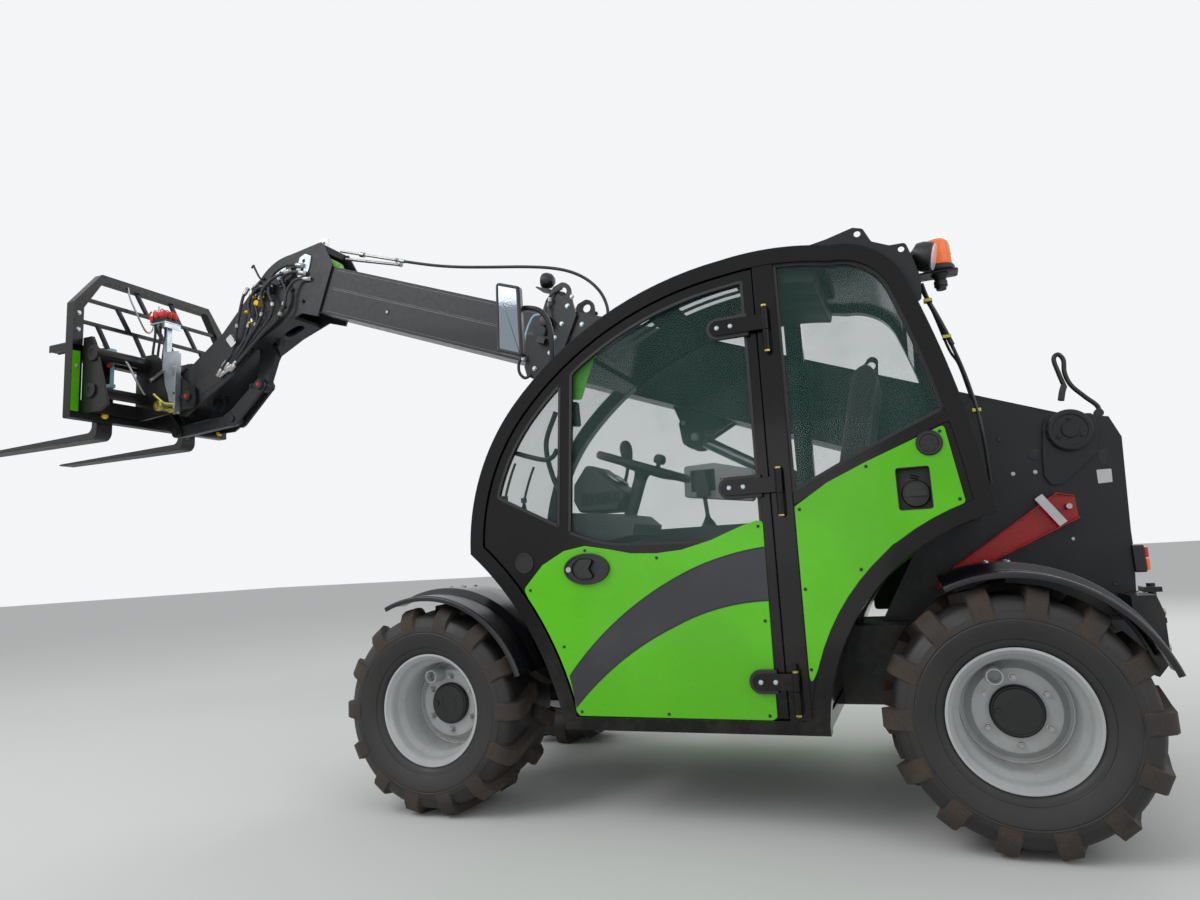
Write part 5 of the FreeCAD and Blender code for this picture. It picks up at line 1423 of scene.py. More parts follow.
@dataclass
class Door:
    """Cab door: frame, green panel with its grey band, panes, hinge straps and handle."""

    gap: float = .0003
    inset: float = .06
    width: float = .035
    rear: float = -.34
    y0: float = .708
    y1: float = .738
    bar: Point = (.39, .432)
    lean: float = .061         # of the bar between the panes, forward at its foot
    sill: float = .013         # of the black rim above the panel
    foot: float = .379

    def build(self) -> None:
        """Builds the door."""
        self.frame()
        self.glass()
        self.skin()
        self.band()
        self.straps()
        self.handle()
        self.small_parts()

    def windows(self, grow: float = 0.0) -> list[list[Point]]:
        """Outlines of the main window and the quarter light."""
        loop = clipped(cab_loop(self.inset + self.width - grow), (1, 0), self.rear + self.width - grow)
        loop = split_at(loop, [(x, z + self.sill - grow) for x, z in BELT_FRONT], True)
        main = clipped(loop, (-1, -self.lean), -self.bar[0] - self.lean * 1.25 - grow)
        quarter = clipped(loop, (1, self.lean), self.bar[1] + self.lean * 1.25 - grow)
        return [main, quarter]

    def frame(self) -> None:
        """Builds the frame around the panes and the panel's backing."""
        outer = clipped(cab_loop(self.inset, self.foot), (1, 0), self.rear)
        holes = [rounded(loop, .03, 6) for loop in self.windows()]
        form = Form()
        form.plate(outer, self.y0, self.y1 - .0005, holes)
        form.make("door_frame_pressing", FRAME_BLACK, Body.DOOR, replaces=["door_frame"], bevel=.004)
        for loop in self.windows(-.001):
            edge = rounded(loop, .03, 6)
            form.band(drawn_in(edge, -.004), drawn_in(edge, .006), self.y1 - .0105, self.y1 + .0015)
        form.make("door_pane_rubber", SEALANT, Body.DOOR, bevel=.0025)

    def glass(self) -> None:
        """Builds the two panes."""
        form = Form()
        for loop in self.windows(-.0012):
            form.plate(rounded(loop, .03, 6), self.y0 + .008, self.y0 + .013)
        form.make("door_panes", GLASS, Body.DOOR, replaces=["door_glass"])

    def skin(self) -> None:
        """Builds the green panel."""
        edge = [p for p in cab_loop(.0625) if .4 < p[1] < .822 and p[0] > .2]
        outline = [(-.31, 1.02), (-.309, .939), (-.306, .517), (-.305, .384), (-.291, .3745), (.394, .3775),
            (.407, .392)] + edge + [(.597, .829), (.517, .914), (.428, .961), (.343, .975), (.246, .957),
            (.166, .939), (.072, .934), (-.02, .941), (-.127, .968), (-.19, .992), (-.232, 1.008), (-.288, 1.024)]
        form = Form()
        form.plate(rounded(outline, .02), self.y1 + self.gap, self.y1 + self.gap + .005)
        form.make("door_panel_green", GREEN, Body.DOOR, replaces=["door_panel"], bevel=.0018)

    def band(self) -> None:
        """Builds the grey band across the panel with its dark edge lines."""
        top = traced([(.427, .517), (.228, .712, -.046, .872), (-.182, .915, -.309, .936)], 20)
        low = traced([(.405, .405), (.23, .56, .013, .682), (-.109, .728, -.308, .756)], 20)
        y = self.y1 + self.gap + .005
        form = Form()
        form.plate(top + low[::-1], y, y + .0005)
        form.make("door_band_grey", SWOOSH, Body.DOOR)
        for line, sign in ((top, -1), (low, 1)):
            edge = [(x, z + sign * .0055) for x, z in line]
            form.plate(line + edge[::-1], y + .0005, y + .0009)
        form.make("door_band_lines", TRIM_BLACK, Body.DOOR, Slot.BLACK)

    def straps(self) -> None:
        """Builds the hinge straps with their sleeves and bolts."""
        x, y = -.378, .762
        form, bolts, pads = Form(), Form(), Form()
        for z, reach in ((.49, .232), (1.13, .183), (1.69, .183)):
            end = x + .013 + reach if reach < .2 else -.237
            form.rod((x, y, z - .0213), (x, y, z + (.06 if z > .6 else .0383)), .0125, 24)
            half = .0265
            mid = z + .0085
            tip = [(end - half + half * math.cos(a), mid + half * math.sin(a)) for a in (math.radians(-90 + 15 * k)
                for k in range(13))]
            form.plate([(x, mid - half)] + tip + [(x, mid + half)], y - .004, y + .004)
            wide = [(end - half + (half + .012) * math.cos(a), mid + (half + .012) * math.sin(a))
                for a in (math.radians(-90 + 15 * k) for k in range(13))]
            pads.plate([(-.318, mid - half - .012)] + wide + [(-.318, mid + half + .012)], self.y1 - .0002 if z > .6
                else self.y1 + .0062, y - .0042)
            for back in (.028, .076):
                bolts.lathe([(0, 0), (.0085, 0), (.0085, .002), (.0065, .0045), (0, .005)], (end - back, y + .004,
                    mid), (0, 1, 0), 20)
        form.make("door_hinge_straps", FRAME_BLACK, Body.DOOR, bevel=.0015)
        pads.make("door_hinge_pads", TRIM_BLACK, Body.DOOR, bevel=.002)
        bolts.make("door_hinge_bolts", ZINC, Body.DOOR)

    def handle(self) -> None:
        """Builds the sunk handle with its grip and lock."""
        y = self.y1 + .0056
        x, z = .337, .892
        ring = circle(x, z, .088, 48, .056 / .088)
        cup = circle(x + .006, z, .052, 40, .04 / .052)
        form = Form()
        form.plate(ring, y, y + .0085, [cup])
        form.plate(circle(x + .006, z, .0525, 40, .0405 / .0525), y, y + .0015)
        form.band(ring, drawn_in(ring, .007), y + .0084, y + .0125)
        form.make("door_handle_cup", TRIM_BLACK, Body.DOOR, replaces=["door_handle"], bevel=.0015)
        form.plate(rounded([(x - .03, z - .034), (x + .026, z - .034), (x + .046, z), (x + .026, z + .034),
            (x - .03, z + .034), (x - .01, z)], .01), y + .006, y + .017)
        form.make("door_handle_grip", CAP_BLACK, Body.DOOR, bevel=.002)
        form.lathe([(0, .008), (.0105, .008), (.0105, .0115), (.009, .013), (0, .013)], (x + .07, y, z), (0, 1, 0),
            24)
        form.block((x + .069, y + .0128, z - .006), (x + .071, y + .0142, z + .006))
        form.make("door_lock", STEEL, Body.DOOR)

    def small_parts(self) -> None:
        """Builds the panel's screws and the speaker in front of the door's belt."""
        y = self.y1 + self.gap + .005
        form = Form()
        for x, z in ((.343, .959), (.071, .918), (-.293, 1.004), (.57, .824), (.443, .618), (.385, .392),
                (.062, .389), (-.281, .389), (-.291, .692)):
            form.lathe([(0, 0), (.0055, 0), (.0048, .0022), (.0022, .003), (0, .0024)], (x, y, z), (0, 1, 0), 16)
        x, z = .592, .925
        form.lathe([(0, -.006), (.038, -.006), (.038, .003), (.036, .005), (.032, .005), (.03, .003), (0, .004)],
            (x, self.y1, z), (0, 1, 0), 40)
        for ring, count in ((.009, 6), (.018, 12), (.026, 16)):
            for k in range(count):
                turn = math.tau * k / count
                form.lathe([(0, .003), (.0026, .003), (.002, .0052), (0, .0056)], (x + ring * math.cos(turn), self.y1,
                    z + ring * math.sin(turn)), (0, 1, 0), 8)
        form.make("door_screws", TRIM_BLACK, Body.DOOR)


def swollen(piece: bpy.types.Object, voxel: float, pressure: float, cap: float) -> None:
    """Remeshes a pad, swells it by cloth pressure and smooths it.

    Args:
        piece: the pad, made of lobes that meet.
        voxel: size of the new mesh's squares.
        pressure: of the air in it.
        cap: how far a point may move.
    """
    def settle() -> None:
        """Turns the modifiers' result into the piece's own mesh."""
        data = bpy.data.meshes.new_from_object(piece.evaluated_get(bpy.context.evaluated_depsgraph_get()))
        piece.modifiers.clear()
        piece.data = data

    remesh = piece.modifiers.new("remesh", "REMESH")
    remesh.mode = "VOXEL"
    remesh.voxel_size = voxel
    remesh.use_smooth_shade = True
    settle()
    start = [vert.co.copy() for vert in piece.data.vertices]
    cloth = piece.modifiers.new("air", "CLOTH")
    cloth.settings.use_pressure = True
    cloth.settings.uniform_pressure_force = pressure
    cloth.settings.effector_weights.gravity = 0.0
    for number in range(1, 21):
        bpy.context.scene.frame_set(number)
    settle()
    bpy.context.scene.frame_set(1)
    for vert, before in zip(piece.data.vertices, start):
        move = vert.co - before
        if move.length > cap:
            vert.co = before + move.normalized() * cap
    soften = piece.modifiers.new("soften", "SMOOTH")
    soften.factor, soften.iterations = .5, 4
    finer = piece.modifiers.new("finer", "SUBSURF")
    finer.levels = finer.render_levels = 1
    settle()


@dataclass
class Seat:
    """Driver's seat: cushion and back with side bolsters, piping and a shell."""

    left: float = .612
    right: float = .228
    bolster: float = .078      # width of a side bolster

    def build(self) -> None:
        """Builds the seat."""
        self.pad("seat_cushion", [(-.455, .826), (-.03, .842), (-.004, .872), (-.012, .912), (-.07, .932),
            (-.44, .912)], (.014, .01), ["seat"])
        self.pad("seat_back", [(-.456, .946), (-.57, 1.19), (-.648, 1.528), (-.684, 1.546), (-.706, 1.512),
            (-.63, 1.16), (-.534, .886), (-.472, .862)], (.012, .006), [])
        self.shell()

    def pad(self, name: str, outline: list[Point], rise: Point, replaces: list[str]) -> None:
        """Builds one pad of a middle and two bolsters.

        Args:
            name: the piece's name.
            outline: the middle's section.
            rise: how much the bolsters stand out and the middle is drawn in.
            replaces: nodes that it stands for.
        """
        form = Form()
        low, high = self.right, self.left
        for y0, y1, grow in ((low, low + self.bolster, rise[0] * .4), (high - self.bolster, high, rise[0] * .4),
                (low + self.bolster - .002, high - self.bolster + .002, -rise[1])):
            section = rounded(drawn_in(outline[::-1] if self.turns_right(outline) else outline, -grow), .022, 4)
            for inset, trim in ((.014, 0.0), (.004, .006), (0.0, .016)):
                form.plate(drawn_in(section, inset), y0 + trim, y1 - trim)
        piece = form.make(name, SEAT_CLOTH, replaces=replaces)
        swollen(piece, .008, 4.0, .01)
        trim = Form()
        inner = self.bolster
        ring = rounded(outline[::-1] if self.turns_right(outline) else outline, .03, 5)
        for y in (low + inner, high - inner):
            for a, b in zip(ring, ring[1:]):
                if math.dist(a, b) > .002:
                    trim.rod((a[0], y, a[1]), (b[0], y, b[1]), .0032, 8)
        trim.make(name + "_piping", TRIM_BLACK, Body.CHASSIS, Slot.SEAT)

    @staticmethod
    def turns_right(outline: list[Point]) -> bool:
        """True for an outline that runs clockwise."""
        return sum(a[0] * b[1] - b[0] * a[1] for a, b in zip(outline, outline[1:] + outline[:1])) < 0

    def shell(self) -> None:
        """Builds the plastic shell behind the back, the recliner covers and the armrest."""
        y0, y1 = self.right + .02, self.left - .02
        form = Form()
        form.plate(rounded([(-.486, .85), (-.548, .876), (-.648, 1.16), (-.716, 1.5), (-.706, 1.512), (-.63, 1.16),
            (-.534, .89)], .006), y0, y1)
        for y in (self.right - .004, self.left - .006):
            form.plate(rounded([(-.56, .82), (-.43, .82), (-.43, .88), (-.5, .95), (-.56, .93)], .02), y, y + .01)
        form.make("seat_shell", TRIM_BLACK, bevel=.003)
        form.plate(rounded([(-.556, 1.09), (-.3, 1.112), (-.27, 1.132), (-.3, 1.15), (-.556, 1.14)], .018), .166,
            .218)
        form.make("seat_armrest", TRIM_BLACK, bevel=.01)
        for low, high in ((.8, .806), (.786, .792)):
            form.block((-.43, .25, low), (-.03, .59, high))
        for x in (-.4, -.25, -.1):
            form.block((x, .232, .7), (x + .06, .608, .782))
        form.make("seat_rails", STEEL, bevel=.002)


@dataclass
class Controls:
    """Steering wheel, instrument pod, levers and console in the cab."""

    wheel: Place = (.212, .4, 1.282)
    wheel_radius: float = .182
    tilt: float = -20.0

    def build(self) -> None:
        """Builds the controls."""
        self.steering_wheel()
        self.instruments()
        self.console()

    def steering_wheel(self) -> None:
        """Builds the wheel with its spokes, hub and knob."""
        r, t = self.wheel_radius, .0165
        place = Matrix.Translation(self.wheel) @ Matrix.Rotation(math.radians(self.tilt), 4, "Y")
        form = Form()
        form.lathe([(r + t * math.cos(math.tau * k / 12), t * math.sin(math.tau * k / 12)) for k in range(12)],
            (0, 0, 0), (0, 0, 1), 72)
        form.lathe([(0, -.052), (.026, -.052), (.03, -.03), (.037, -.022), (.037, -.002), (.03, .006), (0, .009)],
            (0, 0, 0), (0, 0, 1), 40)
        for turn in (90, 210, 330):
            c, s = math.cos(math.radians(turn)), math.sin(math.radians(turn))
            path = smooth_path([(c * d, s * d, z) for d, z in ((.03, -.014), (.08, -.016), (.13, -.01),
                (r - .004, -.001))], 4)
            for shift in (-.012, 0.0, .012):
                form.tube([p + Vector((-s * shift, c * shift, 0)) for p in path], .01 - abs(shift) * .25, 10)
        knob = Vector((r * math.cos(2.2), r * math.sin(2.2), 0))
        form.rod(knob, knob + Vector((0, 0, .03)), .009, 16)
        form.lathe([(0, .026), (.02, .028), (.024, .04), (.023, .052), (.016, .062), (0, .065)], knob, (0, 0, 1), 28)
        form.make("steering_wheel_rim", TRIM_BLACK, Body.STEERING, replaces=["steering_wheel"], place=place)

    def instruments(self) -> None:
        """Builds the pod with its dials over the dash."""
        form = Form()
        form.plate(rounded([(.262, 1.176), (.3, 1.112), (.462, 1.112), (.486, 1.16), (.482, 1.226), (.426, 1.3),
            (.396, 1.296)], .022), .3, .5)
        form.make("instrument_pod", CONSOLE_GREY, bevel=.012)
        out = Vector((-.66, 0, .75)).normalized()
        centre = Vector((.331, .4, 1.24))
        for y, radius in ((-.052, .03), (.052, .03), (0.0, .018)):
            form.lathe([(0, 0), (radius + .004, 0), (radius + .004, .007), (radius, .007), (radius, .004), (0, .004)],
                centre + Vector((0, y, 0)), out, 36)
        form.make("dial_rings", TRIM_BLACK)
        # Dial faces in the lamp-lens finish, so they carry its painted glow.
        for y, radius in ((-.052, .029), (.052, .029), (0.0, .017)):
            form.lathe([(0, .0042), (radius, .0042), (radius, .0052), (0, .0052)], centre + Vector((0, y, 0)), out, 32)
        form.make("dial_faces", WHITE_LENS, Body.CHASSIS, Slot.PLASTIC)
        for k in range(6):
            form.block((.3 + .024 * k, .508, 1.15), (.316 + .024 * k, .514, 1.176))
        form.block((.286, .4998, 1.14), (.446, .509, 1.186))
        form.make("dash_switches", TRIM_BLACK, bevel=.0015)

    def console(self) -> None:
        """Builds the pale box on the inner wall, the levers and the grab bar."""
        y0, y1 = .08, .129
        form = Form()
        box = rounded([(-.17, 1.128), (.128, 1.166), (.122, 1.3), (-.01, 1.304), (-.176, 1.262)], .016)
        form.plate(box, y0, y1)
        form.make("console_box", WHITE_PLASTIC, bevel=.006)
        for column in range(9):
            for row in range(6):
                x, z = -.14 + .0125 * column, 1.166 + .0125 * row
                form.block((x, y1 - .001, z), (x + .0075, y1 + .0012, z + .0075))
        form.block((-.012, y1 - .001, 1.186), (.094, y1 + .0015, 1.278))
        form.rod((.11, y1 - .001, 1.24), (.11, y1 + .01, 1.24), .008, 16)
        form.make("console_grille", TRIM_BLACK)
        form.tube(smooth_path(((.345, .3, 1.14), (.34, .3, 1.21), (.322, .3, 1.27), (.314, .3, 1.31))), .0075, 12)
        form.lathe([(0, -.008), (.013, -.004), (.02, .012), (.025, .036), (.027, .062), (.022, .082), (.012, .094),
            (0, .097)], (.312, .3, 1.318), (.12, 0, 1), 28)
        form.lathe([(0, 0), (.03, 0), (.024, .016), (.015, .03), (.009, .044), (0, .046)], (.345, .3, 1.118),
            (-.1, 0, 1), 28)
        form.lathe([(0, 0), (.034, 0), (.028, .018), (.016, .036), (.01, .05), (0, .052)], (.022, .152, 1.03),
            (.1, 0, 1), 28)
        form.tube(smooth_path(((.455, .64, 1.15), (.5, .65, 1.25), (.52, .655, 1.38), (.47, .66, 1.5))), .01, 14)
        form.make("cab_levers", TRIM_BLACK)
        form.tube(smooth_path(((.672, .7, 1.362), (.64, .692, 1.353), (.575, .69, 1.33), (.511, .69, 1.313),
            (.476, .692, 1.322), (.455, .698, 1.346))), .0095, 14)
        form.make("door_grab_bar", TRIM_BLACK, Body.DOOR)
        # Green plate, and dark box with its knob below it, inside the door's front top: a painted reflection seen
        # through the glass there.
        form.plate(rounded([(.396, 1.664), (.345, 1.673), (.269, 1.697), (.282, 1.668), (.34, 1.524), (.396, 1.531)],
            .008), .7035, .7085)
        form.make("door_green_reflection", GREEN, Body.DOOR, bevel=.001)
        form.plate(rounded([(.354, 1.424), (.4, 1.43), (.404, 1.524), (.358, 1.518)], .008), .688, .7085)
        form.rod((.372, .684, 1.47), (.372, .69, 1.47), .01, 20)
        form.make("door_dark_reflection", TRIM_BLACK, Body.DOOR, bevel=.003)
        for y in (.35, .52):
            line = [(x, y, z) for x, z in drawn_in(CAB_EDGE, .01)[18:27]]
            form.tube(line, .0055, 8)
            form.block((line[4][0] - .006, y - .012, line[4][2] - .01), (line[4][0] + .01, y + .012, line[4][2] + .01))
        low, high = drawn_in(CAB_EDGE, .006)[15], drawn_in(CAB_EDGE, .004)[22]
        for y in (.35, .52):
            form.rod((low[0], y - .1, low[1]), (high[0], y, high[1]), .0065, 10)
            form.rod((low[0] - .016, y - .1, low[1]), (low[0] + .012, y - .1, low[1]), .016, 18)
        form.make("screen_wipers", TRIM_BLACK)
        for y in (.28, .36, .44):
            form.plate(rounded([(.452, .56), (.47, .55), (.52, .65), (.505, .664)], .006), y, y + .05)
            form.rod((.5, y + .025, .64), (.545, y + .025, .7), .007, 12)
        form.make("foot_pedals", TRIM_BLACK, bevel=.003)


def boom_frame(across: float = 0.0) -> Matrix:
    """Transform from (u, distance to the left, w) on the boom to the row frame."""
    return Matrix.Translation(boom_point(0, 0, across)) @ Matrix.Rotation(-BOOM_ANGLE, 4, "Y")


@dataclass
class BoomSides:
    """Fittings on the two stages of the boom."""

    inner_half: float = .11
    outer_half: float = .14
    guide_out: float = .1563

    def build(self) -> None:
        """Builds all of it."""
        self.inner_stage()
        self.outer_stage()
        self.guide_fittings()
        self.horn()
        self.cylinder()

    def inner_stage(self) -> None:
        """Builds the pale strips painted as highlights along the folded seams, and the plugs along the inner stage."""
        form = Form()
        # Thin pale strips: painted highlight along the folded seams.
        for side in (-1, 1):
            y = side * self.inner_half
            for w, high in ((-.0895, .003), (-.08, .0016), (.02, .0022), (-.218, .0022)):
                form.block((2.375, min(y, y + side * .0004), w), (3.7, max(y, y + side * .0004), w + high))
        form.make("boom_seam_highlights", SEAM_HIGHLIGHT, Body.INNER, place=boom_frame())
        for side in (-1, 1):
            for u in (3.291, 2.56):
                form.lathe([(0, -.002), (.0155, -.002), (.0155, .0016), (.0135, .003), (.0095, .003), (.0085, .0012),
                    (0, .0012)], (u, side * self.inner_half, -.145), (0, side, 0), 32)
        form.make("boom_plugs", TRIM_BLACK, Body.INNER, place=boom_frame())
        for side in (-1, 1):
            for u in (3.291, 2.56):
                form.lathe([(0, .001), (.0075, .001), (.007, .0026), (0, .0032)], (u, side * self.inner_half, -.145),
                    (0, side, 0), 24)
        form.make("boom_plug_centres", WHITE_PLASTIC, Body.INNER, place=boom_frame())

    def outer_stage(self) -> None:
        """Builds the lift pin's plates, the pad bolts and the pipes along the outer stage."""
        form = Form()
        y = self.outer_half
        for side in (-1, 1):
            ear = .0475
            spread = [(1.392, -.42), (1.388, -.345), (1.42, -.325), (1.52, -.305), (1.535, -.33), (1.486, -.42),
                (1.44, -.432)]
            low = min(side * ear, side * (ear + .008))
            form.plate(rounded(spread, .03, 6), low, low + .008)
            form.lathe([(0, .006), (.0425, .006), (.0445, .009), (.0445, .022), (.041, .026), (.024, .026),
                (.022, .021), (0, .021)], (1.437, side * ear, -.375), (0, side, 0), 40)
            for u in (.35, .75, 1.15, 1.75, 2.05):
                low = min(side * y, side * (y + .0014))
                form.block((u, low, -.236), (u + .26, low + .0014, -.231))
            low = min(side * y, side * (y + .0014))
            form.block((.3, low, -.109), (2.25, low + .0014, -.105))
        form.make("boom_pin_plates", ANTHRACITE, Body.OUTER, bevel=.003, place=boom_frame())
        for side in (-1, 1):
            for u in (2.115, 2.17):
                for w in (-.205, -.06, .01):
                    form.nut((u, side * y, w), (0, side, 0), .016, .008)
            form.nut((1.437, side * .068, -.375), (0, side, 0), .026, .01)
            form.nut((1.512, side * .0553, -.326), (0, side, 0), .016, .007)
        for u in (2.115, 2.185):
            for side in (-.07, .07):
                form.nut((u, side, .067), (0, 0, 1), .016, .008)
        form.make("wear_pad_bolts", ZINC, Body.OUTER, place=boom_frame())
        for k, lift in enumerate((.0, .004, .0)):
            side = -.078 + .026 * k
            form.tube(smooth_path(((.3, side, .078), (.8, side, .077), (1.5, side, .077), (1.88, side, .078),
                (1.96, side, .083 + lift), (2.01, side * .8, .098 + lift))), .0068, 12)
            form.nut((1.995, side * .84, .094 + lift), (1, 0, .25), .019, .016, washer=False)
        form.make("boom_pipes", STEEL, Body.OUTER, place=boom_frame())
        for u in (.55, 1.05, 1.55, 1.84):
            form.plate(rounded([(u, .0672), (u + .026, .0672), (u + .026, .088), (u, .088)], .004), -.099, -.008)
            form.nut((u + .013, -.091, .088), (0, 0, 1), .01, .006)
        form.make("boom_pipe_clamps", TRIM_BLACK, Body.OUTER, bevel=.002, place=boom_frame())

    def guide_fittings(self) -> None:
        """Builds the bolts, motor, cable and tube on the roller guides."""
        y = self.guide_out
        form = Form()
        for u, w in ((2.213, -.011), (2.229, -.085), (2.233, -.162), (2.12 + .065, -.215), (2.21, .08), (2.29, -.255),
                (2.2, .13)):
            form.nut((u, y, w), (0, 1, 0), .016, .009)
            form.nut((u, -y, w), (0, -1, 0), .016, .009)
        form.make("guide_bolts", ZINC, Body.OUTER, place=boom_frame())
        form.lathe([(0, 0), (.026, 0), (.028, .003), (.028, .044), (.024, .05), (.01, .052), (0, .052)],
            (2.286, y, -.02), (0, 1, 0), 32)
        form.rod((2.286, y + .01, -.048), (2.286, y + .01, -.085), .01, 16)
        form.block((2.262, y, -.13), (2.305, y + .034, -.1))
        form.tube(smooth_path(((2.352, y + .01, -.2), (2.372, y + .018, -.24), (2.36, y + .014, -.29),
            (2.325, y + .008, -.312), (2.296, y + .004, -.29))), .0075, 12)
        form.tube(smooth_path(((2.29, y + .04, .006), (2.31, y + .034, .07), (2.3, y + .012, .12), (2.262, y + .002,
            .16))), .0052, 10)
        form.make("guide_sensor", TRIM_BLACK, Body.OUTER, bevel=.002, place=boom_frame())
        form.tube(smooth_path(((2.34, y + .006, .01), (2.372, y + .012, -.013), (2.382, y + .014, -.11),
            (2.362, y + .01, -.226))), .006, 12)
        form.make("guide_grease_tube", BLUE_TUBE, Body.OUTER, place=boom_frame())
        for u, w in ((2.3, .088), (2.308, .062), (2.352, -.222)):
            form.rod((u, y + .024, w - .01), (u + .002, y + .024, w + .01), .009, 14)
        form.make("guide_connectors", WHITE_PLASTIC, Body.OUTER, place=boom_frame())

    def horn(self) -> None:
        """Builds the round lamp on its bracket over the guides."""
        form = Form()
        u, w, side = 2.4, .196, .085
        form.lathe([(0, -.044), (.02, -.04), (.036, -.024), (.0415, 0), (.04, .012), (.036, .02), (.033, .022),
            (.032, .018), (0, .018)], (u, side, w), (1, 0, -.15), 36)
        form.rod((u - .01, side, w - .052), (u - .01, side, w - .032), .009, 16)
        form.plate(rounded([(u - .15, w - .058), (u + .012, w - .058), (u + .012, w - .051), (u - .15, w - .051)],
            .002), side - .022, side + .068)
        form.make("boom_lamp", TRIM_BLACK, Body.OUTER, bevel=.0015, place=boom_frame())
        form.lathe([(0, .0182), (.0315, .0182), (.03, .0215), (0, .0235)], (u, side, w), (1, 0, -.15), 32)
        form.make("boom_lamp_lens", WHITE_LENS, Body.OUTER, place=boom_frame())

    def cylinder(self) -> None:
        """Builds the lift cylinder's smooth barrel and rod over their solids."""
        base = Vector((-1.15, BOOM_Y, .72))
        eye = boom_point(1.437, -.375)
        ahead = (eye - base).normalized()
        length = (eye - base).length
        form = Form()
        form.lathe([(.0292, .105), (.042, .105), (.048, .112), (.048, .938), (.0525, .944), (.0525, 1.008),
            (.049, 1.0135), (.0292, 1.0135)], base, ahead, 64)
        form.rod(base + ahead * .03, base + ahead * .11, .034, 32)
        form.lathe([(.026, -.034), (.0445, -.034), (.0455, -.03), (.0455, .03), (.0445, .034), (.026, .034)], base,
            (0, 1, 0), 48)
        for distance in (.16, .9):
            form.lathe([(.047, distance), (.062, distance), (.062, distance + .03), (.047, distance + .03)], base,
                ahead, 24, (60, 120))
        form.make("lift_barrel_tube", ANTHRACITE, Body.BARREL, replaces=["lift_barrel"], bevel=.0015)
        form.rod(base + ahead * .33, base + ahead * (length - .034), .0278, 48, .002)
        form.lathe([(.0205, -.03), (.04, -.03), (.042, -.027), (.042, .027), (.04, .03), (.0205, .03)], eye,
            (0, 1, 0), 48)
        form.make("lift_rod_chrome", CHROME, Body.ROD, replaces=["lift_rod"])


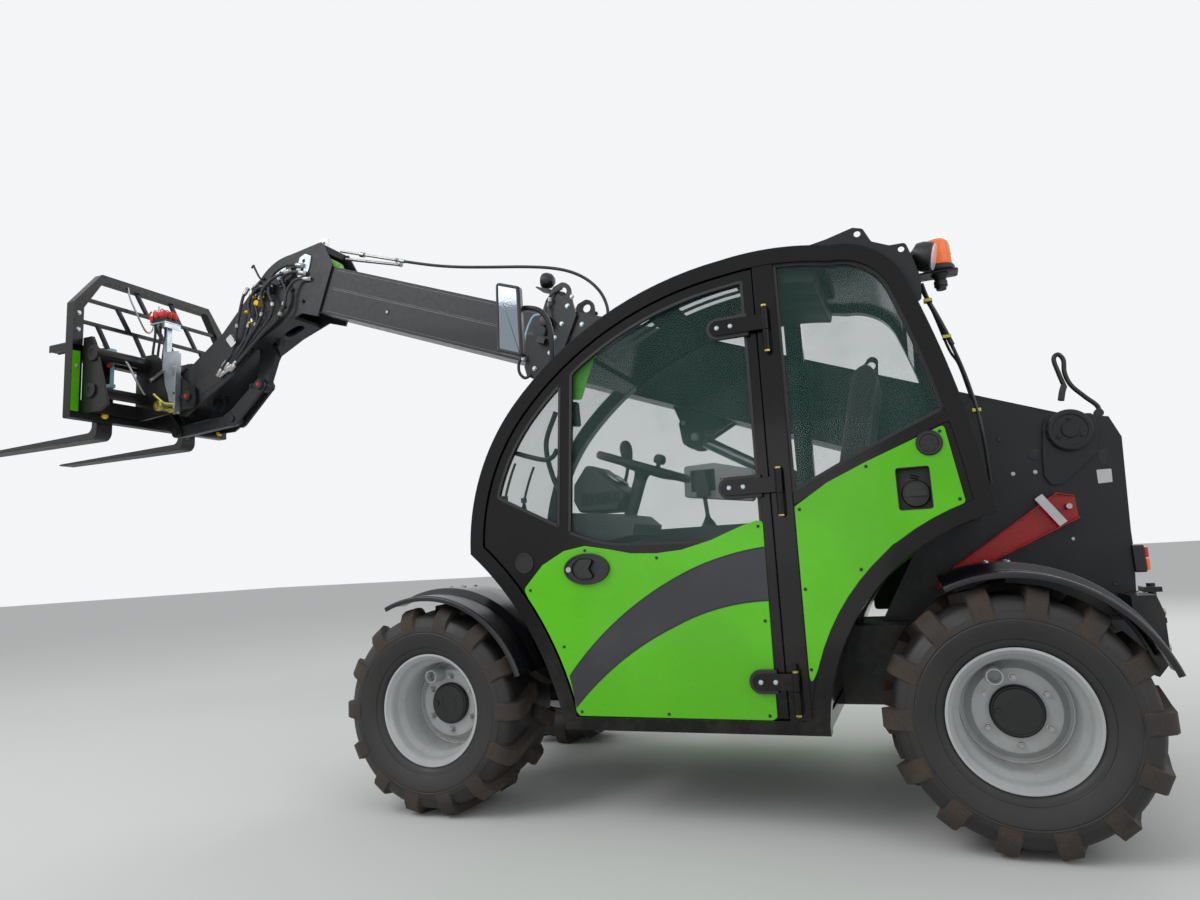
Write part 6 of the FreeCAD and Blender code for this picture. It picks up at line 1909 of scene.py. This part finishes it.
@dataclass
class HeadFittings:
    """Plates, hoses and caps on the boom's head."""

    face: float = BOOM_Y + .1223
    hoses: Sequence[tuple[float, Sequence[Place]]] = ((.0095, ((2.33, .01, 2.64), (2.4, .026, 2.655),
        (2.47, .03, 2.63), (2.445, .032, 2.56), (2.456, .03, 2.475), (2.515, .03, 2.407), (2.604, .026, 2.35),
        (2.69, .018, 2.282), (2.85, .01, 2.175))), (.0095, ((2.35, .012, 2.69), (2.44, .034, 2.7), (2.54, .038, 2.65),
        (2.56, .04, 2.56), (2.53, .04, 2.48), (2.56, .036, 2.4), (2.65, .03, 2.33), (2.74, .018, 2.262),
        (2.88, .01, 2.16))), (.0085, ((2.712, .01, 2.6), (2.722, .026, 2.525), (2.712, .032, 2.43),
        (2.736, .028, 2.345), (2.79, .02, 2.27), (2.9, .012, 2.17))), (.0085, ((2.756, .012, 2.61),
        (2.766, .03, 2.56), (2.792, .034, 2.445), (2.815, .03, 2.355), (2.84, .024, 2.265), (2.96, .012, 2.14))),
        (.0075, ((2.64, .012, 2.56), (2.66, .034, 2.5), (2.64, .04, 2.42), (2.69, .036, 2.35), (2.76, .024, 2.3),
        (2.92, .012, 2.19))), (.0085, ((2.3, .01, 2.6), (2.37, .03, 2.6), (2.42, .044, 2.54), (2.44, .048, 2.45),
        (2.5, .046, 2.38), (2.59, .04, 2.33), (2.7, .028, 2.26), (2.86, .01, 2.156))), (.009, ((2.42, .03, 2.664),
        (2.52, .05, 2.63), (2.6, .054, 2.56), (2.588, .054, 2.47), (2.62, .05, 2.39), (2.7, .04, 2.315),
        (2.78, .026, 2.24), (2.9, .01, 2.15))), (.0075, ((2.56, .03, 2.6), (2.64, .05, 2.59), (2.7, .048, 2.52),
        (2.69, .046, 2.44), (2.67, .044, 2.37), (2.73, .034, 2.29), (2.83, .018, 2.2), (2.94, .01, 2.13))),
        (.007, ((2.6, .01, 2.6), (2.62, .03, 2.575), (2.66, .036, 2.56), (2.69, .03, 2.6), (2.672, .014, 2.64))))

    def build(self) -> None:
        """Builds all of it."""
        self.hose_bundle()
        self.plates()
        self.caps()
        self.pins()

    def hose_bundle(self) -> None:
        """Builds the hoses over the head's side with their end fittings and ties."""
        form, fittings = Form(), Form()
        y = self.face
        for radius, route in self.hoses:
            points = [(x, y + out, z) for x, out, z in route]
            path = smooth_path(points, 8)
            form.tube(path, radius, 12)
            for end, inner in ((path[0], path[4]), (path[-1], path[-5])):
                ahead = (inner - end).normalized()
                fittings.lathe([(radius, -.006), (radius + .004, -.004), (radius + .004, .026), (radius + .0008,
                    .031), (radius, .031)], end, ahead, 18)
                fittings.nut(end - ahead * .02, ahead, radius * 2.7, .018, washer=False)
            middle = path[len(path) // 2]
            ahead = (path[len(path) // 2 + 1] - middle).normalized()
            fittings.lathe([(radius, -.012), (radius + .003, -.01), (radius + .003, .01), (radius, .012)], middle,
                ahead, 18)
        form.make("head_hoses", BRAID, Body.INNER)
        fittings.make("head_hose_fittings", STEEL, Body.INNER)
        for x, z in ((2.725, 2.47), (2.7, 2.4), (2.62, 2.545)):
            form.lathe([(.012, -.004), (.016, -.004), (.016, .004), (.012, .004)], (x, y + .034, z), (.2, .1, 1), 20)
        form.plate(circle(2.655, 2.512, .017, 20), y + .012, y + .04)
        form.make("head_hose_ties", YELLOW_CAP, Body.INNER)

    def plates(self) -> None:
        """Builds the galvanised plates, the dark disc, the dark sheet painted as the shade inside the slot, the bare
        tag and the green end piece.
        """
        y = self.face
        form = Form()
        form.plate(rounded([(2.374, 2.626), (2.396, 2.655), (2.362, 2.742), (2.323, 2.757), (2.28, 2.735),
            (2.296, 2.668), (2.312, 2.63)], .01), y + .0003, y + .006, [circle(2.334, 2.716, .0115, 18),
            circle(2.346, 2.664, .0115, 18)])
        form.plate(rounded([(2.55, 2.676), (2.505, 2.716), (2.462, 2.7), (2.478, 2.65), (2.52, 2.63)], .01), y
            + .0003, y + .006, [circle(2.505, 2.676, .01, 18)])
        form.plate(rounded([(2.69, 2.612), (2.676, 2.64), (2.64, 2.622), (2.64, 2.56), (2.676, 2.556)], .008), y
            + .0003, y + .008)
        form.make("head_plates", ZINC, Body.INNER, bevel=.001)
        for x, z, radius in ((2.433, 2.682, .015), (2.42, 2.56, .01), (2.345, 2.48, .01), (2.48, 2.47, .01)):
            form.lathe([(0, 0), (radius, 0), (radius, .012), (radius * .8, .014), (0, .014)], (x, y, z), (0, 1, 0), 24)
        for x, z, size in ((2.575, 2.59, .03), (2.655, 2.59, .026), (2.47, 2.6, .024)):
            form.block((x - size, y, z - size * .8), (x + size, y + .026, z + size * .8))
            for side in (-1, 1):
                form.nut((x + side * size * .5, y + .026, z), (0, 1, 0), .017, .016, washer=False)
        form.tube(smooth_path(((2.624, y + .006, 2.664), (2.65, y + .014, 2.668), (2.69, y + .016, 2.738),
            (2.7, y + .014, 2.756), (2.716, y + .012, 2.744))), .006, 10)
        form.make("head_bosses", ANTHRACITE, Body.INNER)
        form.lathe([(0, .0002), (.031, .0002), (.031, .0022), (.027, .003), (0, .0014)], (2.603, y, 2.489), (0, 1, 0),
            36)
        # Thin dark sheet: painted shade standing in for the inside of the slot that the hoses go into.
        form.plate(rounded([(3.168, 2.098), (3.108, 2.036), (2.846, 2.142), (2.842, 2.172), (2.905, 2.212)], .018), y
            + .0002, y + .0016)
        form.make("head_slot_shade", SEALANT, Body.INNER)
        form.plate(rounded([(2.89, 2.33), (2.852, 2.356), (2.808, 2.3), (2.846, 2.274)], .008), y + .034, y + .0352)
        form.rod((2.852, y + .012, 2.35), (2.852, y + .034, 2.35), .004, 12)
        form.make("head_tag", WHITE_PLASTIC, Body.INNER)
        form.lathe([(.028, -.048), (.046, -.048), (.048, -.044), (.048, .044), (.046, .048), (.028, .048)],
            boom_point(3.815, .036, .04), (0, 1, 0), 28, (20.5, 200.5))
        form.make("head_green_guide", GREEN, Body.INNER)
        start, far = boom_point(3.398, .15, -.03), boom_point(3.8, .118, -.03)
        form.rod(start, far, .0085, 16)
        form.nut(start, far - start, .022, .016, washer=False)
        form.make("head_second_pipe", STEEL, Body.INNER)

    def caps(self) -> None:
        """Builds the yellow cap."""
        y = self.face
        form = Form()
        form.lathe([(0, 0), (.014, 0), (.015, .004), (.015, .02), (.012, .024), (0, .024)], (2.695, y + .006, 2.566),
            (0, 1, 0), 24)
        form.make("head_yellow_cap", YELLOW_CAP, Body.INNER)

    def pins(self) -> None:
        """Builds the ends of the linkage pins with their retaining plates."""
        form, marks = Form(), Form()
        for x, z, out in ((3.2, 2.03, .1465), (2.745, 2.06, .0425)):
            for side in (-1, 1):
                y = BOOM_Y + side * out
                form.lathe([(0, 0), (.03, 0), (.03, .01), (.027, .013), (0, .013)], (x, y, z), (0, side, 0), 36)
                low, high = sorted((y, y + side * .006))
                form.plate(rounded([(x + .026, z - .012), (x + .07, z - .012), (x + .07, z + .012),
                    (x + .026, z + .012)], .006), low, high)
                form.nut((x + .056, y + side * .006, z), (0, side, 0), .014, .008)
                marks.lathe([(.006, .0128), (.011, .0128), (.011, .0142), (.006, .0142)], (x, y, z), (0, side, 0), 24)
        form.make("linkage_pins", ANTHRACITE, Body.INNER)
        marks.make("linkage_pin_marks", RED_CAP, Body.INNER)


@dataclass
class Carriage:
    """Fork carriage with its guard, coupling block and forks."""

    back: float = 3.635
    depth: float = .06
    half: float = .554
    low: float = 1.895
    shoulder: float = 2.58
    top: float = 2.795
    step: float = .165
    rail: float = .062
    lean: float = .085         # how far the guard's uprights lean to the left over a course
    spread: float = .298
    fork_face: float = 3.6953

    def build(self) -> None:
        """Builds all of it."""
        self.weldment()
        self.forks()
        self.couplings()
        self.small_parts()

    def across(self, points: Sequence[Point], x: float) -> list[Vector]:
        """Points (distance to the left of the boom's plane, z) on the plane at x."""
        return [Vector((x, BOOM_Y + a, b)) for a, b in points]

    def bar(self, form: Form, a: Point, b: Point, wide: float, x0: float, thick: float) -> None:
        """Adds a flat bar across the guard.

        Args:
            form: what it is added to.
            a: one end, (distance to the left, z).
            b: other end.
            wide: of the bar.
            x0: its back face.
            thick: of the bar.
        """
        side = Vector((b[1] - a[1], a[0] - b[0])).normalized() * wide / 2
        form.prism(self.across([(a[0] - side.x, a[1] - side.y), (a[0] + side.x, a[1] + side.y), (b[0] + side.x, b[1]
            + side.y), (b[0] - side.x, b[1] - side.y)], x0), Vector((thick, 0, 0)))

    def weldment(self) -> None:
        """Builds the frame, its rails, the leaning guard bars and the serrated step."""
        half, low, mid, top, step, rail = self.half, self.low, self.shoulder, self.top, self.step, self.rail
        form = Form()
        edge = [(-half, low), (half, low), (half, mid), (half - step, top), (-half + step, top), (-half, mid)]
        hole = [(-half + rail, low + .11), (half - rail, low + .11), (half - rail, mid - .02), (half - step - .012,
            top - .046), (-half + step + .012, top - .046), (-half + rail, mid - .02)]
        form.pierced([self.across(rounded(edge, .008, 2), self.back), self.across(hole, self.back)],
            Vector((self.depth, 0, 0)))
        form.block((self.back, BOOM_Y - half + .004, 2.24), (self.back + self.depth, BOOM_Y + half - .004, 2.33))
        form.make("carriage_frame", CARRIAGE_PAINT, Body.CARRIAGE, replaces=["fork_frame"], bevel=.004)
        x0 = self.back + .012
        for z in (2.48, 2.62):
            wide = half - rail + .004 if z < mid else half - rail - (z - mid) * .72
            self.bar(form, (-wide, z), (wide, z), .02, x0, .024)
        for z0, z1, shift in ((2.328, 2.472, .25), (2.488, 2.612, .75), (2.628, 2.752, .25)):
            for k in range(-3, 3):
                a = (k + shift) * .245
                b = a + self.lean
                limit = half - (step if z1 > mid else rail) - .012
                if abs(a) < limit + (.05 if z1 > mid else 0) and abs(b) < limit:
                    self.bar(form, (a, z0 - .004), (b, z1 + .004), .02, x0 + .001, .022)
        form.make("carriage_guard", CARRIAGE_PAINT, Body.CARRIAGE, bevel=.002)
        for side in (1,):
            y1 = BOOM_Y + side * half
            x1 = self.back + self.depth - .001
            teeth: list[Point] = [(x1, 2.3), (x1 + .14, 2.3)]
            for k in range(12):
                teeth += [(x1 + .14 - .0117 * k, 2.344), (x1 + .134 - .0117 * k, 2.336)]
            teeth.append((x1, 2.344))
            for y in (y1 - .058, y1 - .006):
                form.plate(teeth, y, y + .005)
            form.block((x1, y1 - .056, 2.304), (x1 + .138, y1 - .002, 2.309))
            for k in range(5):
                x = x1 + .014 + .028 * k
                form.rod((x, y1 - .055, 2.328), (x, y1 - .004, 2.328), .005, 10)
        form.make("carriage_step", CARRIAGE_PAINT, Body.CARRIAGE)
        form.block((self.back - .0012, .343, 1.935), (self.back + .0005, .3885, 2.29))
        form.make("carriage_green_strip", GREEN, Body.CARRIAGE)

    def forks(self) -> None:
        """Builds the two forks with their upper hooks and rounded heels."""
        x1, t, z, length = self.fork_face, .042, 1.8, 1.2
        section = traced([(x1, 2.34), (x1 + t, 2.34), (x1 + t, z + t + .04), (x1 + t + .012, z + t + .012, x1 + t
            + .04, z + t), (x1 + length - .02, z + .014), (x1 + length, z + .009), (x1 + length - .012, z + .0012),
            (x1 + .52, z), (x1 + .05, z), (x1 + .015, z + .015, x1, z + .05)], 10)
        form = Form()
        for side in (-1, 1):
            centre = BOOM_Y + side * self.spread
            form.plate(section, centre - .05, centre + .05)
            form.block((x1 + .002, centre - .022, 2.338), (x1 + t - .004, centre + .022, 2.364))
            form.plate(rounded([(x1 - .058, 2.3385), (x1 + .004, 2.3385), (x1 + .004, 2.331), (x1 - .001, 2.331),
                (x1 - .001, 2.334), (x1 - .058, 2.334)], .001), centre - .042, centre + .042)
        form.make("fork_blades", FORK_PAINT, Body.CARRIAGE, replaces=["forks"], bevel=.0045)
        for side in (-1, 1):
            centre = BOOM_Y + side * self.spread
            form.rod((x1 + t * .5, centre, 2.36), (x1 + t * .5, centre, 2.388), .008, 16)
            form.lathe([(0, .0), (.014, .0), (.015, .004), (.012, .012), (0, .014)], (x1 + t * .5, centre, 2.384),
                (0, 0, 1), 20)
        form.make("fork_lock_pins", ZINC, Body.CARRIAGE)

    def couplings(self) -> None:
        """Builds the galvanised coupling post with its plate, the red caps and the hoses behind them."""
        x = 3.471
        form = Form()
        form.plate(traced([(x - .03, 2.118), (x + .06, 2.118), (x + .056, 2.15), (x + .028, 2.176, x + .014, 2.215),
            (x + .032, 2.27, x + .033, 2.33), (x + .034, 2.4, x + .02, 2.44), (x + .012, 2.47, x + .014, 2.52),
            (x - .03, 2.52)], 8), -.101, -.096, [circle(x + .004, 2.36, .007, 16)])
        form.block((x - .034, -.101, 2.118), (x - .029, -.068, 2.522))
        form.block((x - .06, -.141, 2.527), (x + .066, -.025, 2.536))
        form.block((x - .06, -.141, 2.498), (x - .055, -.025, 2.53))
        form.block((x - .03, -.101, 2.086), (x + .066, -.075, 2.119))
        form.plate(rounded([(3.404, 2.246), (3.392, 2.33), (3.268, 2.318), (3.252, 1.93), (3.306, 1.93), (3.34, 2.01),
            (3.352, 2.06), (3.376, 2.12), (3.384, 2.17)], .008), -.013, -.008, [circle(3.3, 2.23, .008, 16),
            circle(3.3, 2.06, .008, 16)])
        form.block((3.252, -.013, 1.94), (3.2565, .024, 2.3))
        for z in (2.0, 2.15):
            form.rod((3.29, -.0168, z), (3.29, -.004, z), .012, 20)
            form.nut((3.29, -.008, z), (0, 1, 0), .02, .01)
        form.make("coupling_post", ZINC, Body.CARRIAGE, replaces=["coupling_bracket"], bevel=.0015)
        form.plate(rounded([(x - .05, 2.536), (x + .056, 2.536), (x + .056, 2.552), (x + .044, 2.562),
            (x - .038, 2.562), (x - .05, 2.552)], .004), -.138, -.028)
        seats = [(x + across, -.047 - .036 * k) for across in (-.026, .032) for k in range(3)]
        for px, y in seats:
            form.rod((px, y, 2.558), (px, y, 2.574), .0145, 20)
            form.nut((px, y, 2.56), (0, 0, 1), .031, .008, washer=False)
        form.make("coupling_block", ANTHRACITE, Body.CARRIAGE, Slot.CARRIAGE, bevel=.0015)
        for px, y in seats:
            lean = .25 if px > x else -.08
            form.lathe([(0, 0), (.0155, 0), (.0175, .004), (.0175, .028), (.015, .036), (.009, .042), (0, .043)],
                (px, y, 2.572), (lean, .05, 1), 24)
            form.tube(smooth_path(((px + lean * .03, y, 2.606), (px + .016, y, 2.626), (px + .036, y, 2.612),
                (px + .032, y, 2.566)), 4), .0032, 8)
        for y in (-.036, -.128):
            form.tube(smooth_path(((x + .054, y, 2.556), (x + .078, y, 2.572), (x + .086, y, 2.602),
                (x + .07, y, 2.618)), 4), .0055, 10)
        form.plate(rounded([(x + .057, 2.538), (x + .08, 2.548), (x + .08, 2.586), (x + .057, 2.592)], .006), -.13,
            -.034)
        form.make("coupling_caps", RED_CAP, Body.CARRIAGE, bevel=.0008)
        for k, foot in enumerate(((3.52, -.056, 2.13), (3.53, -.118, 2.118), (3.52, -.15, 2.11))):
            y = -.047 - .036 * k
            form.tube(smooth_path(((x + .046, y, 2.528), (x + .048, y, 2.45), (x + .064, y, 2.34), (x + .06, y, 2.23),
                foot)), .0075, 10)
        form.make("coupling_hoses", BRAID, Body.CARRIAGE)
        form.lathe([(0, 0), (.026, 0), (.031, .006), (.031, .02), (.028, .024), (.028, .082), (.031, .088),
            (.031, .104), (.026, .112), (.014, .112), (.012, .106), (0, .106)], (3.305, -.0075, 1.968), (0, 1, 0), 36)
        form.rod((3.305, .03, 1.968), (3.42, .03, 2.06), .01, 16)
        form.make("lock_cylinder", YELLOW_ZINC, Body.CARRIAGE)
        form.plate([(3.372, 2.205), (3.378, 2.225), (3.498, 2.172), (3.492, 2.152)], -.0078, -.002)
        for px, pz in ((3.385, 2.212), (3.484, 2.165)):
            form.nut((px, -.002, pz), (0, 1, 0), .016, .008)
        form.tube(smooth_path(((3.46, .06, 2.06), (3.45, .11, 2.11), (3.46, .14, 2.17), (3.5, .15, 2.24),
            (3.56, .16, 2.29))), .0065, 10)
        form.make("coupling_links", STEEL, Body.CARRIAGE)

    def small_parts(self) -> None:
        """Builds the latch bar with its caps, the wire guide, the tube ends and the bolts."""
        form = Form()
        form.block((3.592, .16, 2.118), (3.606, .178, 2.334))
        form.block((3.588, .152, 2.1), (3.634, .186, 2.122))
        form.block((3.588, .152, 2.318), (3.634, .186, 2.338))
        form.make("latch_bar", BLUE_TUBE, Body.CARRIAGE, bevel=.002)
        for name, finish, z in (("latch_green_cap", GREEN_CAP, 2.275), ("latch_red_cap", RED_CAP, 2.232)):
            form = Form()
            form.lathe([(0, 0), (.013, 0), (.014, .004), (.014, .024), (.01, .03), (0, .03)], (3.599, .176, z),
                (-.3, 1, 0), 24)
            form.make(name, finish, Body.CARRIAGE, Slot.PLASTIC)
        form.tube(smooth_path(((3.628, .06, 2.76), (3.618, .052, 2.69), (3.612, .006, 2.6), (3.612, -.04, 2.524),
            (3.612, -.07, 2.502), (3.612, -.1, 2.52), (3.616, -.12, 2.59), (3.622, -.146, 2.65), (3.628, -.16, 2.7))),
            .0055, 10)
        form.make("guard_wire_guide", STEEL, Body.CARRIAGE)
        for y in (.188, -.644):
            form.lathe([(0, 0), (.016, 0), (.017, .004), (.017, .018), (.012, .024), (0, .024)], (3.634, y, 1.929),
                (-1, 0, 0), 24)
        form.make("carriage_caps", YELLOW_CAP, Body.CARRIAGE)
        for z, x in ((2.27, 3.5397), (2.05, 3.5547)):
            radius = .0365 if z > 2.2 else .0325
            for side in (-1, 1):
                form.lathe([(0, 0), (radius + .012, 0), (radius + .012, .01), (radius + .009, .013),
                    (radius * .6, .013), (radius * .55, .009), (0, .009)], (x, BOOM_Y + side * .49, z), (0, side, 0),
                    36)
        form.make("coupler_tube_ends", CARRIAGE_PAINT, Body.CARRIAGE)
        for y in (BOOM_Y - self.half + .031, BOOM_Y + self.half - .031):
            for z in (2.2, 2.42, 2.52):
                form.nut((self.back, y, z), (-1, 0, 0), .018, .009)
            form.nut((self.back + self.depth, y, 2.2), (1, 0, 0), .018, .009)
        form.make("carriage_bolts", ZINC, Body.CARRIAGE)


@dataclass
class Tower:
    """Fittings on the boom's tower, the support strut and the rear."""

    face: float = .019

    def build(self) -> None:
        """Builds all of it."""
        self.covers()
        self.strut()
        self.lever()
        self.rear()

    def covers(self) -> None:
        """Builds the cover round the pivot, the plugs, the dark discs and patch painted as the shade of holes, and the
        bare plate on both sides.
        """
        outline = [(-1.268, 1.33), (-1.29, 1.372), (-1.44, 1.362), (-1.452, 1.3), (-1.436, 1.214), (-1.312, 1.108),
            (-1.272, 1.104), (-1.252, 1.143), (-1.256, 1.223)]
        form, dark, pale = Form(), Form(), Form()
        for side in (1, -1):
            y = BOOM_Y + side * (self.face - BOOM_Y)
            low, high = sorted((y, y + side * .013))
            form.plate(rounded(outline, .02, 5), low, high)
            form.lathe([(0, .021), (.0745, .021), (.078, .024), (.078, .03), (.072, .034), (.06, .034), (.057, .031),
                (.03, .031), (.028, .037), (0, .037)], (PIVOT[0], y, PIVOT[1]), (0, side, 0), 56)
            for k in range(3):
                turn = math.radians(90 + 120 * k)
                form.nut((PIVOT[0] + .044 * math.cos(turn), y + side * .03, PIVOT[1] + .044 * math.sin(turn)),
                    (0, side, 0), .014, .007)
            # Thin dark discs and a dark patch: painted shade standing in for holes.
            for x, z, radius in ((-1.231, 1.227, .022), (-1.437, .736, .012), (-1.12, 1.3, .012)):
                dark.lathe([(0, .0004), (radius, .0004), (radius, .0024), (radius * .85, .0032), (0, .0014)],
                    (x, y, z), (0, side, 0), 32)
            low, high = sorted((y + side * .0003, y + side * .0012))
            dark.plate(rounded([(-1.436, 1.226), (-1.472, 1.224), (-1.462, 1.166), (-1.442, 1.172)], .008), low, high)
            for x, z, radius in ((-1.149, 1.16, .008), (-1.225, 1.16, .008), (-1.32, .902, .006),
                    (-1.21, 1.02, .006)):
                pale.lathe([(0, 0), (radius, 0), (radius * .9, .003), (0, .004)], (x, y, z), (0, side, 0), 20)
            pale.plate(rounded([(-1.426, 1.15), (-1.474, 1.15), (-1.472, 1.101), (-1.426, 1.099)], .003), low, high)
        form.make("tower_covers", ANTHRACITE, bevel=.003)
        dark.make("tower_hole_shades", SEALANT)
        pale.make("tower_plugs", WHITE_PLASTIC)

    def strut(self) -> None:
        """Builds the red folded support strut with its forked end, its strap and pins."""
        outline = [(-.836, .737), (-.853, .788), (-1.282, 1.077), (-1.343, 1.062), (-1.348, .978)]
        y0, y1 = .0195, .065
        ahead = Vector((-1.282 + .853, 1.077 - .788)).normalized()
        side = Vector((-ahead.y, ahead.x)) * -1
        form = Form()
        form.plate(rounded(outline, .012), y0, y0 + .005)

        def flange(a: Point, b: Point, reach: float) -> None:
            """Adds one flange along an edge of the web."""
            along = (Vector(b) - Vector(a)).normalized()
            inward = Vector((along.y, -along.x)) * .005
            if inward.dot(Vector((-1.09, .93)) - Vector(a)) < 0:
                inward = -inward
            form.plate([a, b, (b[0] + inward.x, b[1] + inward.y), (a[0] + inward.x, a[1] + inward.y)], y0, y0 + reach)

        flange((-.853, .788), (-1.282, 1.077), y1 - y0)
        flange((-.836, .737), (-1.348, .978), y1 - y0)
        flange((-1.282, 1.077), (-1.343, 1.062), .02)
        form.make("strut_channel", RED, replaces=["safety_strut"], bevel=.0025)
        form = Form()
        middle = Vector((-1.255, 1.01))
        along, square = Vector((-.829, .56)).normalized(), Vector((.56, .829)).normalized()
        corners = [middle + along * a + square * b for a, b in ((-.016, -.062), (.016, -.062), (.016, .066),
            (-.016, .066))]
        form.plate([tuple(c) for c in corners], y1 + .0004, y1 + .0024)
        form.make("strut_strap", WHITE_PLASTIC, bevel=.0008)
        for x, z in ((-1.315, 1.022), (-.9, .79)):
            form.lathe([(0, 0), (.012, 0), (.012, .044), (.01, .047), (0, .047)], (x, y0 + .004, z), (0, 1, 0), 24)
        form.make("strut_pins", STEEL)

    def lever(self) -> None:
        """Builds the hand lever over the tower."""
        y = .0065
        form = Form()
        form.tube(smooth_path(((-1.462, y, 1.35), (-1.462, y, 1.388), (-1.425, y, 1.43), (-1.385, y, 1.48),
            (-1.37, y, 1.53), (-1.372, y, 1.58), (-1.356, y, 1.604), (-1.34, y, 1.586), (-1.35, y, 1.53),
            (-1.362, y, 1.48))), .0085, 14)
        form.tube(smooth_path(((-1.362, y, 1.48), (-1.352, y + .006, 1.455), (-1.344, y + .01, 1.424))), .0115, 14)
        form.rod((-1.462, y - .012, 1.362), (-1.462, y + .012, 1.362), .016, 20)
        form.make("tower_lever", TRIM_BLACK)

    def rear(self) -> None:
        """Builds the rear lamps and the counterweight's bolts."""
        x = -1.5325
        for side in (1, -1):
            centre = BOOM_Y + side * .14
            name = "left" if side > 0 else "right"
            form = Form()
            form.block((x - .006, centre - .055, .77), (x + .034, centre + .055, .868))
            form.make("rear_lamp_" + name, TRIM_BLACK, bevel=.006)
            form = Form()
            form.block((x - .018, centre - .048, .822), (x - .005, centre + .048, .86))
            form.make("rear_lamp_red_" + name, RED_LENS, Body.CHASSIS, Slot.PLASTIC, bevel=.004)
            form = Form()
            form.block((x - .018, centre - .048, .777), (x - .005, centre + .048, .818))
            form.make("rear_lamp_amber_" + name, AMBER, bevel=.004)
        form = Form()
        for y in (-.15, .15):
            for z in (.52, .64):
                form.nut((x + .002, y, z), (-1, 0, 0), .026, .014)
        form.make("counterweight_bolts", STEEL)


@dataclass
class Hood:
    """Engine hood's grilles, seams, latches and exhaust on the right side."""

    side: float = -.775

    def build(self) -> None:
        """Builds all of it."""
        y = self.side
        form = Form()
        for x0, x1, z0, z1 in ((-.88, -.56, .62, .86), (-.06, .42, .56, .86)):
            form.plate(rounded([(x0 - .014, z0 - .014), (x1 + .014, z0 - .014), (x1 + .014, z1 + .014),
                (x0 - .014, z1 + .014)], .02), y - .003, y + .0005)
            for k in range(int((z1 - z0) / .026)):
                z = z0 + .026 * k
                form.prism([Vector((x0, y - .003, z)), Vector((x0, y - .011, z + .005)), Vector((x0, y - .011, z
                    + .009)), Vector((x0, y - .003, z + .021))], Vector((x1 - x0, 0, 0)))
        form.make("hood_grilles", TRIM_BLACK)
        for x in (-.5, -.11):
            form.block((x, y - .0012, .35), (x + .004, y + .0004, .985))
        form.block((-.9, y - .0012, .9), (.56, y + .0004, .904))
        form.make("hood_seams", SEALANT)
        for x in (-.44, .3):
            form.plate(rounded([(x, .93), (x + .08, .93), (x + .08, .966), (x, .966)], .01), y - .008, y + .0005)
            form.rod((x + .02, y - .0085, .948), (x + .06, y - .0085, .948), .006, 14)
        for x in (-.86, -.3, .15, .52):
            form.lathe([(0, 0), (.01, 0), (.009, .004), (0, .005)], (x, y, .985 if x < .4 else .93), (0, -1, 0), 20)
        form.make("hood_latches", CAP_BLACK, bevel=.0015)
        form.lathe([(0, -.01), (.036, -.01), (.036, .012), (.026, .016), (.026, .11), (.029, .112), (.029, .118),
            (.022, .118), (.022, .05), (0, .05)], (-.62, -.56, 1.0), (0, 0, 1), 36)
        form.make("exhaust_stub", STEEL)
        for x0, x1 in ((-.5, -.2), (.02, .4)):
            form.block((x0, -.68, .994), (x1, -.46, 1.016))
            for k in range(7):
                form.block((x0 + .012, -.668 + .029 * k, 1.015), (x1 - .012, -.656 + .029 * k, 1.019))
        form.make("hood_top_vents", TRIM_BLACK, bevel=.002)


def main() -> None:
    """Builds the studio and every sub-assembly, in order."""
    logging.basicConfig(level=logging.INFO)
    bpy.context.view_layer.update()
    scene = bpy.context.scene
    scene.view_settings.view_transform = "Standard"
    Studio().build()
    BoomHose().build()
    dress_nodes()
    for corner, forward, side in CORNERS:
        Wheel(corner, forward, side).build()
        Fender(corner, forward, side).build()
    CabShell().build()
    Door().build()
    Seat().build()
    Controls().build()
    BoomSides().build()
    HeadFittings().build()
    Carriage().build()
    Tower().build()
    Hood().build()
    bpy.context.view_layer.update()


if __name__ == "__main__":
    main()
